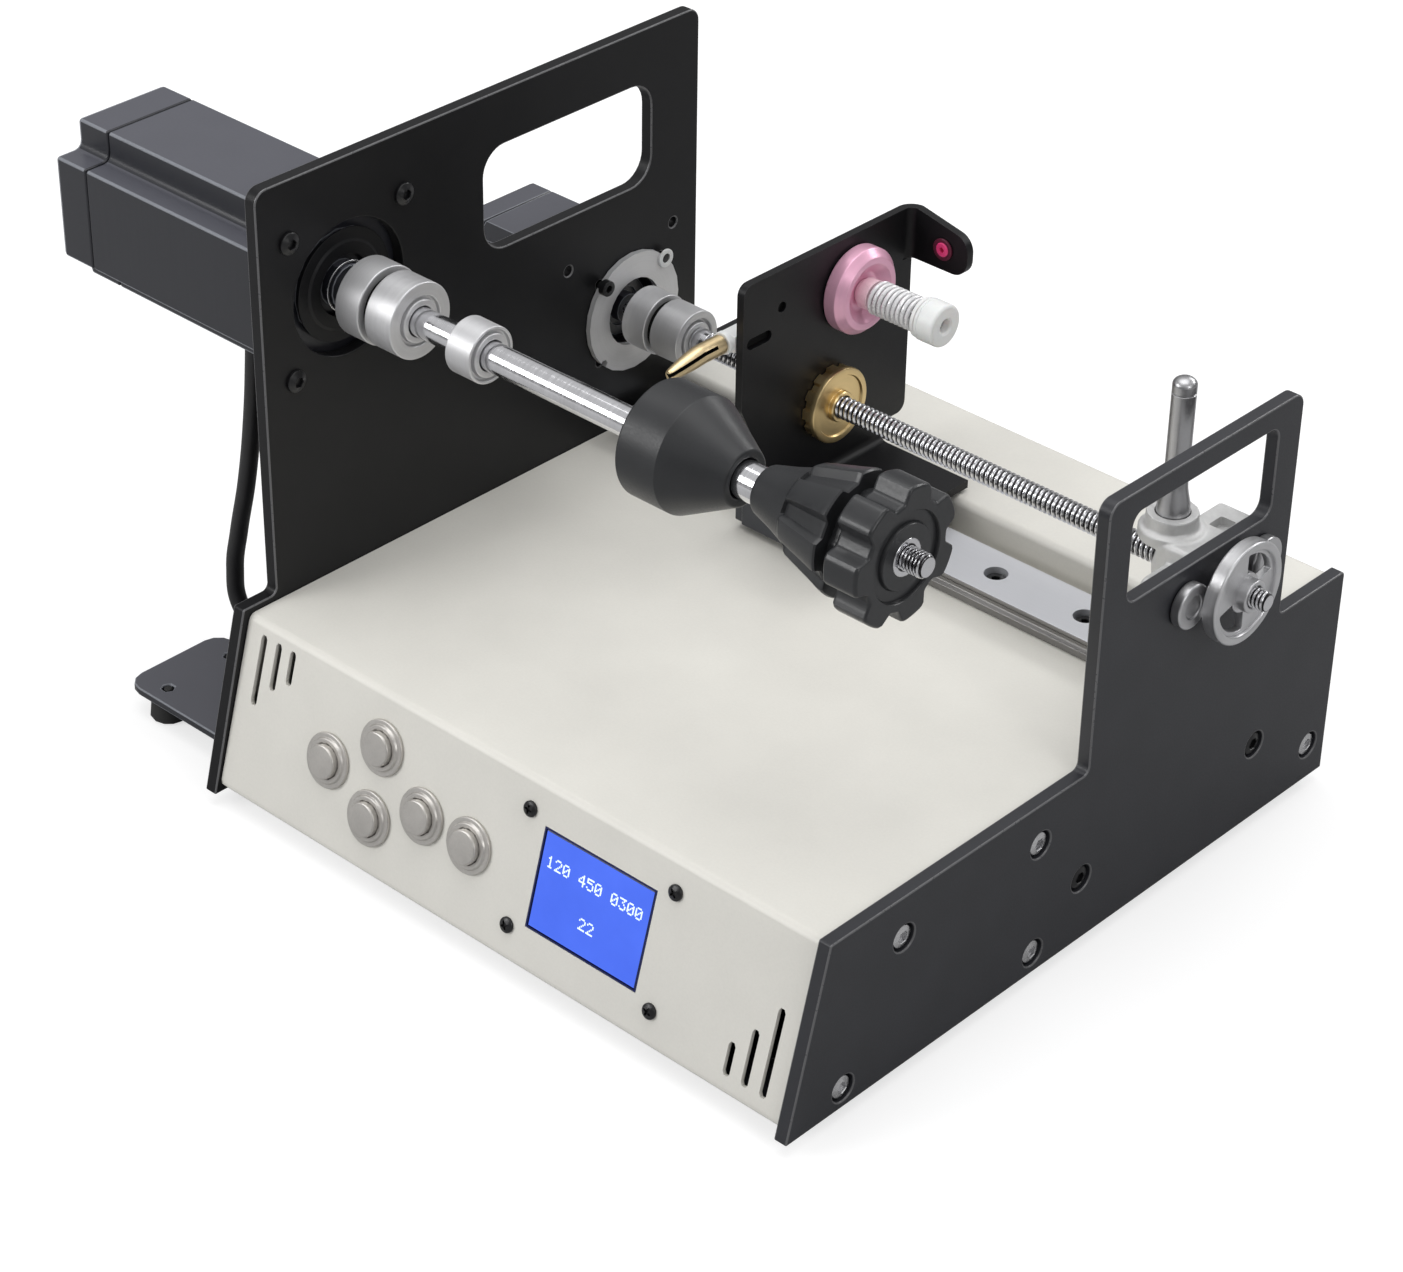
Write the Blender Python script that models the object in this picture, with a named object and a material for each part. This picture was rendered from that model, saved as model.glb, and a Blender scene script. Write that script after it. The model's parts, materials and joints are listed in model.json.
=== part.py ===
"""Benchtop wire coil winding machine, modelled as it is assembled.

Lengths are metres and +Z is up. Places are bench places: x = 0 is the inner face of
the left side plate, y = 0 the bottom edge of the front panel, z = 0 the table.
The finished model has its origin under the middle of its own box.
"""
import math

import bmesh
import bpy
from mathutils import Matrix, Vector

# Driving sizes of the whole machine
GAP = 0.0003
EDGE = 0.0008
OVERRUN = 0.010
BASE_WIDTH = 0.255
SIDE_PLATE = 0.005
SHEET = 0.0015
BEND = 0.0015
COVER_BOTTOM = 0.0065
DECK_TOP = 0.069
REAR_DECK_TOP = 0.0823
REAR_DECK = 0.0538
REAR_Y = 0.276
PANEL_SETBACK = 0.018
PLATE_FRONT = -0.0019
PLATE_PROUD = 0.0023
SPINDLE_Y = 0.0682
SPINDLE_Z = 0.1725
SCREW_BEFORE_STEP = 0.0222
SCREW_Z = 0.114
RAIL_SHIFT = 0.001
CARRIAGE_X = 0.091
SPINDLE_MOTOR_REAR = -0.1134
STUD_REACH = 0.0235

# Places that follow from the driving sizes
STEP_Y = REAR_Y - REAR_DECK
SCREW_Y = STEP_Y - SCREW_BEFORE_STEP
RAIL_Y = SCREW_Y + RAIL_SHIFT
STUD_END = BASE_WIDTH + STUD_REACH

# How finely round shapes are divided
ROUND = 24
MIDDLE = 16
SMALL = 12
TINY = 6
ARC = 3

# The bench place that becomes the origin
ORIGIN = Vector(((SPINDLE_MOTOR_REAR + STUD_END) / 2, (PLATE_FRONT + REAR_Y) / 2, 0))

# The front panel leans back, with its own axes along it, up it and out of it
PANEL_RISE = DECK_TOP - COVER_BOTTOM
PANEL_LENGTH = math.hypot(PANEL_SETBACK, PANEL_RISE)
PANEL_TILT = math.atan2(PANEL_RISE, PANEL_SETBACK)

FINISHES = {
    "ivory_paint": ((0.68, 0.67, 0.63), 0.45, 0.0),
    "black_anodised": ((0.045, 0.046, 0.050), 0.42, 0.3),
    "slate_paint": ((0.10, 0.105, 0.13), 0.45, 0.2),
    "black_plastic": ((0.030, 0.031, 0.034), 0.40, 0.0),
    "polished_steel": ((0.72, 0.72, 0.74), 0.18, 1.0),
    "satin_steel": ((0.58, 0.58, 0.59), 0.35, 1.0),
    "cast_aluminium": ((0.60, 0.60, 0.61), 0.45, 0.9),
    "brass": ((0.78, 0.58, 0.28), 0.25, 1.0),
    "rose_anodised": ((0.78, 0.36, 0.48), 0.35, 0.3),
    "ruby": ((0.85, 0.06, 0.22), 0.10, 0.0),
    "white_nylon": ((0.86, 0.86, 0.86), 0.40, 0.0),
    "blue_glass": ((0.02, 0.22, 0.75), 0.12, 0.0),
    "green_board": ((0.02, 0.20, 0.09), 0.50, 0.0),
    "rubber": ((0.025, 0.025, 0.025), 0.80, 0.0),
    "cable_jacket": ((0.020, 0.020, 0.022), 0.50, 0.0),
}


def make_finish(name):
    finish = bpy.data.materials.get(name)
    if finish:
        return finish
    colour, roughness, metallic = FINISHES[name]
    finish = bpy.data.materials.new(name)
    finish.use_nodes = True
    shader = finish.node_tree.nodes["Principled BSDF"]
    shader.inputs["Base Color"].default_value = (*colour, 1)
    shader.inputs["Roughness"].default_value = roughness
    shader.inputs["Metallic"].default_value = metallic
    return finish


# Placing pieces on the bench and on the axes that they move about

AXES = {}


def joint_axis(name, point, parent=None):
    """An empty on a joint's axis, which carries the pieces that move about it"""
    axis = bpy.data.objects.new(name, None)
    bpy.context.collection.objects.link(axis)
    world = Vector(point) - ORIGIN
    axis.location = world
    if parent:
        axis.parent = AXES[parent][0]
        axis.location = world - AXES[parent][1]
    AXES[name] = (axis, world)
    return name


def add(name, shape, finish, carrier=None):
    """Turn a bmesh or a curve in bench places into a named object"""
    data = shape
    if isinstance(shape, bmesh.types.BMesh):
        data = bpy.data.meshes.new(name)
        shape.to_mesh(data)
        shape.free()
        data.shade_smooth()
        data.set_sharp_from_angle(angle=math.radians(32))
    piece = bpy.data.objects.new(name, data)
    bpy.context.collection.objects.link(piece)
    piece.location = -ORIGIN
    if carrier:
        piece.parent = AXES[carrier][0]
        piece.location = -ORIGIN - AXES[carrier][1]
    if finish:
        data.materials.append(make_finish(finish))
    return piece


def modify(piece, operation, shapes):
    guide = add(f"guide_{piece.name}_{len(piece.modifiers)}", joined(shapes), None)
    guide.parent = piece.parent
    guide.location = piece.location
    guide.hide_render = True
    guide.display_type = "WIRE"
    boolean = piece.modifiers.new(operation.lower(), "BOOLEAN")
    boolean.operation = operation
    boolean.solver = "EXACT"
    boolean.object = guide


def cut(piece, *shapes):
    modify(piece, "DIFFERENCE", shapes)


def join(piece, *shapes):
    modify(piece, "UNION", shapes)


# Outlines, as lists of two coordinates

def polar(radius, angle, centre=(0, 0)):
    return (centre[0] + radius * math.cos(angle), centre[1] + radius * math.sin(angle))


def circle(radius, centre=(0, 0), sides=SMALL):
    return [polar(radius, math.tau * i / sides, centre) for i in range(sides)]


def rectangle(low, high):
    return [(low[0], low[1]), (high[0], low[1]), (high[0], high[1]), (low[0], high[1])]


def around(centre, half):
    """The low and high corners of a rectangle from its middle and half sizes"""
    low = (centre[0] - half[0], centre[1] - half[1])
    return low, (centre[0] + half[0], centre[1] + half[1])


def corners_of(centre, half):
    return rectangle(*around(centre, half))


def rounded(corners, steps=ARC):
    """Round each corner (a, b, radius) of a closed outline with an arc"""
    outline = []
    for i, (a, b, radius) in enumerate(corners):
        if radius == 0:
            outline.append((a, b))
            continue
        here = Vector((a, b))
        before = (Vector(corners[i - 1][:2]) - here).normalized()
        after = (Vector(corners[(i + 1) % len(corners)][:2]) - here).normalized()
        half = before.angle(after) / 2
        centre = here + (before + after).normalized() * radius / math.sin(half)
        start = here + before * radius / math.tan(half) - centre
        end = here + after * radius / math.tan(half) - centre
        turn = math.atan2(start.x * end.y - start.y * end.x, start.dot(end))
        first = math.atan2(start.y, start.x)
        outline += [polar(radius, first + turn * k / steps, centre) for k in range(steps + 1)]
    return outline


def rounded_rectangle(low, high, radius, steps=ARC):
    return rounded([(a, b, radius) for a, b in rectangle(low, high)], steps)


def slot(start, end, radius, steps=ARC):
    """A slot with round ends from one centre to the other"""
    along = math.atan2(end[1] - start[1], end[0] - start[0]) - math.pi / 2
    far = [polar(radius, along + math.pi * k / steps, end) for k in range(steps + 1)]
    return far + [polar(radius, along + math.pi * (1 + k / steps), start) for k in range(steps + 1)]


def ring_outline(radii, start, centre):
    """An outline whose points take the given radii, evenly spread round a circle"""
    return [polar(radius, start + math.tau * i / len(radii), centre) for i, radius in enumerate(radii)]


def sheet_outline(skin, thickness, radius, steps=ARC):
    """The cut edge of a bent sheet whose skin runs through the given corners

    The sheet lies to the right of the skin, and each bend keeps its thickness.
    """
    front, back = [], []
    for i, corner in enumerate(skin):
        here = Vector(corner)
        into = here - Vector(skin[i - 1]) if i else Vector(skin[1]) - here
        out = Vector(skin[i + 1]) - here if i < len(skin) - 1 else into
        into.normalize()
        right = Vector((into.y, -into.x))
        bend = into.angle_signed(out) if into.angle(out) else 0
        if bend == 0:
            front.append(tuple(here))
            back.append(tuple(here + right * thickness))
            continue
        inside = 1 if bend > 0 else -1
        near = radius + thickness if inside > 0 else radius
        far = radius if inside > 0 else radius + thickness
        centre = here - into * near * math.tan(abs(bend) / 2) + right * inside * near
        first = math.atan2(-right.y * inside, -right.x * inside)
        for k in range(steps + 1):
            angle = first - bend * k / steps
            front.append(polar(near, angle, centre))
            back.append(polar(far, angle, centre))
    return front + back[::-1]


# Solids, as bmeshes in bench places

def place(a, b, level, axis):
    return {"X": (level, a, b), "Y": (a, level, b), "Z": (a, b, level)}[axis]


def outward(bm):
    bmesh.ops.recalc_face_normals(bm, faces=bm.faces)
    if bm.calc_volume(signed=True) < 0:
        bmesh.ops.reverse_faces(bm, faces=bm.faces)
    return bm


def fill(bm, loops, level, axis):
    """Fill an outline and leave the holes in it open"""
    edges = []
    for loop in loops:
        verts = [bm.verts.new(place(a, b, level, axis)) for a, b in loop]
        edges += [bm.edges.new(pair) for pair in zip(verts, verts[1:] + verts[:1])]
    bmesh.ops.triangle_fill(bm, use_beauty=True, edges=edges)


def prism(loops, low, high, axis="X"):
    bm = bmesh.new()
    fill(bm, loops, low, axis)
    made = bmesh.ops.extrude_face_region(bm, geom=bm.faces[:])["geom"]
    moved = [item for item in made if isinstance(item, bmesh.types.BMVert)]
    bmesh.ops.translate(bm, verts=moved, vec=place(0, 0, high - low, axis))
    return outward(bm)


def block(low, high):
    return prism([rectangle(low, high)], low[2], high[2], "Z")


def skinned(bm, sections, axis):
    """Skin equal outlines, each (level, outline), and give the edges of both ends"""
    rings = []
    for level, outline in sections:
        rings.append([bm.verts.new(place(a, b, level, axis)) for a, b in outline])
    for first, second in zip(rings, rings[1:]):
        for i in range(len(first)):
            j = (i + 1) % len(first)
            bm.faces.new((first[i], first[j], second[j], second[i]))
    return [[bm.edges.get(pair) for pair in zip(ring, ring[1:] + ring[:1])] for ring in (rings[0], rings[-1])]


def lofted(sections, axis="X", bore=None):
    """A skin with both ends filled, or filled round a bore that has its own sections"""
    bm = bmesh.new()
    ends = skinned(bm, sections, axis)
    if bore:
        ends = [outer + inner for outer, inner in zip(ends, skinned(bm, bore, axis))]
    for edges in ends:
        bmesh.ops.triangle_fill(bm, use_beauty=True, edges=edges)
    return outward(bm)


def turned(profile, sides=ROUND, centre=(0, 0), axis="X"):
    """Turn a closed profile of (level, radius) points about a line along an axis"""
    bm = bmesh.new()
    rings = []
    for level, radius in profile:
        outline = circle(radius, centre, sides) if radius else [centre]
        rings.append([bm.verts.new(place(a, b, level, axis)) for a, b in outline])
    for first, second in zip(rings, rings[1:] + rings[:1]):
        if len(first) + len(second) == 2:
            continue
        for i in range(sides):
            j = (i + 1) % sides
            quad = [first[i % len(first)], first[j % len(first)]]
            quad += [second[j % len(second)], second[i % len(second)]]
            bm.faces.new(list(dict.fromkeys(quad)))
    return outward(bm)


def rod(low, high, radius, centre=(0, 0), sides=SMALL, axis="X"):
    return turned([(low, 0), (low, radius), (high, radius), (high, 0)], sides, centre, axis)


def tube(low, high, outer, inner, centre=(0, 0), sides=ROUND, axis="X"):
    return turned([(low, inner), (low, outer), (high, outer), (high, inner)], sides, centre, axis)


def joined(shapes):
    """Several closed shapes as one bmesh"""
    bm = bmesh.new()
    for shape in shapes:
        data = bpy.data.meshes.new("part")
        shape.to_mesh(data)
        shape.free()
        bm.from_mesh(data)
        bpy.data.meshes.remove(data)
    return bm


# Motors, square with notched or chamfered corners

SPINDLE_MOTOR = {
    "name": "spindle_motor", "axis": "spindle_axis", "centre": (SPINDLE_Y, SPINDLE_Z),
    "half": 0.0290, "notch": 0.0105, "fillet": 0.0030, "hole_pitch": 0.0500, "screw": 0.0023,
    "rear": SPINDLE_MOTOR_REAR, "cap": 0.0070, "rear_cap": 0.0160, "pilot": 0.0190,
    "boss": 0.0080, "boss_reach": 0.0058, "shaft": 0.0040, "shaft_end": 0.0200, "rotor": 0.0150,
}
TRAVERSE_MOTOR = {
    "name": "traverse_motor", "axis": "lead_screw_axis", "centre": (SCREW_Y, SCREW_Z),
    "half": 0.02115, "notch": 0.0045, "fillet": 0.0, "hole_pitch": 0.0310, "screw": 0.0014,
    "rear": -0.0665, "cap": 0.0070, "rear_cap": 0.0110, "pilot": 0.0110,
    "boss": 0.0055, "boss_reach": 0.0045, "shaft": 0.0025, "shaft_end": 0.0190, "rotor": 0.0110,
}
PILOT = 0.0018
PILOT_RIM = 0.0035
CAP_CHAMFER = 0.0015
REAR_EDGE = 0.0012
BEARING_POCKET = 0.004
ROTOR_CLEAR = 0.003
THREAD_DEPTH = 0.005
FLANGE_RING = 0.0020
FLANGE_RING_RADIUS = 0.0226
MOTOR_FACE = -SIDE_PLATE - GAP


def motor_holes(motor):
    half = motor["hole_pitch"] / 2
    return corners_of(motor["centre"], (half, half))


def motor_section(motor, notch, fillet, inset=0.0):
    """A square whose corners are chamfered, or notched where there is a fillet"""
    half = motor["half"] - inset
    corner = [(half, half - notch, 0), (half - notch, half, 0)]
    if fillet:
        corner.insert(1, (half - notch, half - notch, fillet))
    outline = []
    for turn in (1, 1j, -1, -1j):
        for a, b, radius in corner:
            spun = complex(a, b) * turn
            outline.append((motor["centre"][0] + spun.real, motor["centre"][1] + spun.imag, radius))
    return rounded(outline)


def motor_pilot(motor):
    """The raised rim that centres the motor in the plate, and the boss round its shaft"""
    rim = motor["pilot"] - PILOT_RIM
    recess, reach = MOTOR_FACE + PILOT / 4, MOTOR_FACE + motor["boss_reach"]
    low, high = MOTOR_FACE - PILOT, MOTOR_FACE + PILOT
    profile = [(low, 0), (low, motor["pilot"]), (high, motor["pilot"]), (high, rim), (recess, rim),
               (recess, motor["boss"]), (reach, motor["boss"]), (reach, 0)]
    return turned(profile, MIDDLE, motor["centre"])


def screw_drills(motor):
    drill = motor["screw"] + GAP
    low, high = MOTOR_FACE - THREAD_DEPTH, MOTOR_FACE + OVERRUN
    return [rod(low, high, drill, hole, TINY) for hole in motor_holes(motor)]


def rotor_profile(motor, clear):
    """The rotor on its shaft, or with a clearance the space that it turns in"""
    rear_front = motor["rear"] + motor["rear_cap"]
    low, high = rear_front + ROTOR_CLEAR - clear, MOTOR_FACE - motor["cap"] - ROTOR_CLEAR + clear
    tail, end = rear_front - BEARING_POCKET - clear, motor["shaft_end"] + clear
    shaft, rotor = motor["shaft"] + clear, motor["rotor"] + clear
    return [(tail, 0), (tail, shaft), (low, shaft), (low, rotor), (high, rotor), (high, shaft),
            (end, shaft), (end, 0)]


def rotor_on_shaft(motor):
    shape = turned(rotor_profile(motor, 0), MIDDLE, motor["centre"])
    add(f"{motor['name']}_rotor", shape, "satin_steel", motor["axis"])


def spindle_motor():
    """Front cap, notched stator and rear cap, as three pieces round the rotor"""
    motor = SPINDLE_MOTOR
    centre, bore = motor["centre"], motor["shaft"] + GAP
    back = MOTOR_FACE - motor["cap"]
    rear_front = motor["rear"] + motor["rear_cap"]
    section = motor_section(motor, motor["notch"], motor["fillet"])
    front = prism([motor_section(motor, CAP_CHAMFER, 0)], back, MOTOR_FACE)
    cap = add("spindle_motor_front_cap", front, "slate_paint")
    join(cap, motor_pilot(motor))
    cut(cap, rod(back - OVERRUN, motor["shaft_end"], bore, centre, MIDDLE), *screw_drills(motor))
    loops = [section, circle(motor["rotor"] + GAP, centre, MIDDLE)]
    add("spindle_motor_stator", prism(loops, rear_front + GAP, back - GAP), "slate_paint")
    small = motor_section(motor, motor["notch"], motor["fillet"], REAR_EDGE)
    sections = [(motor["rear"], small), (motor["rear"] + REAR_EDGE, section), (rear_front, section)]
    rear = add("spindle_motor_rear_cap", lofted(sections), "slate_paint")
    cut(rear, rod(rear_front - BEARING_POCKET - GAP, rear_front + OVERRUN, bore, centre, MIDDLE))
    rotor_on_shaft(motor)


def traverse_motor():
    """Its caps and stator stay together as one body with a seam at each joint"""
    motor = TRAVERSE_MOTOR
    full, inset = [motor_section(motor, motor["notch"], 0, inset) for inset in (0, REAR_EDGE / 2)]
    sections = [(motor["rear"], inset), (motor["rear"] + REAR_EDGE, full)]
    for seam in (motor["rear"] + motor["rear_cap"], MOTOR_FACE - motor["cap"]):
        sections += [(seam - REAR_EDGE, full), (seam - REAR_EDGE / 2, inset), (seam, full)]
    body = add("traverse_motor_body", lofted(sections + [(MOTOR_FACE, full)]), "slate_paint")
    join(body, motor_pilot(motor))
    cut(body, turned(rotor_profile(motor, GAP), MIDDLE, motor["centre"]), *screw_drills(motor))
    rotor_on_shaft(motor)


def traverse_flange_ring():
    """The bright ring on the plate round the traverse motor's shaft, notched for its screws"""
    centre = TRAVERSE_MOTOR["centre"]
    ring = tube(GAP, GAP + FLANGE_RING, FLANGE_RING_RADIUS, TRAVERSE_HOLE, centre)
    ring = add("traverse_flange_ring", ring, "satin_steel")
    drill = TRAVERSE_MOTOR["screw"] + GAP
    through = GAP + FLANGE_RING + GAP
    cut(ring, *[rod(-GAP, through, drill, hole, TINY) for hole in motor_holes(TRAVERSE_MOTOR)])


# Motor cables, as hand-chosen points on their routes into the base

CABLE_RADIUS = 0.0032
CABLE_STEP = 0.008
SPINDLE_CABLE = [
    (-0.0450, 0.0645, 0.1432), (-0.0460, 0.0645, 0.1300), (-0.0490, 0.0645, 0.1050),
    (-0.0540, 0.0645, 0.0780), (-0.0600, 0.0645, 0.0550), (-0.0635, 0.0645, 0.0380),
    (-0.0620, 0.0645, 0.0240), (-0.0520, 0.0645, 0.0165), (-0.0350, 0.0645, 0.0150),
    (-0.0150, 0.0645, 0.0150), (0.0060, 0.0645, 0.0150),
]
TRAVERSE_CABLE = [
    (-0.0400, 0.2000, 0.0925), (-0.0400, 0.2000, 0.0800), (-0.0400, 0.1995, 0.0660),
    (-0.0370, 0.1985, 0.0540), (-0.0280, 0.1975, 0.0460), (-0.0150, 0.1970, 0.0440),
    (0.0060, 0.1970, 0.0440),
]
CABLES = {"spindle_motor_cable": SPINDLE_CABLE, "traverse_motor_cable": TRAVERSE_CABLE}


def smooth_route(points, step):
    """Evenly spaced points on a smooth curve through the given ones"""
    places = [Vector(point) for point in points]
    padded = [places[0] * 2 - places[1]] + places + [places[-1] * 2 - places[-2]]
    route = [places[0]]
    for a, b, c, d in zip(padded, padded[1:], padded[2:], padded[3:]):
        parts = max(1, round((c - b).length / step))
        for k in range(1, parts + 1):
            t = k / parts
            square = (2 * a - 5 * b + 4 * c - d) * t ** 2
            cube = (3 * b - a - 3 * c + d) * t ** 3
            route.append((2 * b + (c - a) * t + square + cube) / 2)
    return route


def wire(name, route, radius, resolution):
    curve = bpy.data.curves.new(name, "CURVE")
    curve.dimensions = "3D"
    curve.bevel_depth = radius
    curve.bevel_resolution = resolution
    curve.use_fill_caps = True
    spline = curve.splines.new("POLY")
    spline.points.add(len(route) - 1)
    for point, where in zip(spline.points, route):
        point.co = (*where, 1)
    return curve


def motor_cables():
    for name, points in CABLES.items():
        add(name, wire(name, smooth_route(points, CABLE_STEP), CABLE_RADIUS, 2), "cable_jacket")


# Side plates, which carry the motors, the end block and the handles

PLATE_BOTTOM = 0.005
PLATE_BEND_Y = 0.0156
PLATE_CORNER = 0.005
PLATE_FILLET = 0.0025
LEFT_FRONT_MARGIN = 0.0380
LEFT_BACK_MARGIN = 0.0342
LEFT_TOP_MARGIN = 0.0469
LEFT_HANDLE_INSET = (0.0237, 0.0199)
LEFT_HANDLE_START = SPINDLE_Y + 0.0613
LEFT_HANDLE = (SCREW_Y + LEFT_BACK_MARGIN - LEFT_HANDLE_INSET[0] - LEFT_HANDLE_START, 0.0382)
LEFT_HANDLE_CORNER = 0.010
RIGHT_FRONT_MARGIN = 0.0627
RIGHT_BACK_MARGIN = 0.0366
RIGHT_TOP_MARGIN = 0.0545
RIGHT_HANDLE = (0.0749, 0.0325)
RIGHT_HANDLE_INSET = (0.0122, 0.0080)
RIGHT_HANDLE_CORNER = 0.0045
SPINDLE_HOLE = 0.0240
TRAVERSE_HOLE = 0.0128
WHEEL_HOLE = 0.0062
SPARE_HOLE = 0.0020
SPARE_HOLE_RISE = 0.0265
SPARE_HOLE_REACH = (0.0308, 0.0219)
PLATE_SCREW_SHARES = [(0.181, 0.804), (0.420, 0.804), (0.420, 0.188), (0.087, 0.180),
                      (0.964, 0.275), (0.504, 0.435), (0.841, 0.522)]
PLATE_SCREW = 0.0019
PLATE_HEAD = 0.0042
PLATE_HEAD_SINK = 0.0024
SINK_RIM = 0.0007
CHEEK = 0.0015


def plate_screw_places():
    return [(y * REAR_Y, z * DECK_TOP) for y, z in PLATE_SCREW_SHARES]


def side_plate_outline(front, back, top):
    deck, rear = DECK_TOP + PLATE_PROUD, REAR_DECK_TOP + PLATE_PROUD
    return rounded([
        (PLATE_FRONT, PLATE_BOTTOM, 0),
        (PLATE_BEND_Y, deck, 0),
        (front, deck, PLATE_FILLET),
        (front, top, PLATE_CORNER),
        (back, top, PLATE_CORNER),
        (back, rear, PLATE_FILLET),
        (REAR_Y, rear, 0),
        (REAR_Y, PLATE_BOTTOM, 0),
    ])


def handle_outline(back, top, size, inset, corner):
    high = (back - inset[0], top - inset[1])
    return rounded_rectangle((high[0] - size[0], high[1] - size[1]), high, corner)


def side_plate(name, low, high, outer, loops):
    """A thick plate with its loops cut through and its screw heads sunk in the outer face"""
    loops += [circle(PLATE_SCREW + GAP, where, TINY) for where in plate_screw_places()]
    plate = add(name, prism(loops, low, high), "black_anodised")
    floor = outer - math.copysign(PLATE_HEAD_SINK + GAP, outer)
    over = outer + math.copysign(OVERRUN, outer)
    cut(plate, *[rod(floor, over, PLATE_HEAD + SINK_RIM, where, SMALL) for where in plate_screw_places()])


def left_side_plate():
    back, top = SCREW_Y + LEFT_BACK_MARGIN, SPINDLE_Z + LEFT_TOP_MARGIN
    loops = [side_plate_outline(SPINDLE_Y - LEFT_FRONT_MARGIN, back, top)]
    loops += [handle_outline(back, top, LEFT_HANDLE, LEFT_HANDLE_INSET, LEFT_HANDLE_CORNER)]
    loops += [circle(SPINDLE_HOLE, SPINDLE_MOTOR["centre"], ROUND)]
    loops += [circle(TRAVERSE_HOLE, TRAVERSE_MOTOR["centre"], MIDDLE)]
    before, after = SPARE_HOLE_REACH
    loops += [circle(SPARE_HOLE, (y, SCREW_Z + SPARE_HOLE_RISE)) for y in (SCREW_Y - before, SCREW_Y + after)]
    loops += [circle(CABLE_RADIUS + EDGE, route[-1][1:]) for route in CABLES.values()]
    for motor in (SPINDLE_MOTOR, TRAVERSE_MOTOR):
        loops += [circle(motor["screw"] + GAP, hole, TINY) for hole in motor_holes(motor)]
    loops += [circle(PLATE_SCREW + GAP, where, TINY) for where in OUTRIGGER_BOLTS]
    side_plate("left_side_plate", -SIDE_PLATE, 0, -SIDE_PLATE, loops)


def right_side_plate():
    back, top = SCREW_Y + RIGHT_BACK_MARGIN, SCREW_Z + RIGHT_TOP_MARGIN
    loops = [side_plate_outline(SCREW_Y - RIGHT_FRONT_MARGIN, back, top)]
    loops += [handle_outline(back, top, RIGHT_HANDLE, RIGHT_HANDLE_INSET, RIGHT_HANDLE_CORNER)]
    loops += [circle(WHEEL_HOLE, (SCREW_Y, SCREW_Z), SMALL)]
    loops += [circle(BLOCK_BOLT + GAP, where) for where in block_bolt_places()]
    outer = BASE_WIDTH + SIDE_PLATE
    side_plate("right_side_plate", BASE_WIDTH, outer, outer, loops)


# Base cover: one bent sheet with cheeks, and all that is cut in it

FRONT_LIP = 0.012
REAR_LIP = 0.009
LOUVRE_WIDTH = 0.0028
LOUVRE_SHARES = [(0.0345, 0.561, 0.915), (0.0631, 0.689, 0.915), (0.0902, 0.764, 0.915),
                 (0.9075, 0.135, 0.277), (0.9369, 0.135, 0.400), (0.9663, 0.135, 0.569)]
BUTTON_SHARES = [(0.1855, 0.492), (0.2733, 0.715), (0.2733, 0.323), (0.3608, 0.492), (0.4470, 0.484)]
DISPLAY_CENTRE_SHARES = (0.655, 0.522)
WINDOW_HALF = (0.02425, 0.01775)
DISPLAY_HOLE_HALF = (0.03125, 0.0205)
DISPLAY_SCREW = 0.0014
BARREL = 0.0078
COVER_REAR = REAR_Y - PLATE_PROUD
INSIDE = GAP + CHEEK + GAP


def panel_place(shares):
    return (shares[0] * BASE_WIDTH, shares[1] * PANEL_LENGTH)


def panel_matrix():
    lay = Matrix.Translation((0, 0, COVER_BOTTOM))
    return lay @ Matrix.Rotation(PANEL_TILT, 4, "X")


def on_panel(*shapes):
    """Lay shapes made in panel places (along, up, out) on the sloping panel"""
    for shape in shapes:
        bmesh.ops.transform(shape, matrix=panel_matrix(), verts=shape.verts)
    return joined(shapes)


def display_screw_places():
    return corners_of(panel_place(DISPLAY_CENTRE_SHARES), DISPLAY_HOLE_HALF)


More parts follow.
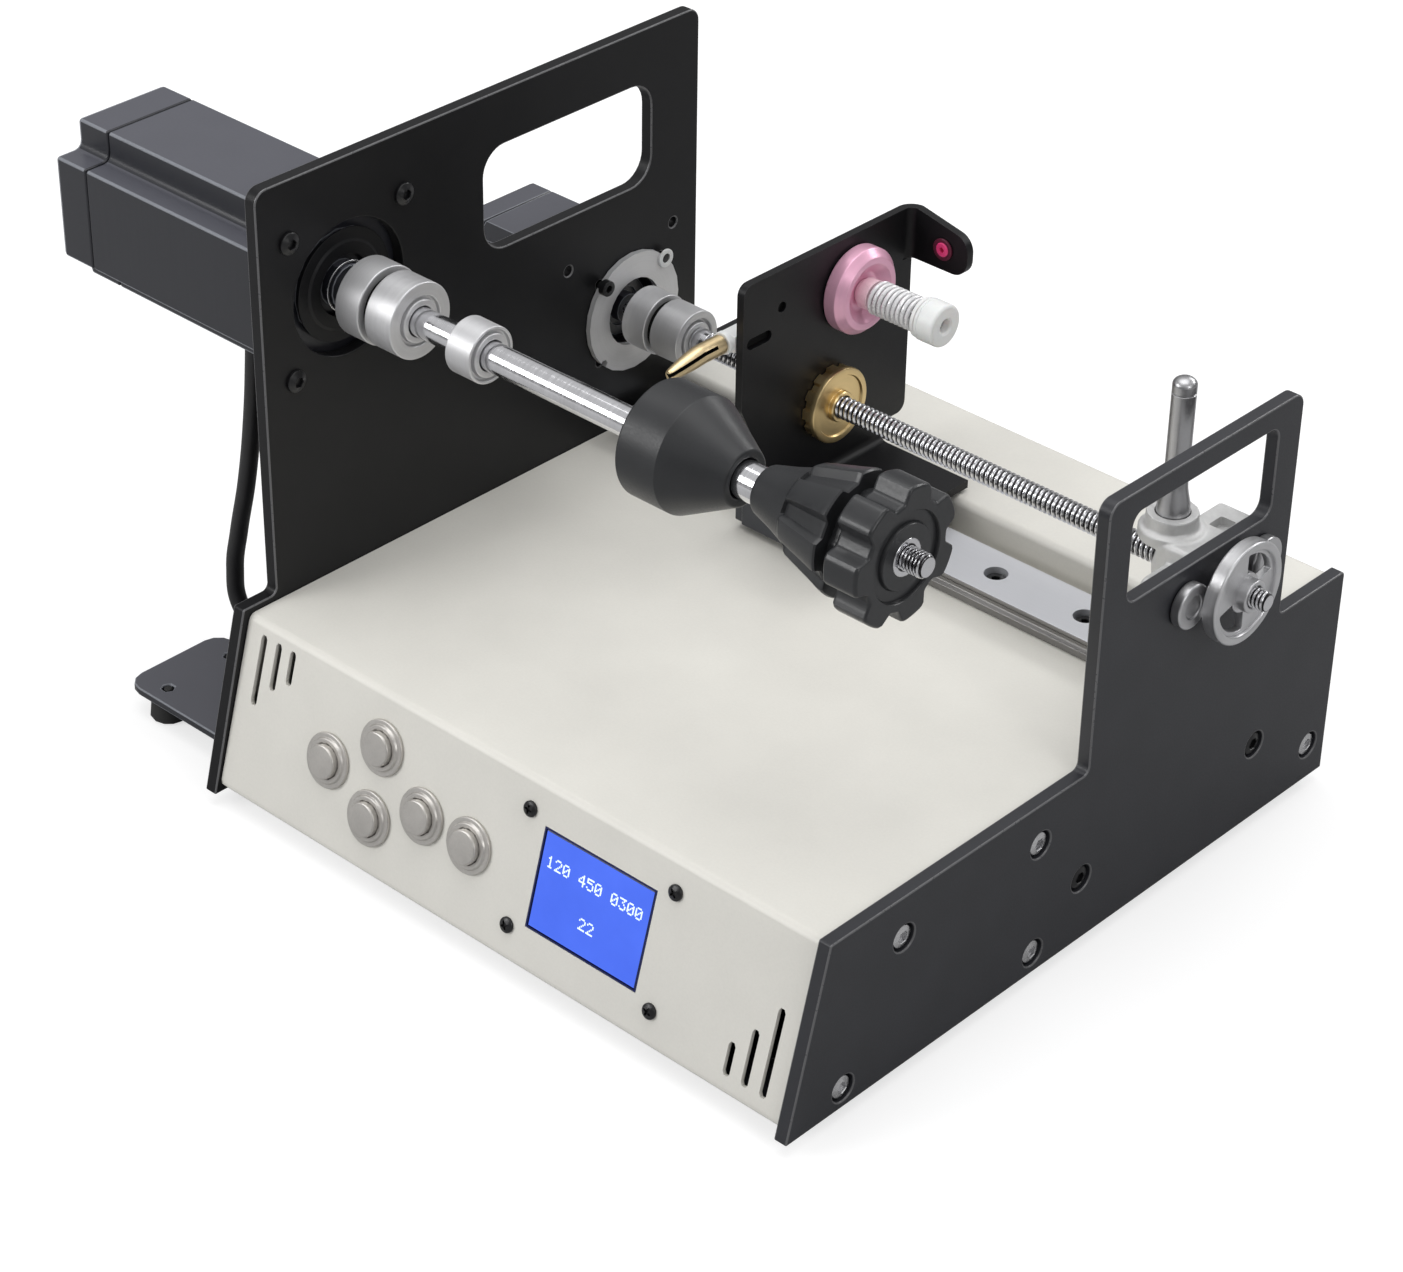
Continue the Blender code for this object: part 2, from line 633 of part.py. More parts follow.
def base_cover():
    """Front lip, panel, deck, step and rear lip in one sheet, with a cheek at each side"""
    skin = [
        (FRONT_LIP, COVER_BOTTOM),
        (0, COVER_BOTTOM),
        (PANEL_SETBACK, DECK_TOP),
        (STEP_Y, DECK_TOP),
        (STEP_Y, REAR_DECK_TOP),
        (COVER_REAR, REAR_DECK_TOP),
        (COVER_REAR, REAR_DECK_TOP - REAR_LIP),
    ]
    low, high = GAP, BASE_WIDTH - GAP
    outline = sheet_outline(skin, SHEET, BEND)
    half = len(outline) // 2
    under, behind = COVER_BOTTOM - OVERRUN, COVER_REAR + OVERRUN
    shell = prism([outline[:half] + [(COVER_REAR, COVER_BOTTOM)]], low, high)
    cavity = outline[half:] + [(FRONT_LIP, under), (behind, under), (behind, skin[-1][1])]
    cover = add("base_cover", shell, "ivory_paint")
    cut(cover, prism([cavity], low + CHEEK, high - CHEEK))
    cuts = []
    for x, bottom, top in LOUVRE_SHARES:
        ends = panel_place((x, bottom)), panel_place((x, top))
        cuts.append(prism([slot(*ends, LOUVRE_WIDTH / 2)], -OVERRUN, OVERRUN, "Z"))
    cuts += [rod(-OVERRUN, OVERRUN, BARREL + GAP, panel_place(shares), SMALL, "Z")
             for shares in BUTTON_SHARES]
    cuts += [prism([corners_of(panel_place(DISPLAY_CENTRE_SHARES), WINDOW_HALF)], -OVERRUN, OVERRUN, "Z")]
    cuts += [rod(-OVERRUN, OVERRUN, DISPLAY_SCREW + GAP, where, TINY, "Z")
             for where in display_screw_places()]
    drills = [rod(DECK_TOP - OVERRUN, DECK_TOP + OVERRUN, RAIL_SCREW + GAP, where, TINY, "Z")
              for where in rail_holes()]
    ways = [(where, PLATE_SCREW + GAP) for where in plate_screw_places()]
    left_ways = [(where, PLATE_SCREW + GAP) for where in OUTRIGGER_BOLTS]
    left_ways += [(route[-1][1:], CABLE_RADIUS + EDGE) for route in CABLES.values()]
    drills += [rod(low - OVERRUN, low + CHEEK + GAP, radius, where, TINY)
               for where, radius in ways + left_ways]
    drills += [rod(high - CHEEK - GAP, high + OVERRUN, radius, where, TINY) for where, radius in ways]
    cut(cover, on_panel(*cuts), *drills)


# Underside: bottom plate, outrigger and feet

TRAY = 0.002
TRAY_LOW = COVER_BOTTOM + SHEET + GAP
TRAY_TOP = TRAY_LOW + TRAY
TRAY_FRONT = 0.0048
FOOT = 0.0070
FOOT_TOP = 0.0062
FOOT_CHAMFER = 0.0012
FOOT_STEM = 0.0016
FOOT_INSET = 0.020
OUTRIGGER_SHEET = 0.003
OUTRIGGER_TOP = 0.0115
OUTRIGGER_REACH = 0.0627
OUTRIGGER_Y = (0.016, 0.059)
OUTRIGGER_CORNER = 0.007
OUTRIGGER_FLANGE = 0.0185
OUTRIGGER_BOLT_RISE = 0.0120
OUTRIGGER_BOLT_SHARES = (0.28, 0.72)
OUTRIGGER_BOLT_Z = OUTRIGGER_TOP + OUTRIGGER_BOLT_RISE
OUTRIGGER_BOLTS = [(OUTRIGGER_Y[0] + share * (OUTRIGGER_Y[1] - OUTRIGGER_Y[0]), OUTRIGGER_BOLT_Z)
                   for share in OUTRIGGER_BOLT_SHARES]
REAR_PANEL_FACE = COVER_REAR - SHEET - GAP


def tray_feet():
    rows = (FOOT_INSET, REAR_PANEL_FACE - FOOT_INSET)
    return [(x, y) for x in (FOOT_INSET, BASE_WIDTH - FOOT_INSET) for y in rows]


def outrigger_feet():
    x = MOTOR_FACE - OUTRIGGER_REACH + FOOT + FOOT + GAP
    return [(x, OUTRIGGER_Y[0] + FOOT + GAP), (x, OUTRIGGER_Y[1] - FOOT - GAP)]


def bottom_plate():
    loops = [rectangle((INSIDE, TRAY_FRONT), (BASE_WIDTH - INSIDE, REAR_PANEL_FACE))]
    loops += [circle(FOOT_STEM + EDGE, where, TINY) for where in tray_feet()]
    add("bottom_plate", prism(loops, TRAY_LOW, TRAY_TOP, "Z"), "black_anodised")


def outrigger_plate():
    """A bent angle plate on the left side plate that carries two feet under the motors"""
    tip = MOTOR_FACE - OUTRIGGER_REACH
    under = OUTRIGGER_TOP - OUTRIGGER_SHEET
    skin = [(MOTOR_FACE, OUTRIGGER_TOP + OUTRIGGER_FLANGE), (MOTOR_FACE, under), (tip, under)]
    outline = sheet_outline(skin, OUTRIGGER_SHEET, BEND)
    near, far = OUTRIGGER_Y
    plate = add("outrigger_plate", prism([outline], near, far, "Y"), "black_anodised")
    corner = OUTRIGGER_CORNER
    shaved = [(tip + corner, near, 0), (tip + corner, near - OVERRUN, 0), (tip - OVERRUN, near - OVERRUN, 0),
              (tip - OVERRUN, far + OVERRUN, 0), (tip + corner, far + OVERRUN, 0), (tip + corner, far, 0),
              (tip, far, corner), (tip, near, corner)]
    cuts = [prism([rounded(shaved)], under - OVERRUN, OUTRIGGER_TOP + OVERRUN, "Z")]
    cuts += [rod(MOTOR_FACE - OVERRUN, MOTOR_FACE + OVERRUN, PLATE_SCREW + GAP, where, TINY)
             for where in OUTRIGGER_BOLTS]
    cuts += [rod(under - OVERRUN, OUTRIGGER_TOP + OVERRUN, FOOT_STEM + EDGE, where, TINY, "Z")
             for where in outrigger_feet()]
    cut(plate, *cuts)


def rubber_feet():
    """Push-in feet whose stems pass through the plates that they carry"""
    seats = [(where, TRAY_LOW, TRAY) for where in tray_feet()]
    seats += [(where, OUTRIGGER_TOP - OUTRIGGER_SHEET, OUTRIGGER_SHEET) for where in outrigger_feet()]
    for number, (where, seat, through) in enumerate(seats, 1):
        top = seat - GAP
        profile = [(0, 0), (0, FOOT_TOP), (FOOT_CHAMFER, FOOT), (top, FOOT_TOP), (top, FOOT_STEM),
                   (seat + through, FOOT_STEM), (seat + through, 0)]
        add(f"rubber_foot_{number}", turned(profile, SMALL, where, "Z"), "rubber")


# Rear: vented panel, power inlet and rocker switch

VENT_COUNT = 9
VENT_PITCH = 0.006
VENT_RADIUS = 0.0013
VENT_X_SHARE = 0.235
VENT_Z_SHARES = (0.42, 0.75)
INLET_X_SHARE = 0.804
INLET_Z_SHARE = 0.49
INLET_HALF = (0.0135, 0.0235)
INLET_FLANGE = 0.0018
INLET_RIM = 0.0035
INLET_BODY = 0.024
INLET_WALL = 0.0018
SOCKET_DEPTH = 0.0170
SOCKET_HEIGHT = 0.0240
PIN_HALF = (0.0010, 0.0020)
PIN_PITCH = 0.007
PIN_LENGTH = 0.013
ROCKER_HALF = (0.0090, 0.0055)
ROCKER_RISE = 0.0150
ROCKER_POCKET = 0.0088
ROCKER_DEPTH = 0.0060
ROCKER_PROUD = 0.0006
ROCKER_LEAN_DEG = 7.0
ROCKER_FOOT_SHARE = 0.45
ROCKER_TIP_SHARE = 0.86
INLET = (INLET_X_SHARE * BASE_WIDTH, INLET_Z_SHARE * REAR_DECK_TOP)
INLET_FACE = REAR_PANEL_FACE + GAP + INLET_FLANGE


def rear_panel():
    low = (INSIDE, TRAY_TOP + GAP)
    high = (BASE_WIDTH - INSIDE, REAR_DECK_TOP - SHEET - BEND)
    loops = [rectangle(low, high)]
    loops += [corners_of(INLET, (INLET_HALF[0] + GAP, INLET_HALF[1] + GAP))]
    bottom, top = [share * REAR_DECK_TOP for share in VENT_Z_SHARES]
    for i in range(VENT_COUNT):
        x = VENT_X_SHARE * BASE_WIDTH + i * VENT_PITCH
        loops.append(slot((x, bottom), (x, top), VENT_RADIUS, 3))
    add("rear_panel", prism(loops, REAR_PANEL_FACE - SHEET, REAR_PANEL_FACE, "Y"), "black_anodised")


def power_inlet():
    """A mains socket with three pins, and above it the frame of the rocker switch"""
    x, z = INLET
    rim = (INLET_HALF[0] + INLET_RIM, INLET_HALF[1] + INLET_RIM)
    flange = rounded_rectangle(*around(INLET, rim), INLET_RIM)
    inlet = add("power_inlet", prism([flange], INLET_FACE - INLET_FLANGE, INLET_FACE, "Y"), "black_plastic")
    join(inlet, prism([corners_of(INLET, INLET_HALF)], INLET_FACE - INLET_BODY, INLET_FACE - EDGE, "Y"))
    half = INLET_HALF[0] - INLET_WALL
    bottom = z - INLET_HALF[1] + INLET_WALL
    top = bottom + SOCKET_HEIGHT
    bevel = half / 2
    socket = [(x - half, bottom), (x + half, bottom), (x + half, top - bevel), (x + half - bevel, top),
              (x - half + bevel, top), (x - half, top - bevel)]
    floor = INLET_FACE - SOCKET_DEPTH
    recess = corners_of((x, z + ROCKER_RISE), (ROCKER_HALF[0] + GAP, ROCKER_HALF[1] + GAP))
    cut(inlet, prism([socket], floor, INLET_FACE + OVERRUN, "Y"),
        prism([recess], INLET_FACE - ROCKER_POCKET, INLET_FACE + OVERRUN, "Y"))
    pins = [corners_of((x + i * PIN_PITCH, (bottom + top) / 2), PIN_HALF) for i in (-1, 0, 1)]
    join(inlet, *[prism([pin], floor - EDGE, floor + PIN_LENGTH, "Y") for pin in pins])


def switch_rocker():
    """A shallow V that tips about the line through its middle, its upper half pressed in"""
    x, z = INLET
    middle = (INLET_FACE, z + ROCKER_RISE)
    lean = math.radians(ROCKER_LEAN_DEG)
    half = ROCKER_HALF[1]
    tip, foot = half * ROCKER_TIP_SHARE, half * ROCKER_FOOT_SHARE
    lift = tip * math.tan(lean * 2)
    proud = ROCKER_PROUD
    shape = [(-ROCKER_DEPTH, foot), (-ROCKER_DEPTH, -foot), (-EDGE, -tip), (proud + lift, -tip),
             (proud, 0), (proud, tip), (-EDGE, tip)]
    outline = [(middle[0] + a, middle[1] + b) for a, b in shape]
    axis = joint_axis("rocker_axis", (x, *middle))
    width = ROCKER_HALF[0]
    add("switch_rocker", prism([outline], x - width, x + width), "black_plastic", axis)


# Front panel: buttons and display

BEZEL = 0.0095
BEZEL_HEIGHT = 0.0012
BEZEL_STEP = 0.0080
BEZEL_TOP = 0.0020
CAP = 0.0059
CAP_TOP = 0.0043
CAP_DEPTH = 0.0070
BARREL_DEPTH = 0.0120
BARREL_FLOOR = 0.0100
LENS_RECESS = 0.0002
MODULE_FRAME = 0.0055
MODULE_RIM = 0.0030
MODULE_BOARD = 0.0016
MODULE_MARGIN = 0.0040


def button_switches():
    """Five push switches with stepped bezels, their closed barrels on one board behind"""
    inner = CAP + GAP
    profile = [(-BARREL_DEPTH, 0), (-BARREL_DEPTH, BARREL), (GAP, BARREL), (GAP, BEZEL),
               (BEZEL_HEIGHT, BEZEL), (BEZEL_HEIGHT, BEZEL_STEP), (BEZEL_TOP, BEZEL_STEP - EDGE / 2),
               (BEZEL_TOP, inner), (-BARREL_FLOOR, inner), (-BARREL_FLOOR, 0)]
    places = [panel_place(shares) for shares in BUTTON_SHARES]
    low = [min(values) - BARREL - EDGE for values in zip(*places)]
    high = [max(values) + BARREL + EDGE for values in zip(*places)]
    board = prism([rectangle(low, high)], -BARREL_DEPTH - MODULE_BOARD + EDGE, -BARREL_DEPTH + EDGE, "Z")
    switches = add("button_switches", on_panel(board), "satin_steel")
    join(switches, on_panel(*[turned(profile, SMALL, where, "Z") for where in places]))


def button_caps():
    profile = [(-CAP_DEPTH, 0), (-CAP_DEPTH, CAP), (CAP_TOP - EDGE, CAP), (CAP_TOP, CAP - EDGE), (CAP_TOP, 0)]
    for number, shares in enumerate(BUTTON_SHARES, 1):
        where = panel_place(shares)
        axis = joint_axis(f"button_axis_{number}", panel_matrix() @ Vector((*where, CAP_TOP)))
        add(f"button_cap_{number}", on_panel(turned(profile, SMALL, where, "Z")), "satin_steel", axis)


def display():
    """A lens in the window, and behind it the module on its board"""
    centre = panel_place(DISPLAY_CENTRE_SHARES)
    lens_half = (WINDOW_HALF[0] - GAP, WINDOW_HALF[1] - GAP)
    lens = prism([corners_of(centre, lens_half)], -SHEET, -LENS_RECESS, "Z")
    add("display_lens", on_panel(lens), "blue_glass")
    face = -SHEET - GAP
    back = face - MODULE_FRAME
    frame = (WINDOW_HALF[0] + MODULE_RIM, WINDOW_HALF[1] + EDGE)
    board = (DISPLAY_HOLE_HALF[0] + MODULE_MARGIN, DISPLAY_HOLE_HALF[1] + MODULE_MARGIN)
    module = prism([corners_of(centre, frame)], back, face, "Z")
    module = add("display_module", on_panel(module), "black_plastic")
    loops = [corners_of(centre, board)]
    loops += [circle(DISPLAY_SCREW + GAP, where, TINY) for where in display_screw_places()]
    join(module, on_panel(prism(loops, back - MODULE_BOARD, back + EDGE / 4, "Z")))

# Inside the base: control board on its pillars, and the power supply

BOARD_CENTRE_SHARES = (0.33, 0.45)
BOARD_HALF = (0.055, 0.045)
BOARD = 0.0016
PILLAR = 0.0030
PILLAR_HEIGHT = 0.006
PILLAR_INSET = 0.004
CHIP_HEIGHT = 0.0025
SINK_HEIGHT = 0.012
SINK_HALF_SHARES = (0.11, 0.14)
SINK_CENTRE_SHARES = [(-0.62, 0.45), (-0.62, -0.35)]
CHIP_HALF_SHARES = (0.13, 0.16)
TERMINAL_HALF_SHARES = (0.30, 0.09)
TERMINAL_HEIGHT = 0.010
CAN = 0.005
CAN_HEIGHT = 0.014
SUPPLY_HALF = (0.040, 0.055)
SUPPLY_CENTRE_SHARES = (0.80, 0.56)
SUPPLY_HEIGHT = 0.032


def control_board():
    """The board that drives both motors, standing on four pillars above the bottom plate"""
    x, y = BOARD_CENTRE_SHARES[0] * BASE_WIDTH, BOARD_CENTRE_SHARES[1] * REAR_Y
    half = BOARD_HALF
    low = TRAY_TOP + GAP + PILLAR_HEIGHT
    top = low + BOARD
    root = top - EDGE / 2
    board = add("control_board", prism([corners_of((x, y), half)], low, top, "Z"), "green_board")
    pillars = corners_of((x, y), (half[0] - PILLAR_INSET, half[1] - PILLAR_INSET))
    shapes = [rod(TRAY_TOP + GAP, low + EDGE / 2, PILLAR, where, TINY, "Z") for where in pillars]
    sink = (half[0] * SINK_HALF_SHARES[0], half[1] * SINK_HALF_SHARES[1])
    for along, across in SINK_CENTRE_SHARES:
        outline = corners_of((x + half[0] * along, y + half[1] * across), sink)
        shapes.append(prism([outline], root, top + SINK_HEIGHT, "Z"))
    chip = (half[0] * CHIP_HALF_SHARES[0], half[1] * CHIP_HALF_SHARES[1])
    shapes.append(prism([corners_of((x, y), chip)], root, top + CHIP_HEIGHT, "Z"))
    terminal = (half[0] * TERMINAL_HALF_SHARES[0], half[1] * TERMINAL_HALF_SHARES[1])
    outline = corners_of((x, y + half[1] - terminal[1] - EDGE), terminal)
    shapes.append(prism([outline], root, top + TERMINAL_HEIGHT, "Z"))
    shapes.append(rod(root, top + CAN_HEIGHT, CAN, (x + half[0] / 2, y), SMALL, "Z"))
    join(board, *shapes)


def power_supply():
    """A caged supply with its terminal strip in a step at the rear"""
    x, y = SUPPLY_CENTRE_SHARES[0] * BASE_WIDTH, SUPPLY_CENTRE_SHARES[1] * REAR_Y
    low, top = TRAY_TOP + GAP, TRAY_TOP + GAP + SUPPLY_HEIGHT
    half = SUPPLY_HALF
    step = TERMINAL_HEIGHT
    near, far = y - half[1], y + half[1]
    outline = [(near, low), (far, low), (far, low + step), (far - step, low + step),
               (far - step, top), (near, top)]
    add("power_supply", prism([outline], x - half[0], x + half[0]), "cast_aluminium")


# Spindle: coupling, shaft with its stud, collar, sleeve and fixed cone

COUPLING_X = (0.0075, 0.0195, 0.0215, 0.0340)
COUPLING_RADII = (0.0140, 0.0125)
SHAFT = 0.0050
STUD = 0.0040
STUD_START = 0.1768
SPINDLE_END = 0.2465
COLLAR_X = (0.0550, 0.0600, 0.0612, 0.0665)
COLLAR_RADII = (0.0098, 0.0085)
SLEEVE = 0.0062
SLEEVE_X = (0.1600, 0.2000)
CONE_X = (0.1390, 0.1555, 0.1750)
CONE_RADII = (0.0195, 0.0093)
CONE_LIP = 0.0010


def stepped(name, stations, radii, bore, axis, centre):
    """Two turned drums with a groove between them, on bores that meet at a shoulder

    The bore is (first radius, second radius, where they meet).
    """
    start, groove, rest, end = stations
    first, second = radii
    neck = min(radii) - EDGE * 2
    profile = [(start, bore[0]), (start, first - EDGE), (start + EDGE, first), (groove - EDGE, first),
               (groove, first - EDGE), (groove, neck), (rest, neck), (rest, second - EDGE),
               (rest + EDGE, second), (end - EDGE, second), (end, second - EDGE), (end, bore[1])]
    if bore[0] != bore[1]:
        profile += [(bore[2], bore[1]), (bore[2], bore[0])]
    add(name, turned(profile, MIDDLE, centre), "satin_steel", axis)


def spindle():
    centre = SPINDLE_MOTOR["centre"]
    axis = joint_axis("spindle_axis", (0, *centre))
    start = SPINDLE_MOTOR["shaft_end"] + GAP
    bore = (SPINDLE_MOTOR["shaft"] + GAP, SHAFT + GAP, start)
    stepped("spindle_coupling", COUPLING_X, COUPLING_RADII, bore, axis, centre)
    profile = [(start + GAP, 0), (start + GAP, SHAFT), (STUD_START, SHAFT), (STUD_START, STUD),
               (SPINDLE_END - EDGE, STUD), (SPINDLE_END, STUD - EDGE), (SPINDLE_END, 0)]
    add("spindle_shaft", turned(profile, MIDDLE, centre), "polished_steel", axis)
    bore = SHAFT + GAP
    stepped("shaft_collar", COLLAR_X, COLLAR_RADII, (bore, bore, 0), axis, centre)
    low, high = SLEEVE_X
    shoulder = STUD_START + GAP
    profile = [(low, bore), (low, SLEEVE), (high, SLEEVE), (high, STUD + GAP),
               (shoulder, STUD + GAP), (shoulder, bore)]
    add("spacer_sleeve", turned(profile, MIDDLE, centre), "polished_steel", axis)
    back, waist, tip = CONE_X
    big, small = CONE_RADII
    seat = low - GAP
    profile = [(back, bore), (back, big - EDGE), (back + EDGE, big), (waist, big), (tip - CONE_LIP, small),
               (tip, small - CONE_LIP), (tip, SLEEVE + GAP), (seat, SLEEVE + GAP), (seat, bore)]
    add("fixed_cone", turned(profile, ROUND, centre), "black_plastic", axis)


# Moulded clamp cone and star knob, which run on the spindle's stud

CLAMP_X = (0.1840, 0.2030, 0.2175)
CLAMP_RADII = (0.0208, 0.0186)
CLAMP_SHARES = [(0.00, 0.375, 0.0), (0.04, 0.405, 0.0), (0.16, 0.45, 0.0), (0.50, 0.63, 0.0),
                (0.86, 0.80, 0.3), (1.00, 0.86, 0.6)]
CLAMP_TRAVEL = 0.0080
KNOB_X = (0.2190, 0.2385)
KNOB_RADII = (0.0228, 0.0182)
KNOB_NECK = 0.0110
KNOB_RING = (0.0150, 0.0108)
KNOB_RING_DEPTH = 0.0012
LOBES = 7
LOBE_START_DEG = -130.0
LOBE_SHARES = [1.0, 0.82, 0.16, 0.0, 0.16, 0.82]


def lobed(tip, valley):
    """Round lobes with hollows between them, from one table of shares for each lobe"""
    radii = [valley + (tip - valley) * share for share in LOBE_SHARES] * LOBES
    return ring_outline(radii, math.radians(LOBE_START_DEG), SPINDLE_MOTOR["centre"])


def clamp_cone():
    """A moulded cone whose round nose swells into seven lands"""
    centre = SPINDLE_MOTOR["centre"]
    nose, land, rear = CLAMP_X
    tip, valley = CLAMP_RADII
    sections = []
    for along, size, depth in CLAMP_SHARES:
        low = valley * size
        sections.append((nose + (land - nose) * along, lobed(low + (tip - valley) * depth, low)))
    sections += [(land + EDGE, lobed(tip, valley)), (rear - EDGE, lobed(tip, valley)),
                 (rear, lobed(tip - EDGE, valley - EDGE))]
    stop = SLEEVE_X[1] + CLAMP_TRAVEL + GAP
    sleeve, stud = [circle(radius + GAP, centre, MIDDLE) for radius in (SLEEVE, STUD)]
    axis = joint_axis("clamp_axis", (nose, *centre), "spindle_axis")
    shape = lofted(sections, bore=[(nose, sleeve), (stop, sleeve), (stop, stud), (rear, stud)])
    add("clamp_cone", shape, "black_plastic", axis)


def star_knob():
    """The lobed nut behind the cone, with a round neck and a ring sunk in its face"""
    centre = SPINDLE_MOTOR["centre"]
    low, high = KNOB_X
    tip, valley = KNOB_RADII
    start, neck = CLAMP_X[2] + GAP, lobed(KNOB_NECK, KNOB_NECK)
    sections = [(start, neck), (low, neck), (low, lobed(tip - EDGE * 2, valley - EDGE)),
                (low + EDGE * 2, lobed(tip, valley)), (high - EDGE * 3, lobed(tip, valley)),
                (high - EDGE, lobed(tip - EDGE, valley - EDGE)),
                (high, lobed(tip - EDGE * 3, valley - EDGE * 3))]
    stud = circle(STUD + GAP, centre, MIDDLE)
    axis = joint_axis("knob_axis", (low, *centre), "clamp_axis")
    knob = add("star_knob", lofted(sections, bore=[(start, stud), (high, stud)]), "black_plastic", axis)
    cut(knob, tube(high - KNOB_RING_DEPTH, high + OVERRUN, *KNOB_RING, centre, MIDDLE))


# Traverse: coupling, lead screw and handwheel

TRAVERSE_COUPLING_X = (0.0060, 0.0195, 0.0215, 0.0350)
TRAVERSE_COUPLING_RADII = (0.0122, 0.0122)
SCREW = 0.0040
JOURNAL = 0.0035
JOURNAL_LENGTH = 0.0145
JOURNAL_X = BASE_WIDTH - JOURNAL_LENGTH
WHEEL_REACH = (0.0105, 0.0160)
WHEEL_WEB_REACH = (0.0118, 0.0147)
WHEEL_HUB_REACH = (0.0055, 0.0185)
WHEEL = 0.0178
WHEEL_RIM = 0.0030
WHEEL_HUB = 0.0056
WINDOW_INSET = 0.0022
WINDOW_ARC_DEG = 62.0
WINDOW_AT_DEG = (52.0, 232.0)


def lead_screw():
    centre = TRAVERSE_MOTOR["centre"]
    axis = joint_axis("lead_screw_axis", (0, *centre))
    start = TRAVERSE_MOTOR["shaft_end"] + GAP
    bore = (TRAVERSE_MOTOR["shaft"] + GAP, SCREW + GAP, start)
    stepped("traverse_coupling", TRAVERSE_COUPLING_X, TRAVERSE_COUPLING_RADII, bore, axis, centre)
    profile = [(start + GAP, 0), (start + GAP, SCREW), (JOURNAL_X, SCREW), (JOURNAL_X, JOURNAL),
               (STUD_END - EDGE, JOURNAL), (STUD_END, JOURNAL - EDGE), (STUD_END, 0)]
    add("lead_screw", turned(profile, MIDDLE, centre), "polished_steel", axis)
    handwheel(axis, centre)


def handwheel(axis, centre):
    """A rim on a thin web with two kidney windows, and a hub on the screw's journal"""
    back, face = [BASE_WIDTH + reach for reach in WHEEL_REACH]
    rear, front = [BASE_WIDTH + reach for reach in WHEEL_WEB_REACH]
    inner = WHEEL - WHEEL_RIM
    bore = JOURNAL + GAP
    hub_low, hub_high = [BASE_WIDTH + reach for reach in WHEEL_HUB_REACH]
    profile = [(hub_low, bore), (hub_low, WHEEL_HUB), (rear, WHEEL_HUB), (rear, inner), (back, inner),
               (back, WHEEL - EDGE), (back + EDGE, WHEEL), (face - EDGE, WHEEL), (face, WHEEL - EDGE),
               (face, inner), (front, inner), (front, WHEEL_HUB), (hub_high, WHEEL_HUB), (hub_high, bore)]
    wheel = add("handwheel", turned(profile, ROUND, centre), "cast_aluminium", axis)
    near, far = WHEEL_HUB + WINDOW_INSET, inner - WINDOW_INSET
    sweep = math.radians(WINDOW_ARC_DEG)
    windows = []
    for middle in WINDOW_AT_DEG:
        start = math.radians(middle) - sweep / 2
        kidney = [polar(far, start + sweep * k / 6, centre) for k in range(7)]
        kidney += [polar(near, start + sweep * (1 - k / 6), centre) for k in range(7)]
        windows.append(prism([kidney], rear - EDGE, front + EDGE))
    cut(wheel, *windows)


# Rail, end block with its bearing and bolts, and guide post

RAIL_START = 0.0040
RAIL_CLEAR = 0.0270
RAIL_X = (RAIL_START, BASE_WIDTH - RAIL_CLEAR)
RAIL_HALF = 0.0120
RAIL_HEIGHT = 0.0077
RAIL_GROOVE = 0.0011
RAIL_PITCH = 0.038
RAIL_MARGIN = 0.014
RAIL_SINK = 0.0042
RAIL_SINK_DEPTH = 0.0045
RAIL_SCREW = 0.0017
RAIL_LOW = DECK_TOP + GAP
RAIL_TOP = RAIL_LOW + RAIL_HEIGHT


def rail_holes():
    first = RAIL_X[0] + RAIL_MARGIN
    count = int((RAIL_X[1] - RAIL_MARGIN - first) / RAIL_PITCH) + 1
    return [(first + i * RAIL_PITCH, RAIL_Y) for i in range(count)]


def linear_rail():
    """A profiled rail, grooved along both sides and counterbored for its screws"""
    wide, narrow, third = RAIL_HALF, RAIL_HALF - RAIL_GROOVE, RAIL_HEIGHT / 3
    levels = [(wide, 0), (wide, third), (narrow, third + RAIL_GROOVE), (narrow, 2 * third),
              (wide, 2 * third + RAIL_GROOVE), (wide, RAIL_HEIGHT - EDGE / 2), (wide - EDGE / 2, RAIL_HEIGHT)]
    outline = [(RAIL_Y + a, RAIL_LOW + b) for a, b in levels]
    outline += [(RAIL_Y - a, RAIL_LOW + b) for a, b in levels[::-1]]
    rail = add("linear_rail", prism([outline], *RAIL_X), "satin_steel")
    seat = RAIL_TOP - RAIL_SINK_DEPTH
    profile = [(RAIL_LOW - OVERRUN, 0), (RAIL_LOW - OVERRUN, RAIL_SCREW + GAP), (seat, RAIL_SCREW + GAP),
               (seat, RAIL_SINK), (RAIL_TOP + OVERRUN, RAIL_SINK), (RAIL_TOP + OVERRUN, 0)]
    cut(rail, *[turned(profile, SMALL, where, "Z") for where in rail_holes()])


BLOCK_THICK = 0.0132
BLOCK_HALF = 0.0245
BLOCK_DROP = 0.0160
BLOCK_RISE = 0.0115
BLOCK_CORNER = 0.0060
BLOCK_FACE = BASE_WIDTH - GAP
BLOCK_BOLT = 0.0030
BLOCK_BOLT_HALF_PITCH = 0.0196
BLOCK_BOLT_RISE = 0.0010
BOLT_HEAD = 0.0078
BOLT_HEAD_HEIGHT = 0.0038
BOSS_REACH = 0.0157
BOSS_RADII = (0.0120, 0.0096)
BOSS_LEVELS = (0.0050, 0.0122, 0.0175)
POCKET = (0.0060, 0.0070, 0.0030)
POCKET_INSET = 0.0018
BEARING = 0.0080
BEARING_WIDTH = 0.0050
BEARING_GROOVE = 0.0006
POST = 0.0040
POST_FLARE = 0.0056
POST_FOOT = 0.0078
POST_TAPER = 0.0105
POST_HEIGHT = 0.0485
POST_SEAM = 0.0056
POST_DOME = 0.0026
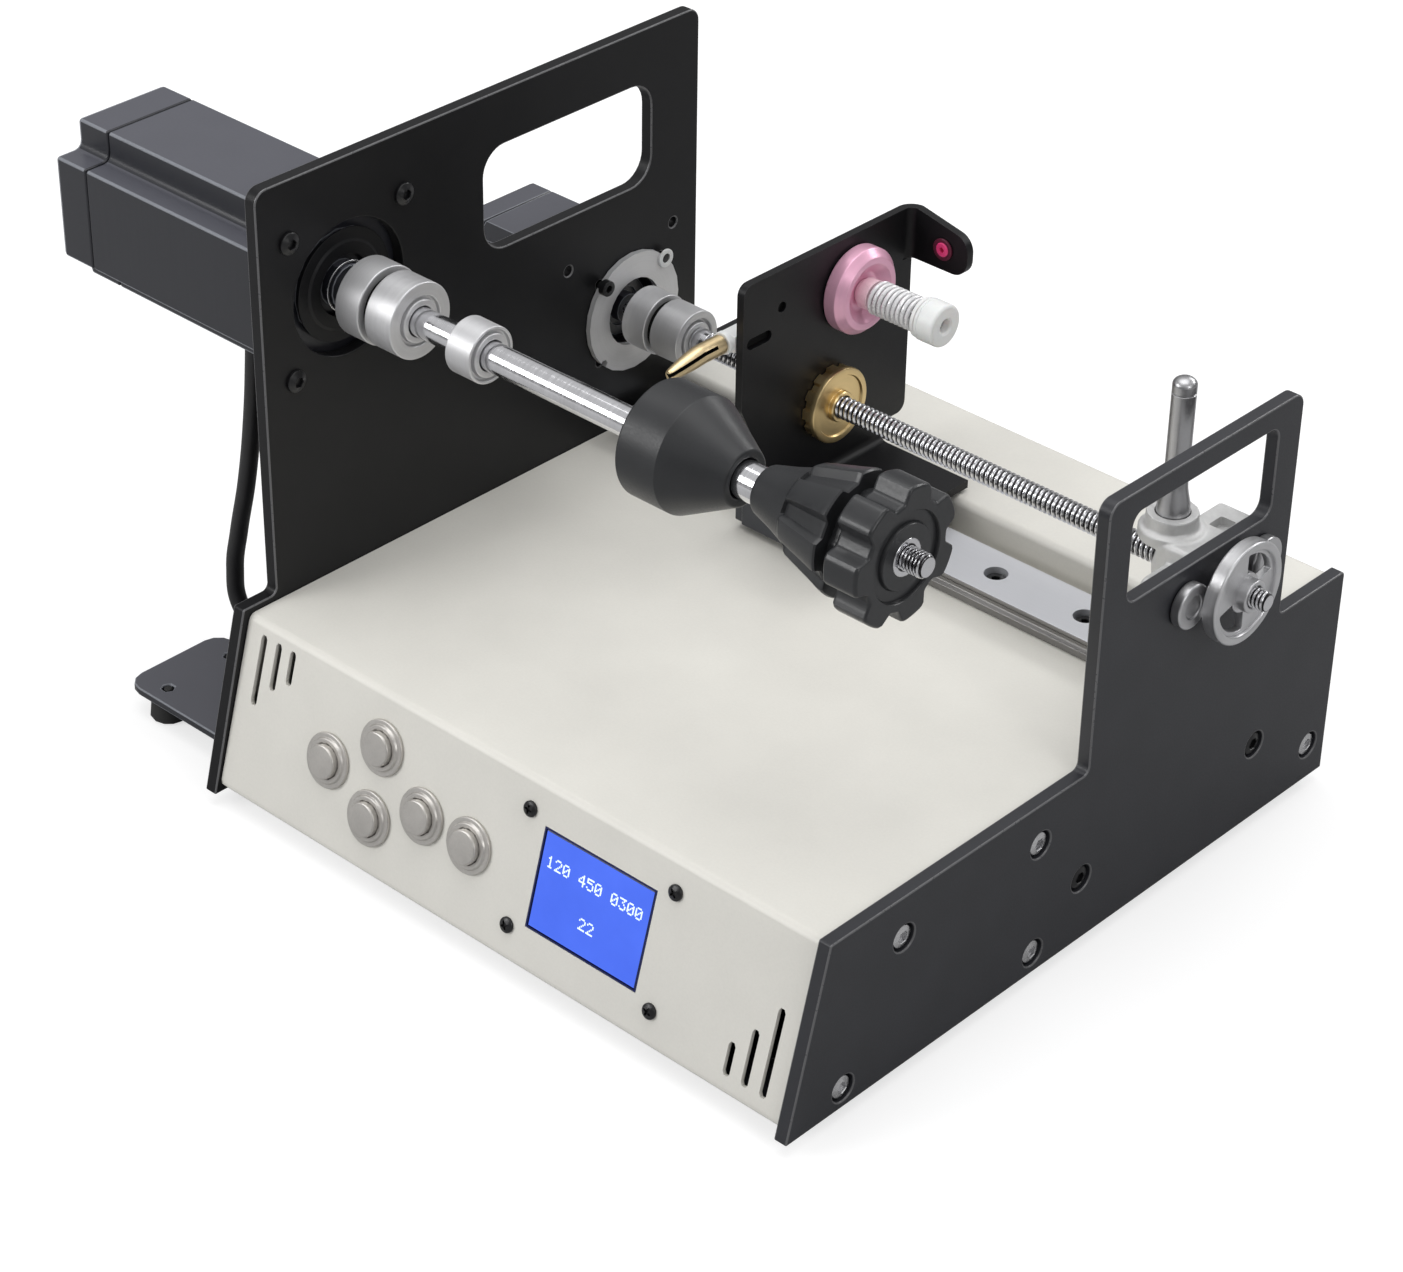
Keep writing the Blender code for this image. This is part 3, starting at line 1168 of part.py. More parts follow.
POST_PLACE = (BASE_WIDTH - BOSS_REACH, SCREW_Y)


def block_bolt_places():
    z = SCREW_Z + BLOCK_BOLT_RISE
    return [(SCREW_Y - BLOCK_BOLT_HALF_PITCH, z), (SCREW_Y + BLOCK_BOLT_HALF_PITCH, z)]


def end_block():
    """A cast pillow block with a stepped boss for the post and a seat for the bearing"""
    face, low = BLOCK_FACE, BLOCK_FACE - BLOCK_THICK
    near, far = SCREW_Y - BLOCK_HALF, SCREW_Y + BLOCK_HALF
    bottom, top, corner = SCREW_Z - BLOCK_DROP, SCREW_Z + BLOCK_RISE, BLOCK_CORNER
    outline = rounded([(near, bottom, corner), (near, top, corner / 3),
                       (far, top, corner / 3), (far, bottom, corner)])
    body = add("end_block", prism([outline], low, face), "cast_aluminium")
    under, shoulder, crown = [SCREW_Z + level for level in BOSS_LEVELS]
    big, small = BOSS_RADII
    profile = [(under, 0), (under, big), (shoulder - EDGE, big), (shoulder, big - EDGE), (shoulder, small),
               (crown - EDGE, small), (crown, small - EDGE), (crown, 0)]
    join(body, turned(profile, MIDDLE, POST_PLACE, "Z"))
    seat = face - BEARING_WIDTH - GAP
    way, nest = SCREW + GAP + GAP, BEARING + GAP
    wide, deep, sunk = POCKET
    corner_x, corner_y = face - POCKET_INSET, SCREW_Y + BOSS_RADII[1] + POCKET_INSET + wide
    foot = SCREW_Z + POST_FOOT - GAP
    through = [(low - OVERRUN, 0), (low - OVERRUN, way), (seat, way), (seat, nest), (face + OVERRUN, nest),
               (face + OVERRUN, 0)]
    cuts = [turned(through, MIDDLE, (SCREW_Y, SCREW_Z)),
            rod(foot, crown + OVERRUN, POST_FLARE + GAP, POST_PLACE, SMALL, "Z"),
            block((corner_x - wide, corner_y - deep, top - sunk), (corner_x, corner_y, top + OVERRUN))]
    cuts += [rod(face - THREAD_DEPTH - GAP, face + OVERRUN, BLOCK_BOLT + GAP, where)
             for where in block_bolt_places()]
    cut(body, *cuts)


def end_bearing():
    """A ball bearing in the end block, its two races joined behind a shallow groove"""
    high = BLOCK_FACE - GAP
    low = high - BEARING_WIDTH + GAP
    inner = JOURNAL + GAP
    third = (BEARING - inner) / 3
    profile = [(low, inner), (low, BEARING), (high, BEARING), (high, BEARING - third),
               (high - BEARING_GROOVE, BEARING - third), (high - BEARING_GROOVE, inner + third),
               (high, inner + third), (high, inner)]
    add("end_bearing", turned(profile, MIDDLE, (SCREW_Y, SCREW_Z)), "polished_steel")


def end_block_bolts():
    outer = BASE_WIDTH + SIDE_PLATE + GAP
    top = outer + BOLT_HEAD_HEIGHT
    tip = BLOCK_FACE - THREAD_DEPTH
    dish = BOLT_HEAD / 2
    profile = [(tip, 0), (tip, BLOCK_BOLT), (outer, BLOCK_BOLT), (outer, BOLT_HEAD), (top - EDGE, BOLT_HEAD),
               (top, BOLT_HEAD - EDGE), (top, dish), (top - EDGE, dish - EDGE), (top - EDGE, 0)]
    for number, where in enumerate(block_bolt_places(), 1):
        add(f"end_block_bolt_{number}", turned(profile, SMALL, where), "polished_steel")


def guide_post():
    """An upright post with a flared foot in the boss and a domed cap over a seam"""
    foot, crown = SCREW_Z + POST_FOOT, SCREW_Z + BOSS_LEVELS[2]
    top = crown + POST_HEIGHT
    seam = top - POST_SEAM
    profile = [(foot, 0), (foot, POST_FLARE), (crown, POST_FLARE), (crown + POST_TAPER, POST), (seam, POST),
               (seam + EDGE / 2, POST - EDGE / 2), (seam + EDGE, POST)]
    for k in range(ARC):
        angle = math.pi / 2 * k / ARC
        profile.append((top - POST_DOME + POST_DOME * math.sin(angle), POST * math.cos(angle)))
    add("guide_post", turned(profile + [(top, 0)], SMALL, POST_PLACE, "Z"), "polished_steel")


# Carriage: block on the rail, bent bracket and lead-screw nut

CARRIAGE_BLOCK_X = (-0.0130, 0.0430)
CARRIAGE_BLOCK_FRONT = 0.0300
CARRIAGE_BLOCK_TOP = 0.0835
CARRIAGE_BLOCK_LOW = 0.0715
CARRIAGE_CAP = 0.0035
CARRIAGE_CAP_INSET = 0.0006
CARRIAGE_CORNER = 0.0016
STEP_CLEAR = 0.0010
BRACKET_SHEET = 0.0030
BRACKET_BEND = 0.0030
BRACKET_RISE = 0.0595
BRACKET_FRONT = 0.0440
BRACKET_NOTCH_RISE = 0.0130
BRACKET_KNEE = (0.0350, 0.0055)
BRACKET_BACK = 0.0430
BRACKET_FOOT = (0.0290, 0.0290)
BRACKET_CORNER = 0.0040
HORN_LOW = 0.0405
HORN_TIP = (0.0300, 0.0420, 0.0505)
HORN_ROUND_SHARE = 0.46
RELIEF = 0.0006
EYELET_PLACE = (0.0180, 0.0485)
EYELET_HOLE = 0.0030
TENSION_PLACE = (0.0105, 0.0400)
TENSION_HOLE = 0.0023
NUT_SPIGOT = 0.0054
GUIDE_SLOT = (0.0400, 0.0320)
GUIDE_SLOT_RADIUS = 0.0021
GUIDE_RISE = 0.0373
BRACKET_SPARE = (-0.0250, 0.0455)
MERGE = 0.000001
CARRIAGE = "carriage_axis"
TENSION = (SCREW_Y + TENSION_PLACE[0], SCREW_Z + TENSION_PLACE[1])
BRACKET_FACE = CARRIAGE_X + BRACKET_SHEET


def carriage_block():
    """An inverted U astride the rail, with a thin scraper cap at each end"""
    def section(inset):
        near, far = RAIL_Y - CARRIAGE_BLOCK_FRONT + inset, STEP_Y - STEP_CLEAR - inset
        low, top = CARRIAGE_BLOCK_LOW + inset, CARRIAGE_BLOCK_TOP - GAP - inset
        half, roof = RAIL_HALF + GAP, RAIL_TOP + GAP
        return rounded([(near, low, 0), (near, top, CARRIAGE_CORNER),
                        (far, top, CARRIAGE_CORNER), (far, low, 0),
                        (RAIL_Y + half, low, 0), (RAIL_Y + half, roof, 0), (RAIL_Y - half, roof, 0),
                        (RAIL_Y - half, low, 0)], 2)
    low, high = [CARRIAGE_X + reach for reach in CARRIAGE_BLOCK_X]
    body, cap = section(0), section(CARRIAGE_CAP_INSET)
    sections = [(low, cap), (low + CARRIAGE_CAP, cap), (low + CARRIAGE_CAP, body),
                (high - CARRIAGE_CAP, body), (high - CARRIAGE_CAP, cap), (high, cap)]
    joint_axis(CARRIAGE, (CARRIAGE_X, RAIL_Y, CARRIAGE_BLOCK_TOP))
    add("carriage_block", lofted(sections), "black_plastic", CARRIAGE)


def bend_strip(bm, ends, pivot, radius, turn):
    """A bend of the sheet's middle surface, turned about a pivot out of the upright"""
    rows = []
    for k in range(ARC + 1):
        a, b = polar(radius, math.pi + turn * k / ARC, pivot)
        rows.append([bm.verts.new(end(a, b)) for end in ends])
    for (p, q), (r, t) in zip(rows, rows[1:]):
        bm.faces.new((p, q, t, r))


def carriage_bracket():
    """One sheet: an upright plate, a foot bent over the block and a horn bent at its back"""
    middle = BRACKET_SHEET / 2
    wall = CARRIAGE_X + middle
    radius = BRACKET_BEND + middle
    near, far = SCREW_Y - BRACKET_FOOT[0], SCREW_Y + BRACKET_FOOT[1]
    floor = CARRIAGE_BLOCK_TOP + middle
    sill = floor + radius
    top = SCREW_Z + BRACKET_RISE
    front, rear = SCREW_Y - BRACKET_FRONT, SCREW_Y + BRACKET_BACK - middle
    crease, horn = rear - radius, SCREW_Z + HORN_LOW
    knee = (SCREW_Y - BRACKET_KNEE[0], SCREW_Z - BRACKET_KNEE[1], BRACKET_CORNER)
    upright = rounded([
        (near, sill, 0), knee, (front, SCREW_Z + BRACKET_NOTCH_RISE, BRACKET_CORNER),
        (front, top, BRACKET_CORNER),
        (crease, top, 0), (crease, horn, 0), (crease, horn - RELIEF, 0), (rear, horn - RELIEF, 0),
        (rear, sill + BRACKET_CORNER, BRACKET_CORNER), (far, sill + BRACKET_CORNER, 0), (far, sill, 0)])
    slide = SCREW_Z + GUIDE_RISE
    holes = [circle(NUT_SPIGOT + GAP, (SCREW_Y, SCREW_Z), MIDDLE), circle(TENSION_HOLE, TENSION),
             circle(SPARE_HOLE, (SCREW_Y + BRACKET_SPARE[0], SCREW_Z + BRACKET_SPARE[1])),
             slot((SCREW_Y - GUIDE_SLOT[0], slide), (SCREW_Y - GUIDE_SLOT[1], slide), GUIDE_SLOT_RADIUS)]
    sheet = bmesh.new()
    fill(sheet, [upright] + holes, wall, "X")
    pivot = wall + radius
    ends = [lambda a, b: (a, near, b), lambda a, b: (a, far, b)]
    bend_strip(sheet, ends, (pivot, sill), radius, math.pi / 2)
    end = CARRIAGE_X + CARRIAGE_BLOCK_X[1]
    fill(sheet, [rectangle((pivot, near), (end, far))], floor, "Z")
    ends = [lambda a, b: (a, b, horn), lambda a, b: (a, b, top)]
    bend_strip(sheet, ends, (pivot, crease), radius, -math.pi / 2)
    tip, tip_low, tip_high = HORN_TIP
    blunt = (tip_high - tip_low) * HORN_ROUND_SHARE
    arm = rounded([(pivot, horn, 0), (CARRIAGE_X + tip, SCREW_Z + tip_low, blunt),
                   (CARRIAGE_X + tip, SCREW_Z + tip_high, blunt), (pivot, top, 0)])
    eye = circle(EYELET_HOLE, (CARRIAGE_X + EYELET_PLACE[0], SCREW_Z + EYELET_PLACE[1]), SMALL)
    fill(sheet, [arm, eye], rear, "Y")
    bmesh.ops.remove_doubles(sheet, verts=sheet.verts, dist=MERGE)
    bracket = add("carriage_bracket", outward(sheet), "black_anodised", CARRIAGE)
    thicken = bracket.modifiers.new("thicken", "SOLIDIFY")
    thicken.thickness = BRACKET_SHEET
    thicken.offset = 0
    thicken.use_even_offset = True


NUT = 0.0138
NUT_LAND = 0.0134
NUT_VALLEY = 0.0124
NUT_NOTCHES = 12
NUT_FLANGE = 0.0055
NUT_LIP = 0.0022
NUT_COLLAR = 0.0070
NUT_COLLAR_LENGTH = 0.0030
NUT_BACK = 0.0060


def traverse_nut():
    """A brass flanged nut, notched behind its lip, on a spigot through the bracket"""
    centre = (SCREW_Y, SCREW_Z)
    low = BRACKET_FACE + GAP
    high = low + NUT_FLANGE
    lip = high - NUT_LIP
    around_rim = NUT_NOTCHES * 4
    notched = ring_outline([NUT_LAND, NUT_LAND, NUT_VALLEY, NUT_VALLEY] * NUT_NOTCHES, 0, centre)
    spigot, plain, face, collar = [circle(radius, centre, around_rim)
                                   for radius in (NUT_SPIGOT, NUT, NUT - EDGE, NUT_COLLAR)]
    back, end = CARRIAGE_X - NUT_BACK, high + NUT_COLLAR_LENGTH
    sections = [(back, spigot), (low, spigot), (low, notched), (lip, notched), (lip, plain),
                (high - EDGE, plain), (high, face), (high, collar), (end, collar)]
    bore = circle(SCREW + GAP, centre, MIDDLE)
    add("traverse_nut", lofted(sections, bore=[(back, bore), (end, bore)]), "brass", CARRIAGE)


# Wire guide: a slit brass nozzle in a nylon bush that slides along the bracket's slot

GUIDE_INSET = 0.0058
GUIDE_ROOT = 0.0050
GUIDE_TIP = 0.0018
GUIDE_LENGTH = 0.0265
GUIDE_WAIST_SHARE = 0.38
GUIDE_DROP = 0.0030
GUIDE_SLIT = 0.0009
GUIDE_COLLAR = 0.0054
GUIDE_COLLAR_WIDTH = 0.0025
GUIDE_SHANK = (0.0150, 0.0045)
GUIDE_STUD = 0.0017
EYELET_LIP = 0.0009
EYELET_FLANGE = 0.0040
EYELET_BORE = 0.0010
GUIDE_CENTRE = (CARRIAGE_X - GUIDE_INSET, SCREW_Z + GUIDE_RISE)
GUIDE_SEAT = SCREW_Y - BRACKET_FRONT - GUIDE_COLLAR_WIDTH


def wire_guide():
    x, z = GUIDE_CENTRE
    axis = joint_axis("guide_axis", (x, GUIDE_SEAT, z), CARRIAGE)
    root = GUIDE_SEAT - GAP
    tip = root - GUIDE_LENGTH
    waist = root - GUIDE_LENGTH * GUIDE_WAIST_SHARE
    low = z - GUIDE_DROP
    sections = [(root, circle(GUIDE_ROOT, (x, z), SMALL)), (waist, circle(GUIDE_ROOT, (x, z), SMALL)),
                (tip + EDGE, circle(GUIDE_TIP, (x, low), SMALL)),
                (tip, circle(GUIDE_TIP - EDGE, (x, low), SMALL))]
    nozzle = add("wire_guide_tip", lofted(sections, "Y"), "brass", axis)
    slit = GUIDE_SLIT / 2
    cut(nozzle, block((x - slit, tip - OVERRUN, low), (x + slit, waist + GUIDE_ROOT, z + OVERRUN)))
    seat = GUIDE_SEAT + GUIDE_COLLAR_WIDTH
    bush = add("guide_bush", rod(GUIDE_SEAT, seat, GUIDE_COLLAR, (x, z), SMALL, "Y"), "white_nylon", axis)
    length, half = GUIDE_SHANK
    middle = SCREW_Y - (GUIDE_SLOT[0] + GUIDE_SLOT[1]) / 2
    join(bush, block((x - half, seat - EDGE, z - half), (CARRIAGE_X - GAP, seat + length, z + half)))
    join(bush, rod(CARRIAGE_X - GAP - EDGE, BRACKET_FACE - EDGE, GUIDE_STUD, (middle, z), TINY))


def wire_eyelet():
    """A ruby-coloured bush through the horn, with a lip on each side"""
    rear = SCREW_Y + BRACKET_BACK
    front = rear - BRACKET_SHEET
    neck, lip = EYELET_HOLE - GAP, EYELET_FLANGE
    low, high = front - GAP - EYELET_LIP, rear + GAP + EYELET_LIP
    profile = [(low, EYELET_BORE), (low, lip - EDGE / 2), (low + EDGE / 2, lip), (front - GAP, lip),
               (front - GAP, neck), (rear + GAP, neck), (rear + GAP, lip), (high, lip), (high, EYELET_BORE)]
    centre = (CARRIAGE_X + EYELET_PLACE[0], SCREW_Z + EYELET_PLACE[1])
    add("wire_eyelet", turned(profile, SMALL, centre, "Y"), "ruby", CARRIAGE)


# Wire tensioner: post, disc, spring, washer and knob

DISC = 0.0155
DISC_WEB = 0.0040
DISC_WIDTH = 0.0080
DISC_CHAMFER = 0.0020
DISC_RECESS = (0.0110, 0.0085)
POST_SHANK = 0.0020
POST_HUB = 0.0055
POST_HUB_LENGTH = 0.0061
POST_NUT = 0.0042
POST_NUT_HEIGHT = 0.0031
SPRING_LENGTH = 0.0199
SPRING_RADIUS = 0.0054
SPRING_WIRE = 0.0005
SPRING_COILS = 9
SPRING_POINTS = 8
WASHER = 0.0072
WASHER_THICK = 0.0015
KNOB = 0.0076
KNOB_LENGTH = 0.0083
KNOB_RECESS = 0.0012
KNOB_EYE = 0.0030
DISC_LOW = BRACKET_FACE + GAP
HUB_LOW = DISC_LOW + DISC_WEB + GAP
SPRING_LOW = HUB_LOW + POST_HUB_LENGTH + GAP
WASHER_LOW = SPRING_LOW + SPRING_LENGTH + GAP
KNOB_LOW = WASHER_LOW + WASHER_THICK + GAP


def tension_post():
    """A stud fixed through the bracket by a nut, with a hub that the spring rests on"""
    back = CARRIAGE_X - GAP
    end = KNOB_LOW + KNOB_LENGTH - KNOB_RECESS
    hub = HUB_LOW + POST_HUB_LENGTH
    low = back - POST_NUT_HEIGHT - EDGE
    profile = [(low, 0), (low, POST_SHANK), (HUB_LOW, POST_SHANK), (HUB_LOW, POST_HUB),
               (hub - EDGE, POST_HUB), (hub, POST_HUB - EDGE), (hub, POST_SHANK), (end, POST_SHANK),
               (end, 0)]
    post = add("tension_post", turned(profile, SMALL, TENSION), "white_nylon", CARRIAGE)
    join(post, prism([circle(POST_NUT, TENSION, 6)], back - POST_NUT_HEIGHT, back))


def tension_disc():
    """A disc that the wire runs round, chamfered and dished on its outer face"""
    axis = joint_axis("tension_disc_axis", (DISC_LOW, *TENSION), CARRIAGE)
    high, floor = DISC_LOW + DISC_WIDTH, DISC_LOW + DISC_WEB
    bore = POST_SHANK + GAP
    mouth, bottom = DISC_RECESS
    profile = [(DISC_LOW, bore), (DISC_LOW, DISC - EDGE), (DISC_LOW + EDGE, DISC),
               (high - DISC_CHAMFER, DISC), (high, DISC - DISC_CHAMFER), (high, mouth),
               (high - EDGE, mouth - EDGE), (floor, bottom), (floor, bore)]
    add("tension_disc", turned(profile, ROUND, TENSION), "rose_anodised", axis)


def tension_spring():
    """An open coil spring between the hub and the washer, as one tube along a helix"""
    low, length = SPRING_LOW + SPRING_WIRE, SPRING_LENGTH - 2 * SPRING_WIRE
    count = SPRING_COILS * SPRING_POINTS
    route = []
    for i in range(count + 1):
        a, b = polar(SPRING_RADIUS, math.tau * i / SPRING_POINTS, TENSION)
        route.append(Vector((low + length * i / count, a, b)))
    apart = [(p - q).length for i, p in enumerate(route) for q in route[i + SPRING_POINTS // 2:]]
    print(f"tension spring, least gap to itself {(min(apart) - 2 * SPRING_WIRE) * 1000:.2f} mm")
    add("tension_spring", wire("tension_spring", route, SPRING_WIRE, 1), "white_nylon", CARRIAGE)


def tension_knob():
    """The washer that presses the spring and the knob that screws down on it"""
    washer_axis = joint_axis("washer_axis", (WASHER_LOW, *TENSION), CARRIAGE)
    bore = POST_SHANK + GAP
    ring = tube(WASHER_LOW, WASHER_LOW + WASHER_THICK, WASHER, bore, TENSION, MIDDLE)
    add("spring_washer", ring, "white_nylon", washer_axis)
    axis = joint_axis("tension_knob_axis", (KNOB_LOW, *TENSION), "washer_axis")
    high = KNOB_LOW + KNOB_LENGTH
    profile = [(KNOB_LOW, bore), (KNOB_LOW, KNOB - EDGE), (KNOB_LOW + EDGE, KNOB), (high - EDGE, KNOB),
               (high, KNOB - EDGE), (high, KNOB_EYE), (high - EDGE, bore)]
    add("tension_knob", turned(profile, MIDDLE, TENSION), "white_nylon", axis)


def build():
    for item in list(bpy.data.objects):
        bpy.data.objects.remove(item)
    base_cover()
    rear_panel()
    bottom_plate()
    left_side_plate()
    right_side_plate()
    outrigger_plate()
    rubber_feet()
    power_inlet()
    switch_rocker()
    button_switches()
    button_caps()
    display()
    control_board()
    power_supply()
    spindle()
    clamp_cone()
    star_knob()
    lead_screw()
    spindle_motor()
    traverse_motor()
    traverse_flange_ring()
    motor_cables()
    linear_rail()
    end_block()
    end_bearing()
    end_block_bolts()
    guide_post()
    carriage_block()
    carriage_bracket()
    traverse_nut()
    wire_guide()
    wire_eyelet()
    tension_post()
    tension_disc()
    tension_spring()
    tension_knob()


build()
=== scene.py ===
# %% [markdown]
# A benchtop wire coil winder. A stepper motor turns the spindle that holds a bobbin between
# two cones, and a lead screw moves a carriage that lays the wire. The engineering model gives
# every place. This script builds the fine surface of each piece round it, one cell at a time.

# %% Load the machine and keep its size
import json
import math

import bmesh
import bpy
from mathutils import Matrix, Vector

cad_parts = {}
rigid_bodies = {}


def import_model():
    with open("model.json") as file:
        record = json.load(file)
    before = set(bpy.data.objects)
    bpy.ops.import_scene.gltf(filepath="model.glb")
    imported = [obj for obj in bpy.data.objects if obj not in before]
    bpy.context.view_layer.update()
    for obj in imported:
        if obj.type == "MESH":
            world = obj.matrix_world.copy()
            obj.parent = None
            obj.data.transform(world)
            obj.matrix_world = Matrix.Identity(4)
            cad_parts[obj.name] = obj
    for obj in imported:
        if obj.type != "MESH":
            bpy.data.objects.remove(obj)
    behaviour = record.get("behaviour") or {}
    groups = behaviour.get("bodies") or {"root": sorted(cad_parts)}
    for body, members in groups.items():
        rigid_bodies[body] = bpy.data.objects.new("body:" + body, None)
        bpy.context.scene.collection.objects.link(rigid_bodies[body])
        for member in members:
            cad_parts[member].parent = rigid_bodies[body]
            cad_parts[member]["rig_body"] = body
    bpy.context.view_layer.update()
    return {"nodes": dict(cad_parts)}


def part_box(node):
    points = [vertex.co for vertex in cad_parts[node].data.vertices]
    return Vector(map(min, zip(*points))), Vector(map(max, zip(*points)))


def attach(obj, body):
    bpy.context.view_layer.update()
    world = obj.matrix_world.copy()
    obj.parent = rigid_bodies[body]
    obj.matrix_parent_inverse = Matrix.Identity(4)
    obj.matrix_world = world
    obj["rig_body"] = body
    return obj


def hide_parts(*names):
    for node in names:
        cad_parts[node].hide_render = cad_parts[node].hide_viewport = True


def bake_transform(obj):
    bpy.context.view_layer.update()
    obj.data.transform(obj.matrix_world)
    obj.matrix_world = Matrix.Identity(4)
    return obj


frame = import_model()

# %% [markdown]
# Places are easiest to read from the bench: x = 0 is the inner face of the left plate, y = 0
# the lower edge of the front panel and z = 0 the table. The left plate's box says where that
# point lies in the model, and the boxes of other pieces give their axes and ends.

# %% Bench places read from the machine
PLATE_LEAD = 0.0019
plate_low, plate_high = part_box("left_side_plate")
BENCH = Vector((plate_high.x, plate_low.y + PLATE_LEAD, 0))


def span(node, axis=0):
    """Where a piece starts and ends along an axis, in bench places"""
    low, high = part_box(node)
    return (low - BENCH)[axis], (high - BENCH)[axis]


def middle(node):
    """The two coordinates of a piece's line along X"""
    low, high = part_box(node)
    centre = (low + high) / 2 - BENCH
    return centre.y, centre.z


SPINDLE = middle("spindle_coupling")
SCREW = middle("traverse_coupling")
TENSION = middle("tension_disc")
BASE_WIDTH = span("right_side_plate")[0]
SIDE_PLATE = -span("left_side_plate")[0]
print("spindle, lead screw and tensioner lines:", SPINDLE, SCREW, TENSION)

# %% [markdown]
# The photograph was taken with a long lens from the right front and above. Its focal length
# and place came from the edges of the base and the two shafts, so the frame needs no shift.

# %% Camera
PICTURE = (1403, 1272)
FOCAL_PIXELS = 3732.1
SENSOR = 36.0
CAMERA_PLACE = Vector((0.73325, -0.78455, 0.7440))
CAMERA_AZIMUTH, CAMERA_ELEVATION, CAMERA_ROLL = [math.radians(turn) for turn in (42.58, 33.17, 0.89)]


def linked(name, data):
    """A new object in the scene"""
    made = bpy.data.objects.new(name, data)
    bpy.context.scene.collection.objects.link(made)
    return made


camera_data = bpy.data.cameras.new("camera")
camera_data.sensor_width = SENSOR
camera_data.lens = FOCAL_PIXELS * SENSOR / max(PICTURE)
camera_data.clip_start, camera_data.clip_end = 0.05, 20
camera = linked("camera", camera_data)
aimed = Matrix.Rotation(CAMERA_AZIMUTH, 4, "Z") @ Matrix.Rotation(math.pi / 2 - CAMERA_ELEVATION, 4, "X")
camera.matrix_world = Matrix.Translation(CAMERA_PLACE) @ aimed @ Matrix.Rotation(CAMERA_ROLL, 4, "Z")
bpy.context.scene.camera = camera
bpy.context.scene.view_settings.view_transform = "Standard"
print("lens in mm:", round(camera_data.lens, 2))

# %% [markdown]
# Node trees for materials and for Geometry Nodes are built the same way: add a node, set it
# up, and feed its inputs from other nodes or with plain values. One helper does all three.

# %% Node helpers


def step(tree, kind, inputs=(), **settings):
    """Add a node, set it up, and feed its inputs from sockets or plain values"""
    made = tree.nodes.new(kind)
    for name, value in settings.items():
        setattr(made, name, value)
    for name, value in dict(inputs).items():
        if isinstance(value, bpy.types.NodeSocket):
            tree.links.new(value, made.inputs[name])
        else:
            made.inputs[name].default_value = value
    return made


def reckon(tree, operation, *values):
    """One sum in a shader or geometry tree, and its result"""
    return step(tree, "ShaderNodeMath", enumerate(values), operation=operation).outputs[0]


def cleared(owner):
    """The node tree of a material or a world, with nothing in it"""
    owner.use_nodes = True
    owner.node_tree.nodes.clear()
    return owner.node_tree


print("node helpers ready")

# %% [markdown]
# The floor is pale and plain. It is a matt surface that also glows a little for rays that
# come straight from the camera, so it looks near white and still keeps the machine's shadow.
# The sky is white for those rays too. For reflections it has a dark band near the horizon,
# which gives the turned metal its streaks.

# %% Floor and sky
FLOOR_HALF = 6.0
FLOOR_COLOUR, WHITE = (0.45, 0.45, 0.45, 1), (1, 1, 1, 1)
FLOOR_GLOW, SKY_STRENGTH, SKY_BLUE = 0.66, 0.80, 1.01

floor_data = bpy.data.meshes.new("studio_floor")
floor_corners = [(-FLOOR_HALF, -FLOOR_HALF, 0), (FLOOR_HALF, -FLOOR_HALF, 0),
                 (FLOOR_HALF, FLOOR_HALF, 0), (-FLOOR_HALF, FLOOR_HALF, 0)]
floor_data.from_pydata(floor_corners, [], [(0, 1, 2, 3)])
floor_object = linked("studio_floor", floor_data)

floor_paint = bpy.data.materials.new("studio_floor")
tree = cleared(floor_paint)
rays = step(tree, "ShaderNodeLightPath")
matt = step(tree, "ShaderNodeBsdfDiffuse", {"Color": FLOOR_COLOUR})
seen = reckon(tree, "MULTIPLY", rays.outputs["Is Camera Ray"], FLOOR_GLOW)
glow = step(tree, "ShaderNodeEmission", {"Color": WHITE, "Strength": seen})
both = step(tree, "ShaderNodeAddShader", {0: matt.outputs[0], 1: glow.outputs[0]})
step(tree, "ShaderNodeOutputMaterial", {"Surface": both.outputs[0]})
floor_data.materials.append(floor_paint)

world = bpy.data.worlds.new("studio")
bpy.context.scene.world = world
tree = cleared(world)
rays = step(tree, "ShaderNodeLightPath")
upward = step(tree, "ShaderNodeSeparateXYZ", {0: step(tree, "ShaderNodeTexCoord").outputs["Generated"]})
sky = step(tree, "ShaderNodeValToRGB", {"Fac": upward.outputs["Z"]})
SKY_BANDS = [(0.00, 0.60), (0.10, 0.16), (0.30, 0.20), (0.45, 0.72), (0.80, 0.78), (1.00, 0.62)]
for number, (height, level) in enumerate(SKY_BANDS):
    stop = sky.color_ramp.elements[number] if number < 2 else sky.color_ramp.elements.new(height)
    stop.position = height
    stop.color = (level, level, level * SKY_BLUE, 1)
studio = step(tree, "ShaderNodeBackground", {"Color": sky.outputs[0], "Strength": SKY_STRENGTH})
white = step(tree, "ShaderNodeBackground", {"Color": WHITE, "Strength": 1.0})
straight = [rays.outputs[kind] for kind in ("Is Camera Ray", "Is Transmission Ray")]
straight = reckon(tree, "MAXIMUM", *straight)
mixed = step(tree, "ShaderNodeMixShader", {0: straight, 1: studio.outputs[0], 2: white.outputs[0]})
step(tree, "ShaderNodeOutputWorld", {"Surface": mixed.outputs[0]})
print("sky bands:", len(SKY_BANDS))

# %% [markdown]
# Four large soft lamps: one above, one low from the front left, one from the right, and a
# narrow one behind that draws a bright line along the shafts.

# %% Lamps
LAMP_AIM = Vector((0, 0, 0.1))


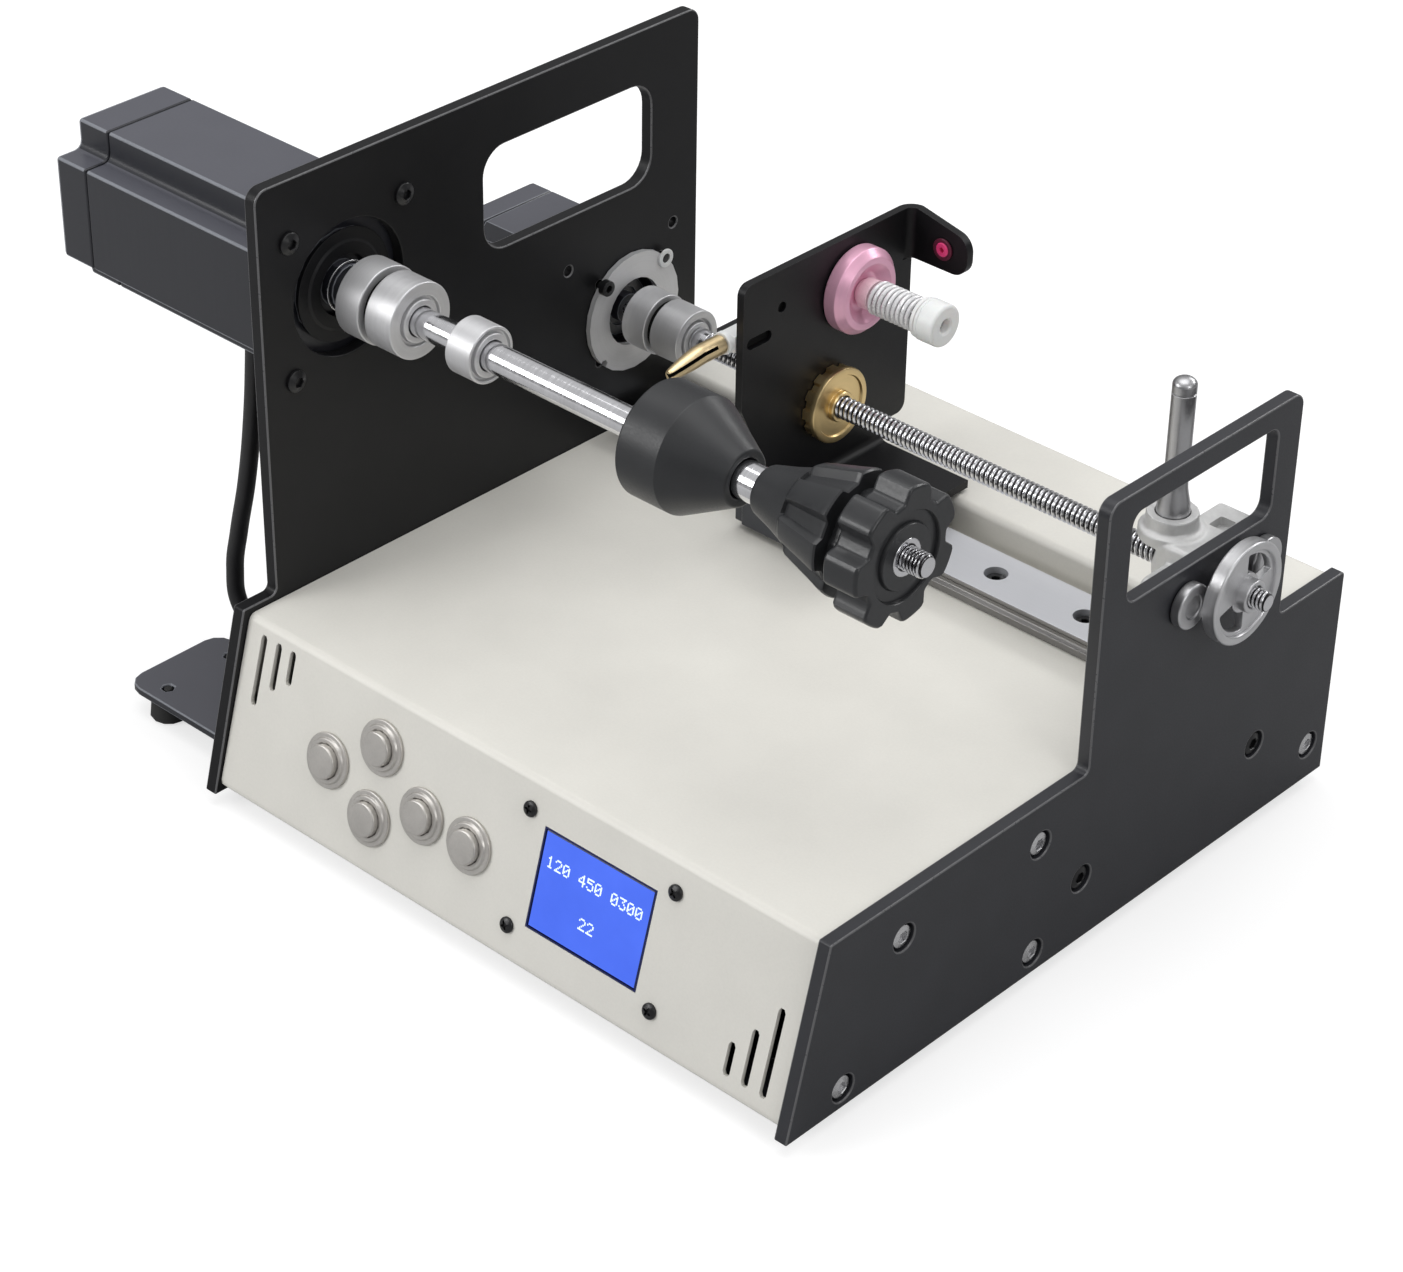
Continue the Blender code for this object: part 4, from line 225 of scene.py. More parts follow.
def lamp(name, place, size, power):
    data = bpy.data.lights.new(name, "AREA")
    data.shape = "RECTANGLE"
    data.size, data.size_y = size
    data.energy = power
    made = linked(name, data)
    made.location = place
    made.rotation_euler = (LAMP_AIM - Vector(place)).to_track_quat("-Z", "Y").to_euler()


lamp("lamp_top", (-0.1, 0.1, 1.5), (1.2, 1.2), 9)
lamp("lamp_front", (-0.9, -1.5, 0.9), (1.0, 0.8), 14)
lamp("lamp_right", (1.7, -0.3, 0.9), (0.7, 0.7), 5)
lamp("lamp_back", (0.3, 1.5, 1.0), (1.2, 0.3), 7)
print("lamps:", len(bpy.data.lights))

# %% [markdown]
# Outlines are lists of two coordinates. Corners get a radius, and round stretches come from
# a formula, so each plate below is only a short list of corners.

# %% Outline helpers


def polar(radius, angle, centre=(0, 0)):
    return (centre[0] + radius * math.cos(angle), centre[1] + radius * math.sin(angle))


def circle(radius, centre=(0, 0), sides=48):
    return [polar(radius, math.tau * i / sides, centre) for i in range(sides)]


def box_outline(low, high):
    return [(low[0], low[1]), (high[0], low[1]), (high[0], high[1]), (low[0], high[1])]


def rounded(corners, steps=8):
    """Round each corner (a, b, radius) of a closed outline with an arc"""
    outline = []
    for i, (a, b, radius) in enumerate(corners):
        here = Vector((a, b))
        before = Vector(corners[i - 1][:2]) - here
        after = Vector(corners[(i + 1) % len(corners)][:2]) - here
        half = before.angle(after) / 2
        reach = min(radius / math.tan(half), min(before.length, after.length) * 0.49)
        if radius == 0 or reach <= 0 or half > math.radians(88):
            outline.append((a, b))
            continue
        radius = reach * math.tan(half)
        centre = here + (before.normalized() + after.normalized()).normalized() * radius / math.sin(half)
        start = here + before.normalized() * reach - centre
        end = here + after.normalized() * reach - centre
        turn = math.atan2(start.x * end.y - start.y * end.x, start.dot(end))
        first = math.atan2(start.y, start.x)
        outline += [polar(radius, first + turn * k / steps, centre) for k in range(steps + 1)]
    return outline


def soft(profile, radius=0.0004, steps=3):
    """Round the corners of a turned profile, but not where it meets the axis"""
    return rounded([(level, out, radius if out > 0 else 0) for level, out in profile], steps)


def soft_ring(profile, radius=0.0005, steps=4):
    """The same radius on every corner of a ring's profile"""
    return rounded([(level, out, radius) for level, out in profile], steps)


def tube(low, high, inner, outer):
    """The profile of a plain ring or, with nothing for the inner radius, of a plain rod"""
    return [(low, inner), (low, outer), (high, outer), (high, inner)]


def slot(start, end, radius, steps=10):
    along = math.atan2(end[1] - start[1], end[0] - start[0]) - math.pi / 2
    far = [polar(radius, along + math.pi * k / steps, end) for k in range(steps + 1)]
    return far + [polar(radius, along + math.pi * (1 + k / steps), start) for k in range(steps + 1)]


def counterclockwise(loop):
    area = sum(a[0] * b[1] - b[0] * a[1] for a, b in zip(loop, loop[1:] + loop[:1]))
    return loop if area > 0 else loop[::-1]


def shifted(loop, inward):
    """Move a counterclockwise outline inward by a distance, each side keeping its direction"""
    moved = []
    for i, point in enumerate(loop):
        before = (Vector(point) - Vector(loop[i - 1])).normalized()
        after = (Vector(loop[(i + 1) % len(loop)]) - Vector(point)).normalized()
        normal = Vector((-before.y - after.y, before.x + after.x)).normalized()
        lean = max(0.3, normal.dot(Vector((-before.y, before.x))))
        moved.append(tuple(Vector(point) + normal * inward / lean))
    return moved


print("outline helpers ready")

# %% [markdown]
# Solids come in three kinds here. A turned piece spins a profile about a line. A slab fills
# an outline with its holes and rounds both rims, which a Bevel modifier does less well round
# many holes. A loft skins equal outlines. Each ends as a closed bmesh that faces outward.

# %% Solid helpers


def at(a, b, level, axis):
    return {"X": (level, a, b), "Y": (a, level, b), "Z": (a, b, level)}[axis]


def outward(bm):
    bmesh.ops.recalc_face_normals(bm, faces=bm.faces)
    if bm.calc_volume(signed=True) < 0:
        bmesh.ops.reverse_faces(bm, faces=bm.faces)
    return bm


def ring_of(bm, outline, level, axis):
    return [bm.verts.new(at(a, b, level, axis)) for a, b in outline]


def bridge(bm, first, second, material=0):
    for i in range(len(first)):
        j = (i + 1) % len(first)
        bm.faces.new((first[i], first[j], second[j], second[i])).material_index = material


def edges_of(bm, ring):
    return [bm.edges.get(pair) for pair in zip(ring, ring[1:] + ring[:1])]


def turned(profile, centre=(0, 0), axis="X", sides=96):
    """Spin a closed profile of (level, radius) points about a line along an axis"""
    bm = bmesh.new()
    loops = [(level, circle(out, centre, sides) if out > 0 else [centre]) for level, out in profile]
    rings = [ring_of(bm, loop, level, axis) for level, loop in loops]
    for first, second in zip(rings, rings[1:] + rings[:1]):
        if len(first) + len(second) == 2:
            continue
        for i in range(sides):
            j = (i + 1) % sides
            quad = [ring[k % len(ring)] for ring, k in ((first, i), (first, j), (second, j), (second, i))]
            bm.faces.new(list(dict.fromkeys(quad)))
    return outward(bm)


def slab(loops, low, high, axis="X", edge=0.0005, steps=3, stepped=()):
    """Fill an outline with holes in it and round the rims, which take the second material"""
    bm = bmesh.new()
    bottoms, tops = [], []
    for number, (under, over, floor) in enumerate([(loop, loop, None) for loop in loops] + list(stepped)):
        under, over = counterclockwise(under), counterclockwise(over)
        lower, upper = [], []
        for k in range(steps + 1):
            turn = math.pi / 2 * k / steps
            rise, inset = edge * (1 - math.cos(turn)), edge * (1 - math.sin(turn))
            inset = inset if number == 0 else -inset
            lower.append(ring_of(bm, shifted(under, inset), low + rise, axis))
            upper.append(ring_of(bm, shifted(over, inset), high - rise, axis))
        for first, second in list(zip(lower, lower[1:])) + list(zip(upper, upper[1:])):
            bridge(bm, first, second, 1)
        wall = [lower[-1], upper[-1]]
        if floor is not None:
            wall[1:1] = [ring_of(bm, under, floor, axis), ring_of(bm, over, floor, axis)]
        for first, second in zip(wall, wall[1:]):
            bridge(bm, first, second)
        bottoms += edges_of(bm, lower[0])
        tops += edges_of(bm, upper[0])
    for edges in (bottoms, tops):
        bmesh.ops.triangle_fill(bm, use_beauty=True, edges=edges)
    return outward(bm)


def loft(sections, axis="X", bore=None):
    """Skin equal outlines, each (level, outline), and fill both ends, round a bore if it has one"""
    bm = bmesh.new()
    ends = [[], []]
    for skin in filter(None, (sections, bore)):
        rings = [ring_of(bm, outline, level, axis) for level, outline in skin]
        for first, second in zip(rings, rings[1:]):
            bridge(bm, first, second)
        ends[0] += edges_of(bm, rings[0])
        ends[1] += edges_of(bm, rings[-1])
    for edges in ends:
        bmesh.ops.triangle_fill(bm, use_beauty=True, edges=edges)
    return outward(bm)


def together(*shapes):
    """Several closed shapes as one bmesh"""
    bm = bmesh.new()
    for shape in shapes:
        data = bpy.data.meshes.new("shape")
        shape.to_mesh(data)
        shape.free()
        bm.from_mesh(data)
        bpy.data.meshes.remove(data)
    return bm


print("solid helpers ready")

# %% [markdown]
# A finished piece is an object at the origin whose place is in its mesh, like the machine's
# own pieces. It rides on the body of the piece that it stands for.
# Its normals are weighted by area, so a flat face stays flat right up to its rounded edge.

# %% Making a piece
SMOOTH_UNDER, FLAT_WITHIN = math.radians(34), math.radians(0.4)
MERGED_WITHIN = 0.000002
LOOKS_UP = 0.95
ROOM = 0.0003


def body_of(node):
    return frame["nodes"][node]["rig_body"]


def settled(holder):
    """The evaluated shape of an object as a plain mesh, with the object itself removed"""
    bpy.context.view_layer.update()
    graph = bpy.context.evaluated_depsgraph_get()
    data = bpy.data.meshes.new_from_object(holder.evaluated_get(graph), depsgraph=graph)
    bpy.data.objects.remove(holder)
    return data


def held(name, data):
    """A passing object that carries a mesh or a curve through its modifiers"""
    return linked(name + "_holder", data)


def mesh_of(name, shape):
    data = bpy.data.meshes.new(name)
    shape.to_mesh(data)
    shape.free()
    return data


def bevelled(holder, width, segments, sharp, material):
    """Round the edges of a passing object that are sharper than an angle, in one of its finishes"""
    bevel = holder.modifiers.new("edges", "BEVEL")
    bevel.width = width
    bevel.segments = segments
    bevel.limit_method = "ANGLE"
    bevel.angle_limit = math.radians(sharp)
    bevel.material = material


def listed(finishes):
    return finishes if isinstance(finishes, tuple) else (finishes,)


def coat(data, finishes):
    """Give a mesh new finishes, while each face keeps its number as far as there are finishes"""
    kept = [face.material_index for face in data.polygons]
    data.materials.clear()
    for finish in finishes:
        data.materials.append(finish)
    for face, number in zip(data.polygons, kept):
        face.material_index = min(number, len(finishes) - 1)


def free_piece(name, shape, finishes, bench=True):
    """Turn a bmesh or a mesh in bench places into a finished piece"""
    finishes = listed(finishes)
    data = mesh_of(name, shape) if isinstance(shape, bmesh.types.BMesh) else shape
    if bench:
        data.transform(Matrix.Translation(BENCH))
    coat(data, finishes)
    data.shade_smooth()
    data.set_sharp_from_angle(angle=SMOOTH_UNDER)
    holder = held(name, data)
    evened = holder.modifiers.new("normals", "WEIGHTED_NORMAL")
    evened.keep_sharp = True
    made = linked(name, settled(holder))
    made.data.name = name
    return made


def piece(name, shape, finishes, *nodes, body=None, bench=True):
    """A finished piece that rides on a body and may stand for pieces of the machine"""
    made = free_piece(name, shape, finishes, bench)
    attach(made, body or frame["nodes"][nodes[0]]["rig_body"])
    if nodes:
        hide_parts(*nodes)
    return made


def keep(node, finish):
    """A piece of the machine stays as it is and gets this finish"""
    for place in frame["nodes"][node].material_slots:
        place.material = finish


def dressed(name, node, finishes, edge, sharp=35):
    """A copy of a piece of the machine with its faces merged and its edges rounded

    The middle one of three finishes, a lighter copy, goes on the faces that look up: painted light from
    above.
    """
    finishes = listed(finishes)
    bm = bmesh.new()
    bm.from_mesh(frame["nodes"][node].data)
    bmesh.ops.remove_doubles(bm, verts=bm.verts, dist=MERGED_WITHIN)
    bmesh.ops.dissolve_limit(bm, angle_limit=FLAT_WITHIN, verts=bm.verts, edges=bm.edges)
    data = mesh_of(name, bm)
    if "custom_normal" in data.attributes:
        data.attributes.remove(data.attributes["custom_normal"])
    coat(data, finishes)
    for face in data.polygons:
        face.material_index = int(len(finishes) == 3 and face.normal.z > LOOKS_UP)
    holder = held(name, data)
    bevelled(holder, edge, 3, sharp, len(finishes) - 1)
    return piece(name, settled(holder), finishes, node, bench=False)

# %% [markdown]
# No real surface has one flat colour. Each finish here mixes a slow cloud of shade with a
# fine grain, lets the grain change the gloss, and lifts it by a few microns. The noise reads
# the place on the piece in metres, so a scale of 1000 means grains of about a millimetre.

# %% Finishes with a cloud and a grain
CLOUD_SHARE, GRAIN_SHARE = 0.6, 0.4
LEAST_GLOSS = 0.02
TURNED_CLOUD = 90


def blank_finish(name, slot):
    made = bpy.data.materials.new(name)
    made["slot"] = slot
    return made, cleared(made)


def speckle(tree, where, scale, detail=3.0):
    inputs = {"Vector": where, "Scale": scale, "Detail": detail}
    return step(tree, "ShaderNodeTexNoise", inputs).outputs["Fac"]


def spread(tree, value, start, end, low, high):
    """Spread the part of a value from start to end over a range"""
    ends = {"Value": value, "From Min": start, "From Max": end, "To Min": low, "To Max": high}
    return step(tree, "ShaderNodeMapRange", ends).outputs[0]


def between(tree, value, low, high):
    """Spread the useful middle of a noise over a range"""
    return spread(tree, value, 0.3, 0.7, low, high)


def closed_finish(tree, cloud, grain, colour, shade, gloss, rise, sockets):
    """Lead a cloud and a grain into the colour, the gloss and the height of one shader"""
    mixed = reckon(tree, "MULTIPLY_ADD", cloud, CLOUD_SHARE, 0.0)
    mixed = reckon(tree, "MULTIPLY_ADD", grain, GRAIN_SHARE, mixed)
    tones = step(tree, "ShaderNodeValToRGB", {"Fac": mixed})
    for stop, place, factor in zip(tones.color_ramp.elements, (0.36, 0.64), (1 - shade, 1 + shade)):
        stop.position = place
        stop.color = [min(1, channel * factor) for channel in colour] + [1]
    lifted = step(tree, "ShaderNodeBump", {"Height": grain, "Distance": rise, "Strength": 1.0})
    shine = between(tree, grain, max(LEAST_GLOSS, gloss[0] - gloss[1]), gloss[0] + gloss[1])
    inputs = {"Base Color": tones.outputs[0], "Roughness": shine, "Normal": lifted.outputs[0], **sockets}
    shader = step(tree, "ShaderNodeBsdfPrincipled", inputs)
    step(tree, "ShaderNodeOutputMaterial", {"Surface": shader.outputs[0]})


def socket_names(sockets):
    """Python names as the shader's own names of its inputs"""
    return {label.replace("_", " ").title().replace("Ior", "IOR"): value for label, value in sockets.items()}


def finish(name, slot, colour, gloss, shade=0.06, cloud=60, grain=900, rise=0.00001, stretch=None,
           **sockets):
    """A painted, moulded, cast or brushed surface, with the noise stretched where it is brushed"""
    made, tree = blank_finish(name, slot)
    where = step(tree, "ShaderNodeTexCoord").outputs["Object"]
    fine = where
    if stretch:
        fine = step(tree, "ShaderNodeVectorMath", {0: where, 1: stretch}, operation="MULTIPLY").outputs[0]
    parts = speckle(tree, where, cloud), speckle(tree, fine, grain, 2)
    closed_finish(tree, *parts, colour, shade, gloss, rise, socket_names(sockets))
    return made


def turned_finish(name, slot, colour, gloss, centre, shade=0.08, rings=1300, rise=0.000006, **sockets):
    """Metal off a lathe: the grain runs in rings about a line along X, from the place across it"""
    made, tree = blank_finish(name, slot)
    where = step(tree, "ShaderNodeTexCoord").outputs["Object"]
    line = (0, -centre[0] - BENCH.y, -centre[1] - BENCH.z)
    there = step(tree, "ShaderNodeVectorMath", {0: where, 1: line}, operation="ADD").outputs[0]
    parts = step(tree, "ShaderNodeSeparateXYZ", {0: there}).outputs
    across = step(tree, "ShaderNodeCombineXYZ", {"Y": parts["Y"], "Z": parts["Z"]}).outputs[0]
    across = step(tree, "ShaderNodeVectorMath", {0: across}, operation="LENGTH").outputs["Value"]
    ringed = step(tree, "ShaderNodeCombineXYZ", {"X": parts["X"], "Y": across}).outputs[0]
    noises = speckle(tree, there, TURNED_CLOUD), speckle(tree, ringed, rings, 2)
    closed_finish(tree, *noises, colour, shade, gloss, rise, {"Metallic": 1.0, **socket_names(sockets)})
    return made


def threaded_finish(name, slot, colour, gloss, centre, radius, depth):
    """Bright crests over roots darkened with painted shade: the colour follows the distance from the line

    Below the roots lies the bright core, which shows at the ends of a thread.
    """
    made = turned_finish(name, slot, colour, gloss, centre, 0.03, rise=0.000001)
    tree = made.node_tree
    shader = next(node for node in tree.nodes if node.bl_idname == "ShaderNodeBsdfPrincipled")
    across = next(node for node in tree.nodes if getattr(node, "operation", "") == "LENGTH").outputs["Value"]
    # Painted shade in the thread's roots: the colour darkens towards the root.
    root_shade = spread(tree, across, radius - depth * 0.85, radius - depth * 0.45, 0.04, 1.0)
    core = spread(tree, across, radius - depth * 1.30, radius - depth * 1.05, 1.0, 0.0)
    bright = reckon(tree, "MAXIMUM", root_shade, core)
    tones = shader.inputs["Base Color"].links[0].from_socket
    shaded = step(tree, "ShaderNodeVectorMath", {0: tones, "Scale": bright}, operation="SCALE").outputs[0]
    tree.links.new(shaded, shader.inputs["Base Color"])
    return made


print("finish helpers ready")

# %% [markdown]
# The paints and plastics. Powder coat has an orange peel, anodised plate a dry fine grain,
# a moulding is glossier. The edges of black plates get a lighter finish of their own: partly
# the thin wear that handling leaves there, partly a painted highlight where they catch the light.
# The lighter finishes on the ivory bends, the motor edges and the motor tops are painted
# highlights, and the darker copy of the plate black is painted shade.

# %% Paints, plastics and rubber
SLATE, MOULDING = (0.020, 0.021, 0.027), (0.020, 0.021, 0.023)
ivory = finish("ivory_powder_coat", "ivory_paint", (0.76, 0.745, 0.69), (0.42, 0.05), 0.025, 40, 1100,
               0.000012)
# A lighter ivory for the bends and cut edges: a painted highlight.
ivory_edge_highlight = finish("ivory_bend_highlight", "ivory_paint", (0.88, 0.87, 0.82), (0.34, 0.04), 0.02, 60, 1100, 0.000008)
plate_black = finish("black_anodised_plate", "black_anodised", (0.026, 0.027, 0.032), (0.44, 0.05), 0.10,
                     50, 1600, specular_ior_level=0.45)
# A darker copy of the plate black: painted shade for faces that lie in shadow.
plate_painted_shade = finish("black_plate_painted_shade", "black_anodised", (0.007, 0.007, 0.008), (0.40, 0.05), 0.12, 50,
                    1600, specular_ior_level=0.25)
# Lighter plate edges: thin wear, and a painted highlight where the edges catch the light.
plate_edge_wear_and_highlight = finish("plate_edge_wear_and_highlight", "black_anodised", (0.15, 0.15, 0.155), (0.32, 0.06), 0.06, 80, 900,
                    metallic=0.4)
slate = finish("slate_motor_paint", "slate_paint", SLATE, (0.32, 0.04), 0.04, 60, 1300, 0.000001,
               specular_ior_level=0.5)
# Lighter motor edges: a painted highlight.
slate_edge_highlight = finish("motor_edge_highlight", "slate_paint", (0.20, 0.21, 0.235), (0.34, 0.05), 0.05, 80, 900, 0.000001)
# A lighter copy of the motor paint for faces that look up: painted light from above.
slate_top_highlight = finish("motor_top_highlight", "slate_paint", (0.085, 0.087, 0.104), (0.32, 0.04), 0.03, 60, 900, 0.000001)
laminated = finish("stator_plates", "slate_paint", SLATE, (0.32, 0.04), 0.03, 60, 900, 0.0000001,
                   (1.0, 0.03, 0.03), specular_ior_level=0.5)
cone_black = finish("matt_black_cone", "black_plastic", MOULDING, (0.42, 0.05), 0.10, 90, 1400)
moulded_black = finish("glossy_black_moulding", "black_plastic", MOULDING, (0.36, 0.05), 0.06, 90, 700,
                       0.000001, coat_weight=0.1)
carriage_grey = finish("carriage_end_caps", "black_plastic", (0.035, 0.038, 0.046), (0.42, 0.05), 0.12, 90,
                       1300)
# Near black for grooves, slits and holes: painted shade.
hole_painted_shade = finish("hole_painted_shade", "black_plastic", (0.003, 0.003, 0.003), (0.70, 0.05), 0.2, 150, 1500,
                   specular_ior_level=0.1)
screw_black = finish("black_oxide_screw", "black_anodised", (0.008, 0.008, 0.009), (0.34, 0.06), 0.1, 150,
                     1500, metallic=0.1)
rubber_black = finish("rubber_foot", "rubber", (0.020, 0.020, 0.020), (0.72, 0.06), 0.15, 120, 1500, 0.00002)
cable_black = finish("cable_jacket", "cable_jacket", (0.014, 0.014, 0.015), (0.48, 0.06), 0.15, 120, 700,
                     0.00002)
nylon = finish("white_nylon", "white_nylon", (0.80, 0.80, 0.79), (0.42, 0.05), 0.03, 90, 1200,
               subsurface_weight=0.05)
board_green = finish("green_board", "green_board", (0.015, 0.14, 0.06), (0.36, 0.08), 0.2, 120, 1500)
print("paints and plastics:", len(bpy.data.materials))

# %% [markdown]
# The metals. Turned pieces show rings about their own line, so there is one finish for each
# line that needs it. The rail is ground along its length, and castings are dull and lumpy.

# %% Metals
SATIN, BRIGHT, ALONG = (0.66, 0.66, 0.67), (0.74, 0.74, 0.76), (0.02, 1.0, 1.0)
spindle_satin = turned_finish("spindle_satin", "satin_steel", SATIN, (0.46, 0.05), SPINDLE, 0.05,
                              rise=0.000003, metallic=0.7)
spindle_bright = turned_finish("spindle_bright", "polished_steel", BRIGHT, (0.14, 0.06), SPINDLE)
screw_satin = turned_finish("screw_line_satin", "satin_steel", SATIN, (0.46, 0.05), SCREW, 0.05,
                            rise=0.000003, metallic=0.7)
screw_bright = turned_finish("screw_line_bright", "polished_steel", BRIGHT, (0.20, 0.07), SCREW)
wheel_satin = turned_finish("handwheel_satin", "cast_aluminium", (0.62, 0.62, 0.63), (0.38, 0.06), SCREW,
                            0.08, 900, metallic=0.85)
nut_brass = turned_finish("nut_brass", "brass", (0.76, 0.58, 0.30), (0.34, 0.05), SCREW, 0.06, 900, 0.000002)
rose = turned_finish("rose_anodised", "rose_anodised", (0.87, 0.47, 0.63), (0.32, 0.05), TENSION, 0.06, 1100,
                     0.000002, metallic=0.35)
flange_grey = turned_finish("flange_ring", "satin_steel", SATIN, (0.46, 0.05), SCREW, 0.05, rise=0.000002,
                            metallic=0.55)
tip_brass = finish("tip_brass", "brass", (0.86, 0.68, 0.40), (0.34, 0.05), 0.04, 150, 900, 0.000001,
                   metallic=0.9)
rail_ground = finish("rail_ground", "satin_steel", (0.70, 0.71, 0.74), (0.34, 0.04), 0.02, 40, 900, 0.000002,
                     ALONG, metallic=0.6)
rail_side = finish("rail_side", "satin_steel", (0.20, 0.195, 0.19), (0.30, 0.05), 0.08, 40, 900, 0.000003,
                   ALONG, metallic=0.8)
cast = finish("cast_grey", "cast_aluminium", (0.63, 0.63, 0.625), (0.50, 0.08), 0.08, 90, 700, 0.00006,
              metallic=0.55)
machined = finish("machined_seat", "cast_aluminium", (0.62, 0.62, 0.62), (0.30, 0.06), 0.06, 120, 1500,
                  metallic=0.9)
screw_steel = finish("steel_screw", "polished_steel", (0.62, 0.62, 0.63), (0.24, 0.06), 0.12, 200, 1200,
                     metallic=1.0)
button_satin = finish("button_satin", "satin_steel", (0.56, 0.54, 0.51), (0.36, 0.05), 0.06, 120, 1300,
                      metallic=0.75)
post_satin = finish("post_satin", "polished_steel", (0.46, 0.46, 0.47), (0.34, 0.04), 0.04, 90, 900,
                    0.000001, metallic=1.0)
print("finishes in all:", len(bpy.data.materials))

# %% [markdown]
# Small things that repeat come from Geometry Nodes. A tree has named inputs, and the modifier
# takes a value by the input's identifier. The result is turned into a plain mesh at once,
# because the finished model may hold no instances.

# %% Geometry Nodes helpers


def new_growth(name, **inputs):
    """A tree with a shape coming in, named inputs, and the outputs of its input node"""
    tree = bpy.data.node_groups.new(name, "GeometryNodeTree")
    kinds = {float: "NodeSocketFloat", int: "NodeSocketInt", tuple: "NodeSocketVector"}
    tree.interface.new_socket("Shape", in_out="INPUT", socket_type="NodeSocketGeometry")
    for label, value in inputs.items():
        kind = value if isinstance(value, str) else kinds[type(value)]
        socket = tree.interface.new_socket(label, in_out="INPUT", socket_type=kind)
        if not isinstance(value, str):
            socket.default_value = value
    tree.interface.new_socket("Finish", in_out="INPUT", socket_type="NodeSocketMaterial")
    tree.interface.new_socket("Shape", in_out="OUTPUT", socket_type="NodeSocketGeometry")
    return tree, step(tree, "NodeGroupInput").outputs


def end_growth(tree, given, shape):
    real = step(tree, "GeometryNodeRealizeInstances", {"Geometry": shape}).outputs[0]
    coated = step(tree, "GeometryNodeSetMaterial",
                  {"Geometry": real, "Material": given["Finish"]}).outputs[0]
    step(tree, "NodeGroupOutput", {"Shape": coated})
    return tree


def grown(name, tree, start, finish, **values):
    """Run a tree on a mesh or a curve and keep what it makes as a plain mesh"""
    holder = held(name, start)
    modifier = holder.modifiers.new("growth", "NODES")
    modifier.node_group = tree
    values["Finish"] = finish
    for item in tree.interface.items_tree:
        if item.in_out == "INPUT" and item.name in values:
            modifier[item.identifier] = values[item.name]
    return settled(holder)


def points_mesh(name, places):
    data = bpy.data.meshes.new(name)
    data.from_pydata([tuple(place) for place in places], [], [])
    return data


print("growth helpers ready")

# %% [markdown]
# One tree sets all the screws: it puts a head on every point, spins each by a random angle
# about its own line, as hands leave them, and then turns them all to face the right way.

# %% Screw heads
SIDES = 36

tree, given = new_growth("screws", Head="NodeSocketObject", Turn=(0.0, 0.0, 0.0), Seed=3)
head_shape = step(tree, "GeometryNodeObjectInfo", {"Object": given["Head"]}).outputs["Geometry"]
chance = step(tree, "FunctionNodeRandomValue", {"Max": math.tau, "Seed": given["Seed"]}, data_type="FLOAT")
spin = step(tree, "ShaderNodeCombineXYZ", {"Z": chance.outputs["Value"]}).outputs[0]
spin = step(tree, "FunctionNodeEulerToRotation", {"Euler": spin}).outputs[0]
turn = step(tree, "FunctionNodeEulerToRotation", {"Euler": given["Turn"]}).outputs[0]
facing = step(tree, "FunctionNodeRotateRotation", {"Rotation": spin, "Rotate By": turn},
              rotation_space="GLOBAL")
placed = {"Points": given["Shape"], "Instance": head_shape, "Rotation": facing.outputs[0]}
screw_growth = end_growth(tree, given, step(tree, "GeometryNodeInstanceOnPoints", placed).outputs[0])

FACING = {"+X": (0, math.pi / 2, 0), "-X": (0, -math.pi / 2, 0), "+Z": (0, 0, 0)}


def sided(count, reach):
    """An outline of equal sides with as many points as a round one, so that the two can be joined

    The reach is a function of the angle from the middle of a side.
    """
    outline = []
    half = math.pi / count
    for i in range(SIDES):
        angle = math.tau * i / SIDES
        lean = (angle + half) % (2 * half) - half
        outline.append(polar(reach(lean), angle))
    return outline


def hexagon(radius):
    return sided(6, lambda lean: radius * math.cos(math.pi / 6) / math.cos(lean))


def cross(arm, width):
    """A cross-shaped outline for a driver's point"""
    return sided(4, lambda lean: min(arm, width / max(0.2, abs(math.sin(lean)))))


def screw_head(name, radius, height, shank, length, recess, depth, dome=0.0, edge=0.0003):
    """A head on a shank: z = 0 is the seat, and the recess is sunk in the crown"""
    crown = height + dome
    steps = 4
    rounds = [(-length, shank), (0, shank), (0, radius)]
    for k in range(steps + 1):
        turn = math.pi / 2 * k / steps
        rounds.append((height - edge + edge * math.sin(turn), radius - edge * (1 - math.cos(turn))))
    if dome:
        rounds.append((height + dome * 0.7, radius * 0.62))
    sections = [(level, circle(out, sides=SIDES)) for level, out in rounds]
    mouth = [(a * 1.1, b * 1.1) for a, b in recess]
    sections += [(crown, mouth), (crown - edge / 2, recess), (crown - depth, recess)]
    return bpy.data.objects.new(name, mesh_of(name, loft(sections, "Z")))


def screws(name, head, places, facing, finish, seed):
    """Screws at bench places that ride on the base"""
    data = grown(name, screw_growth, points_mesh(name, places), finish, Head=head, Turn=FACING[facing],
                 Seed=seed)
    return piece(name, data, finish, body="base")


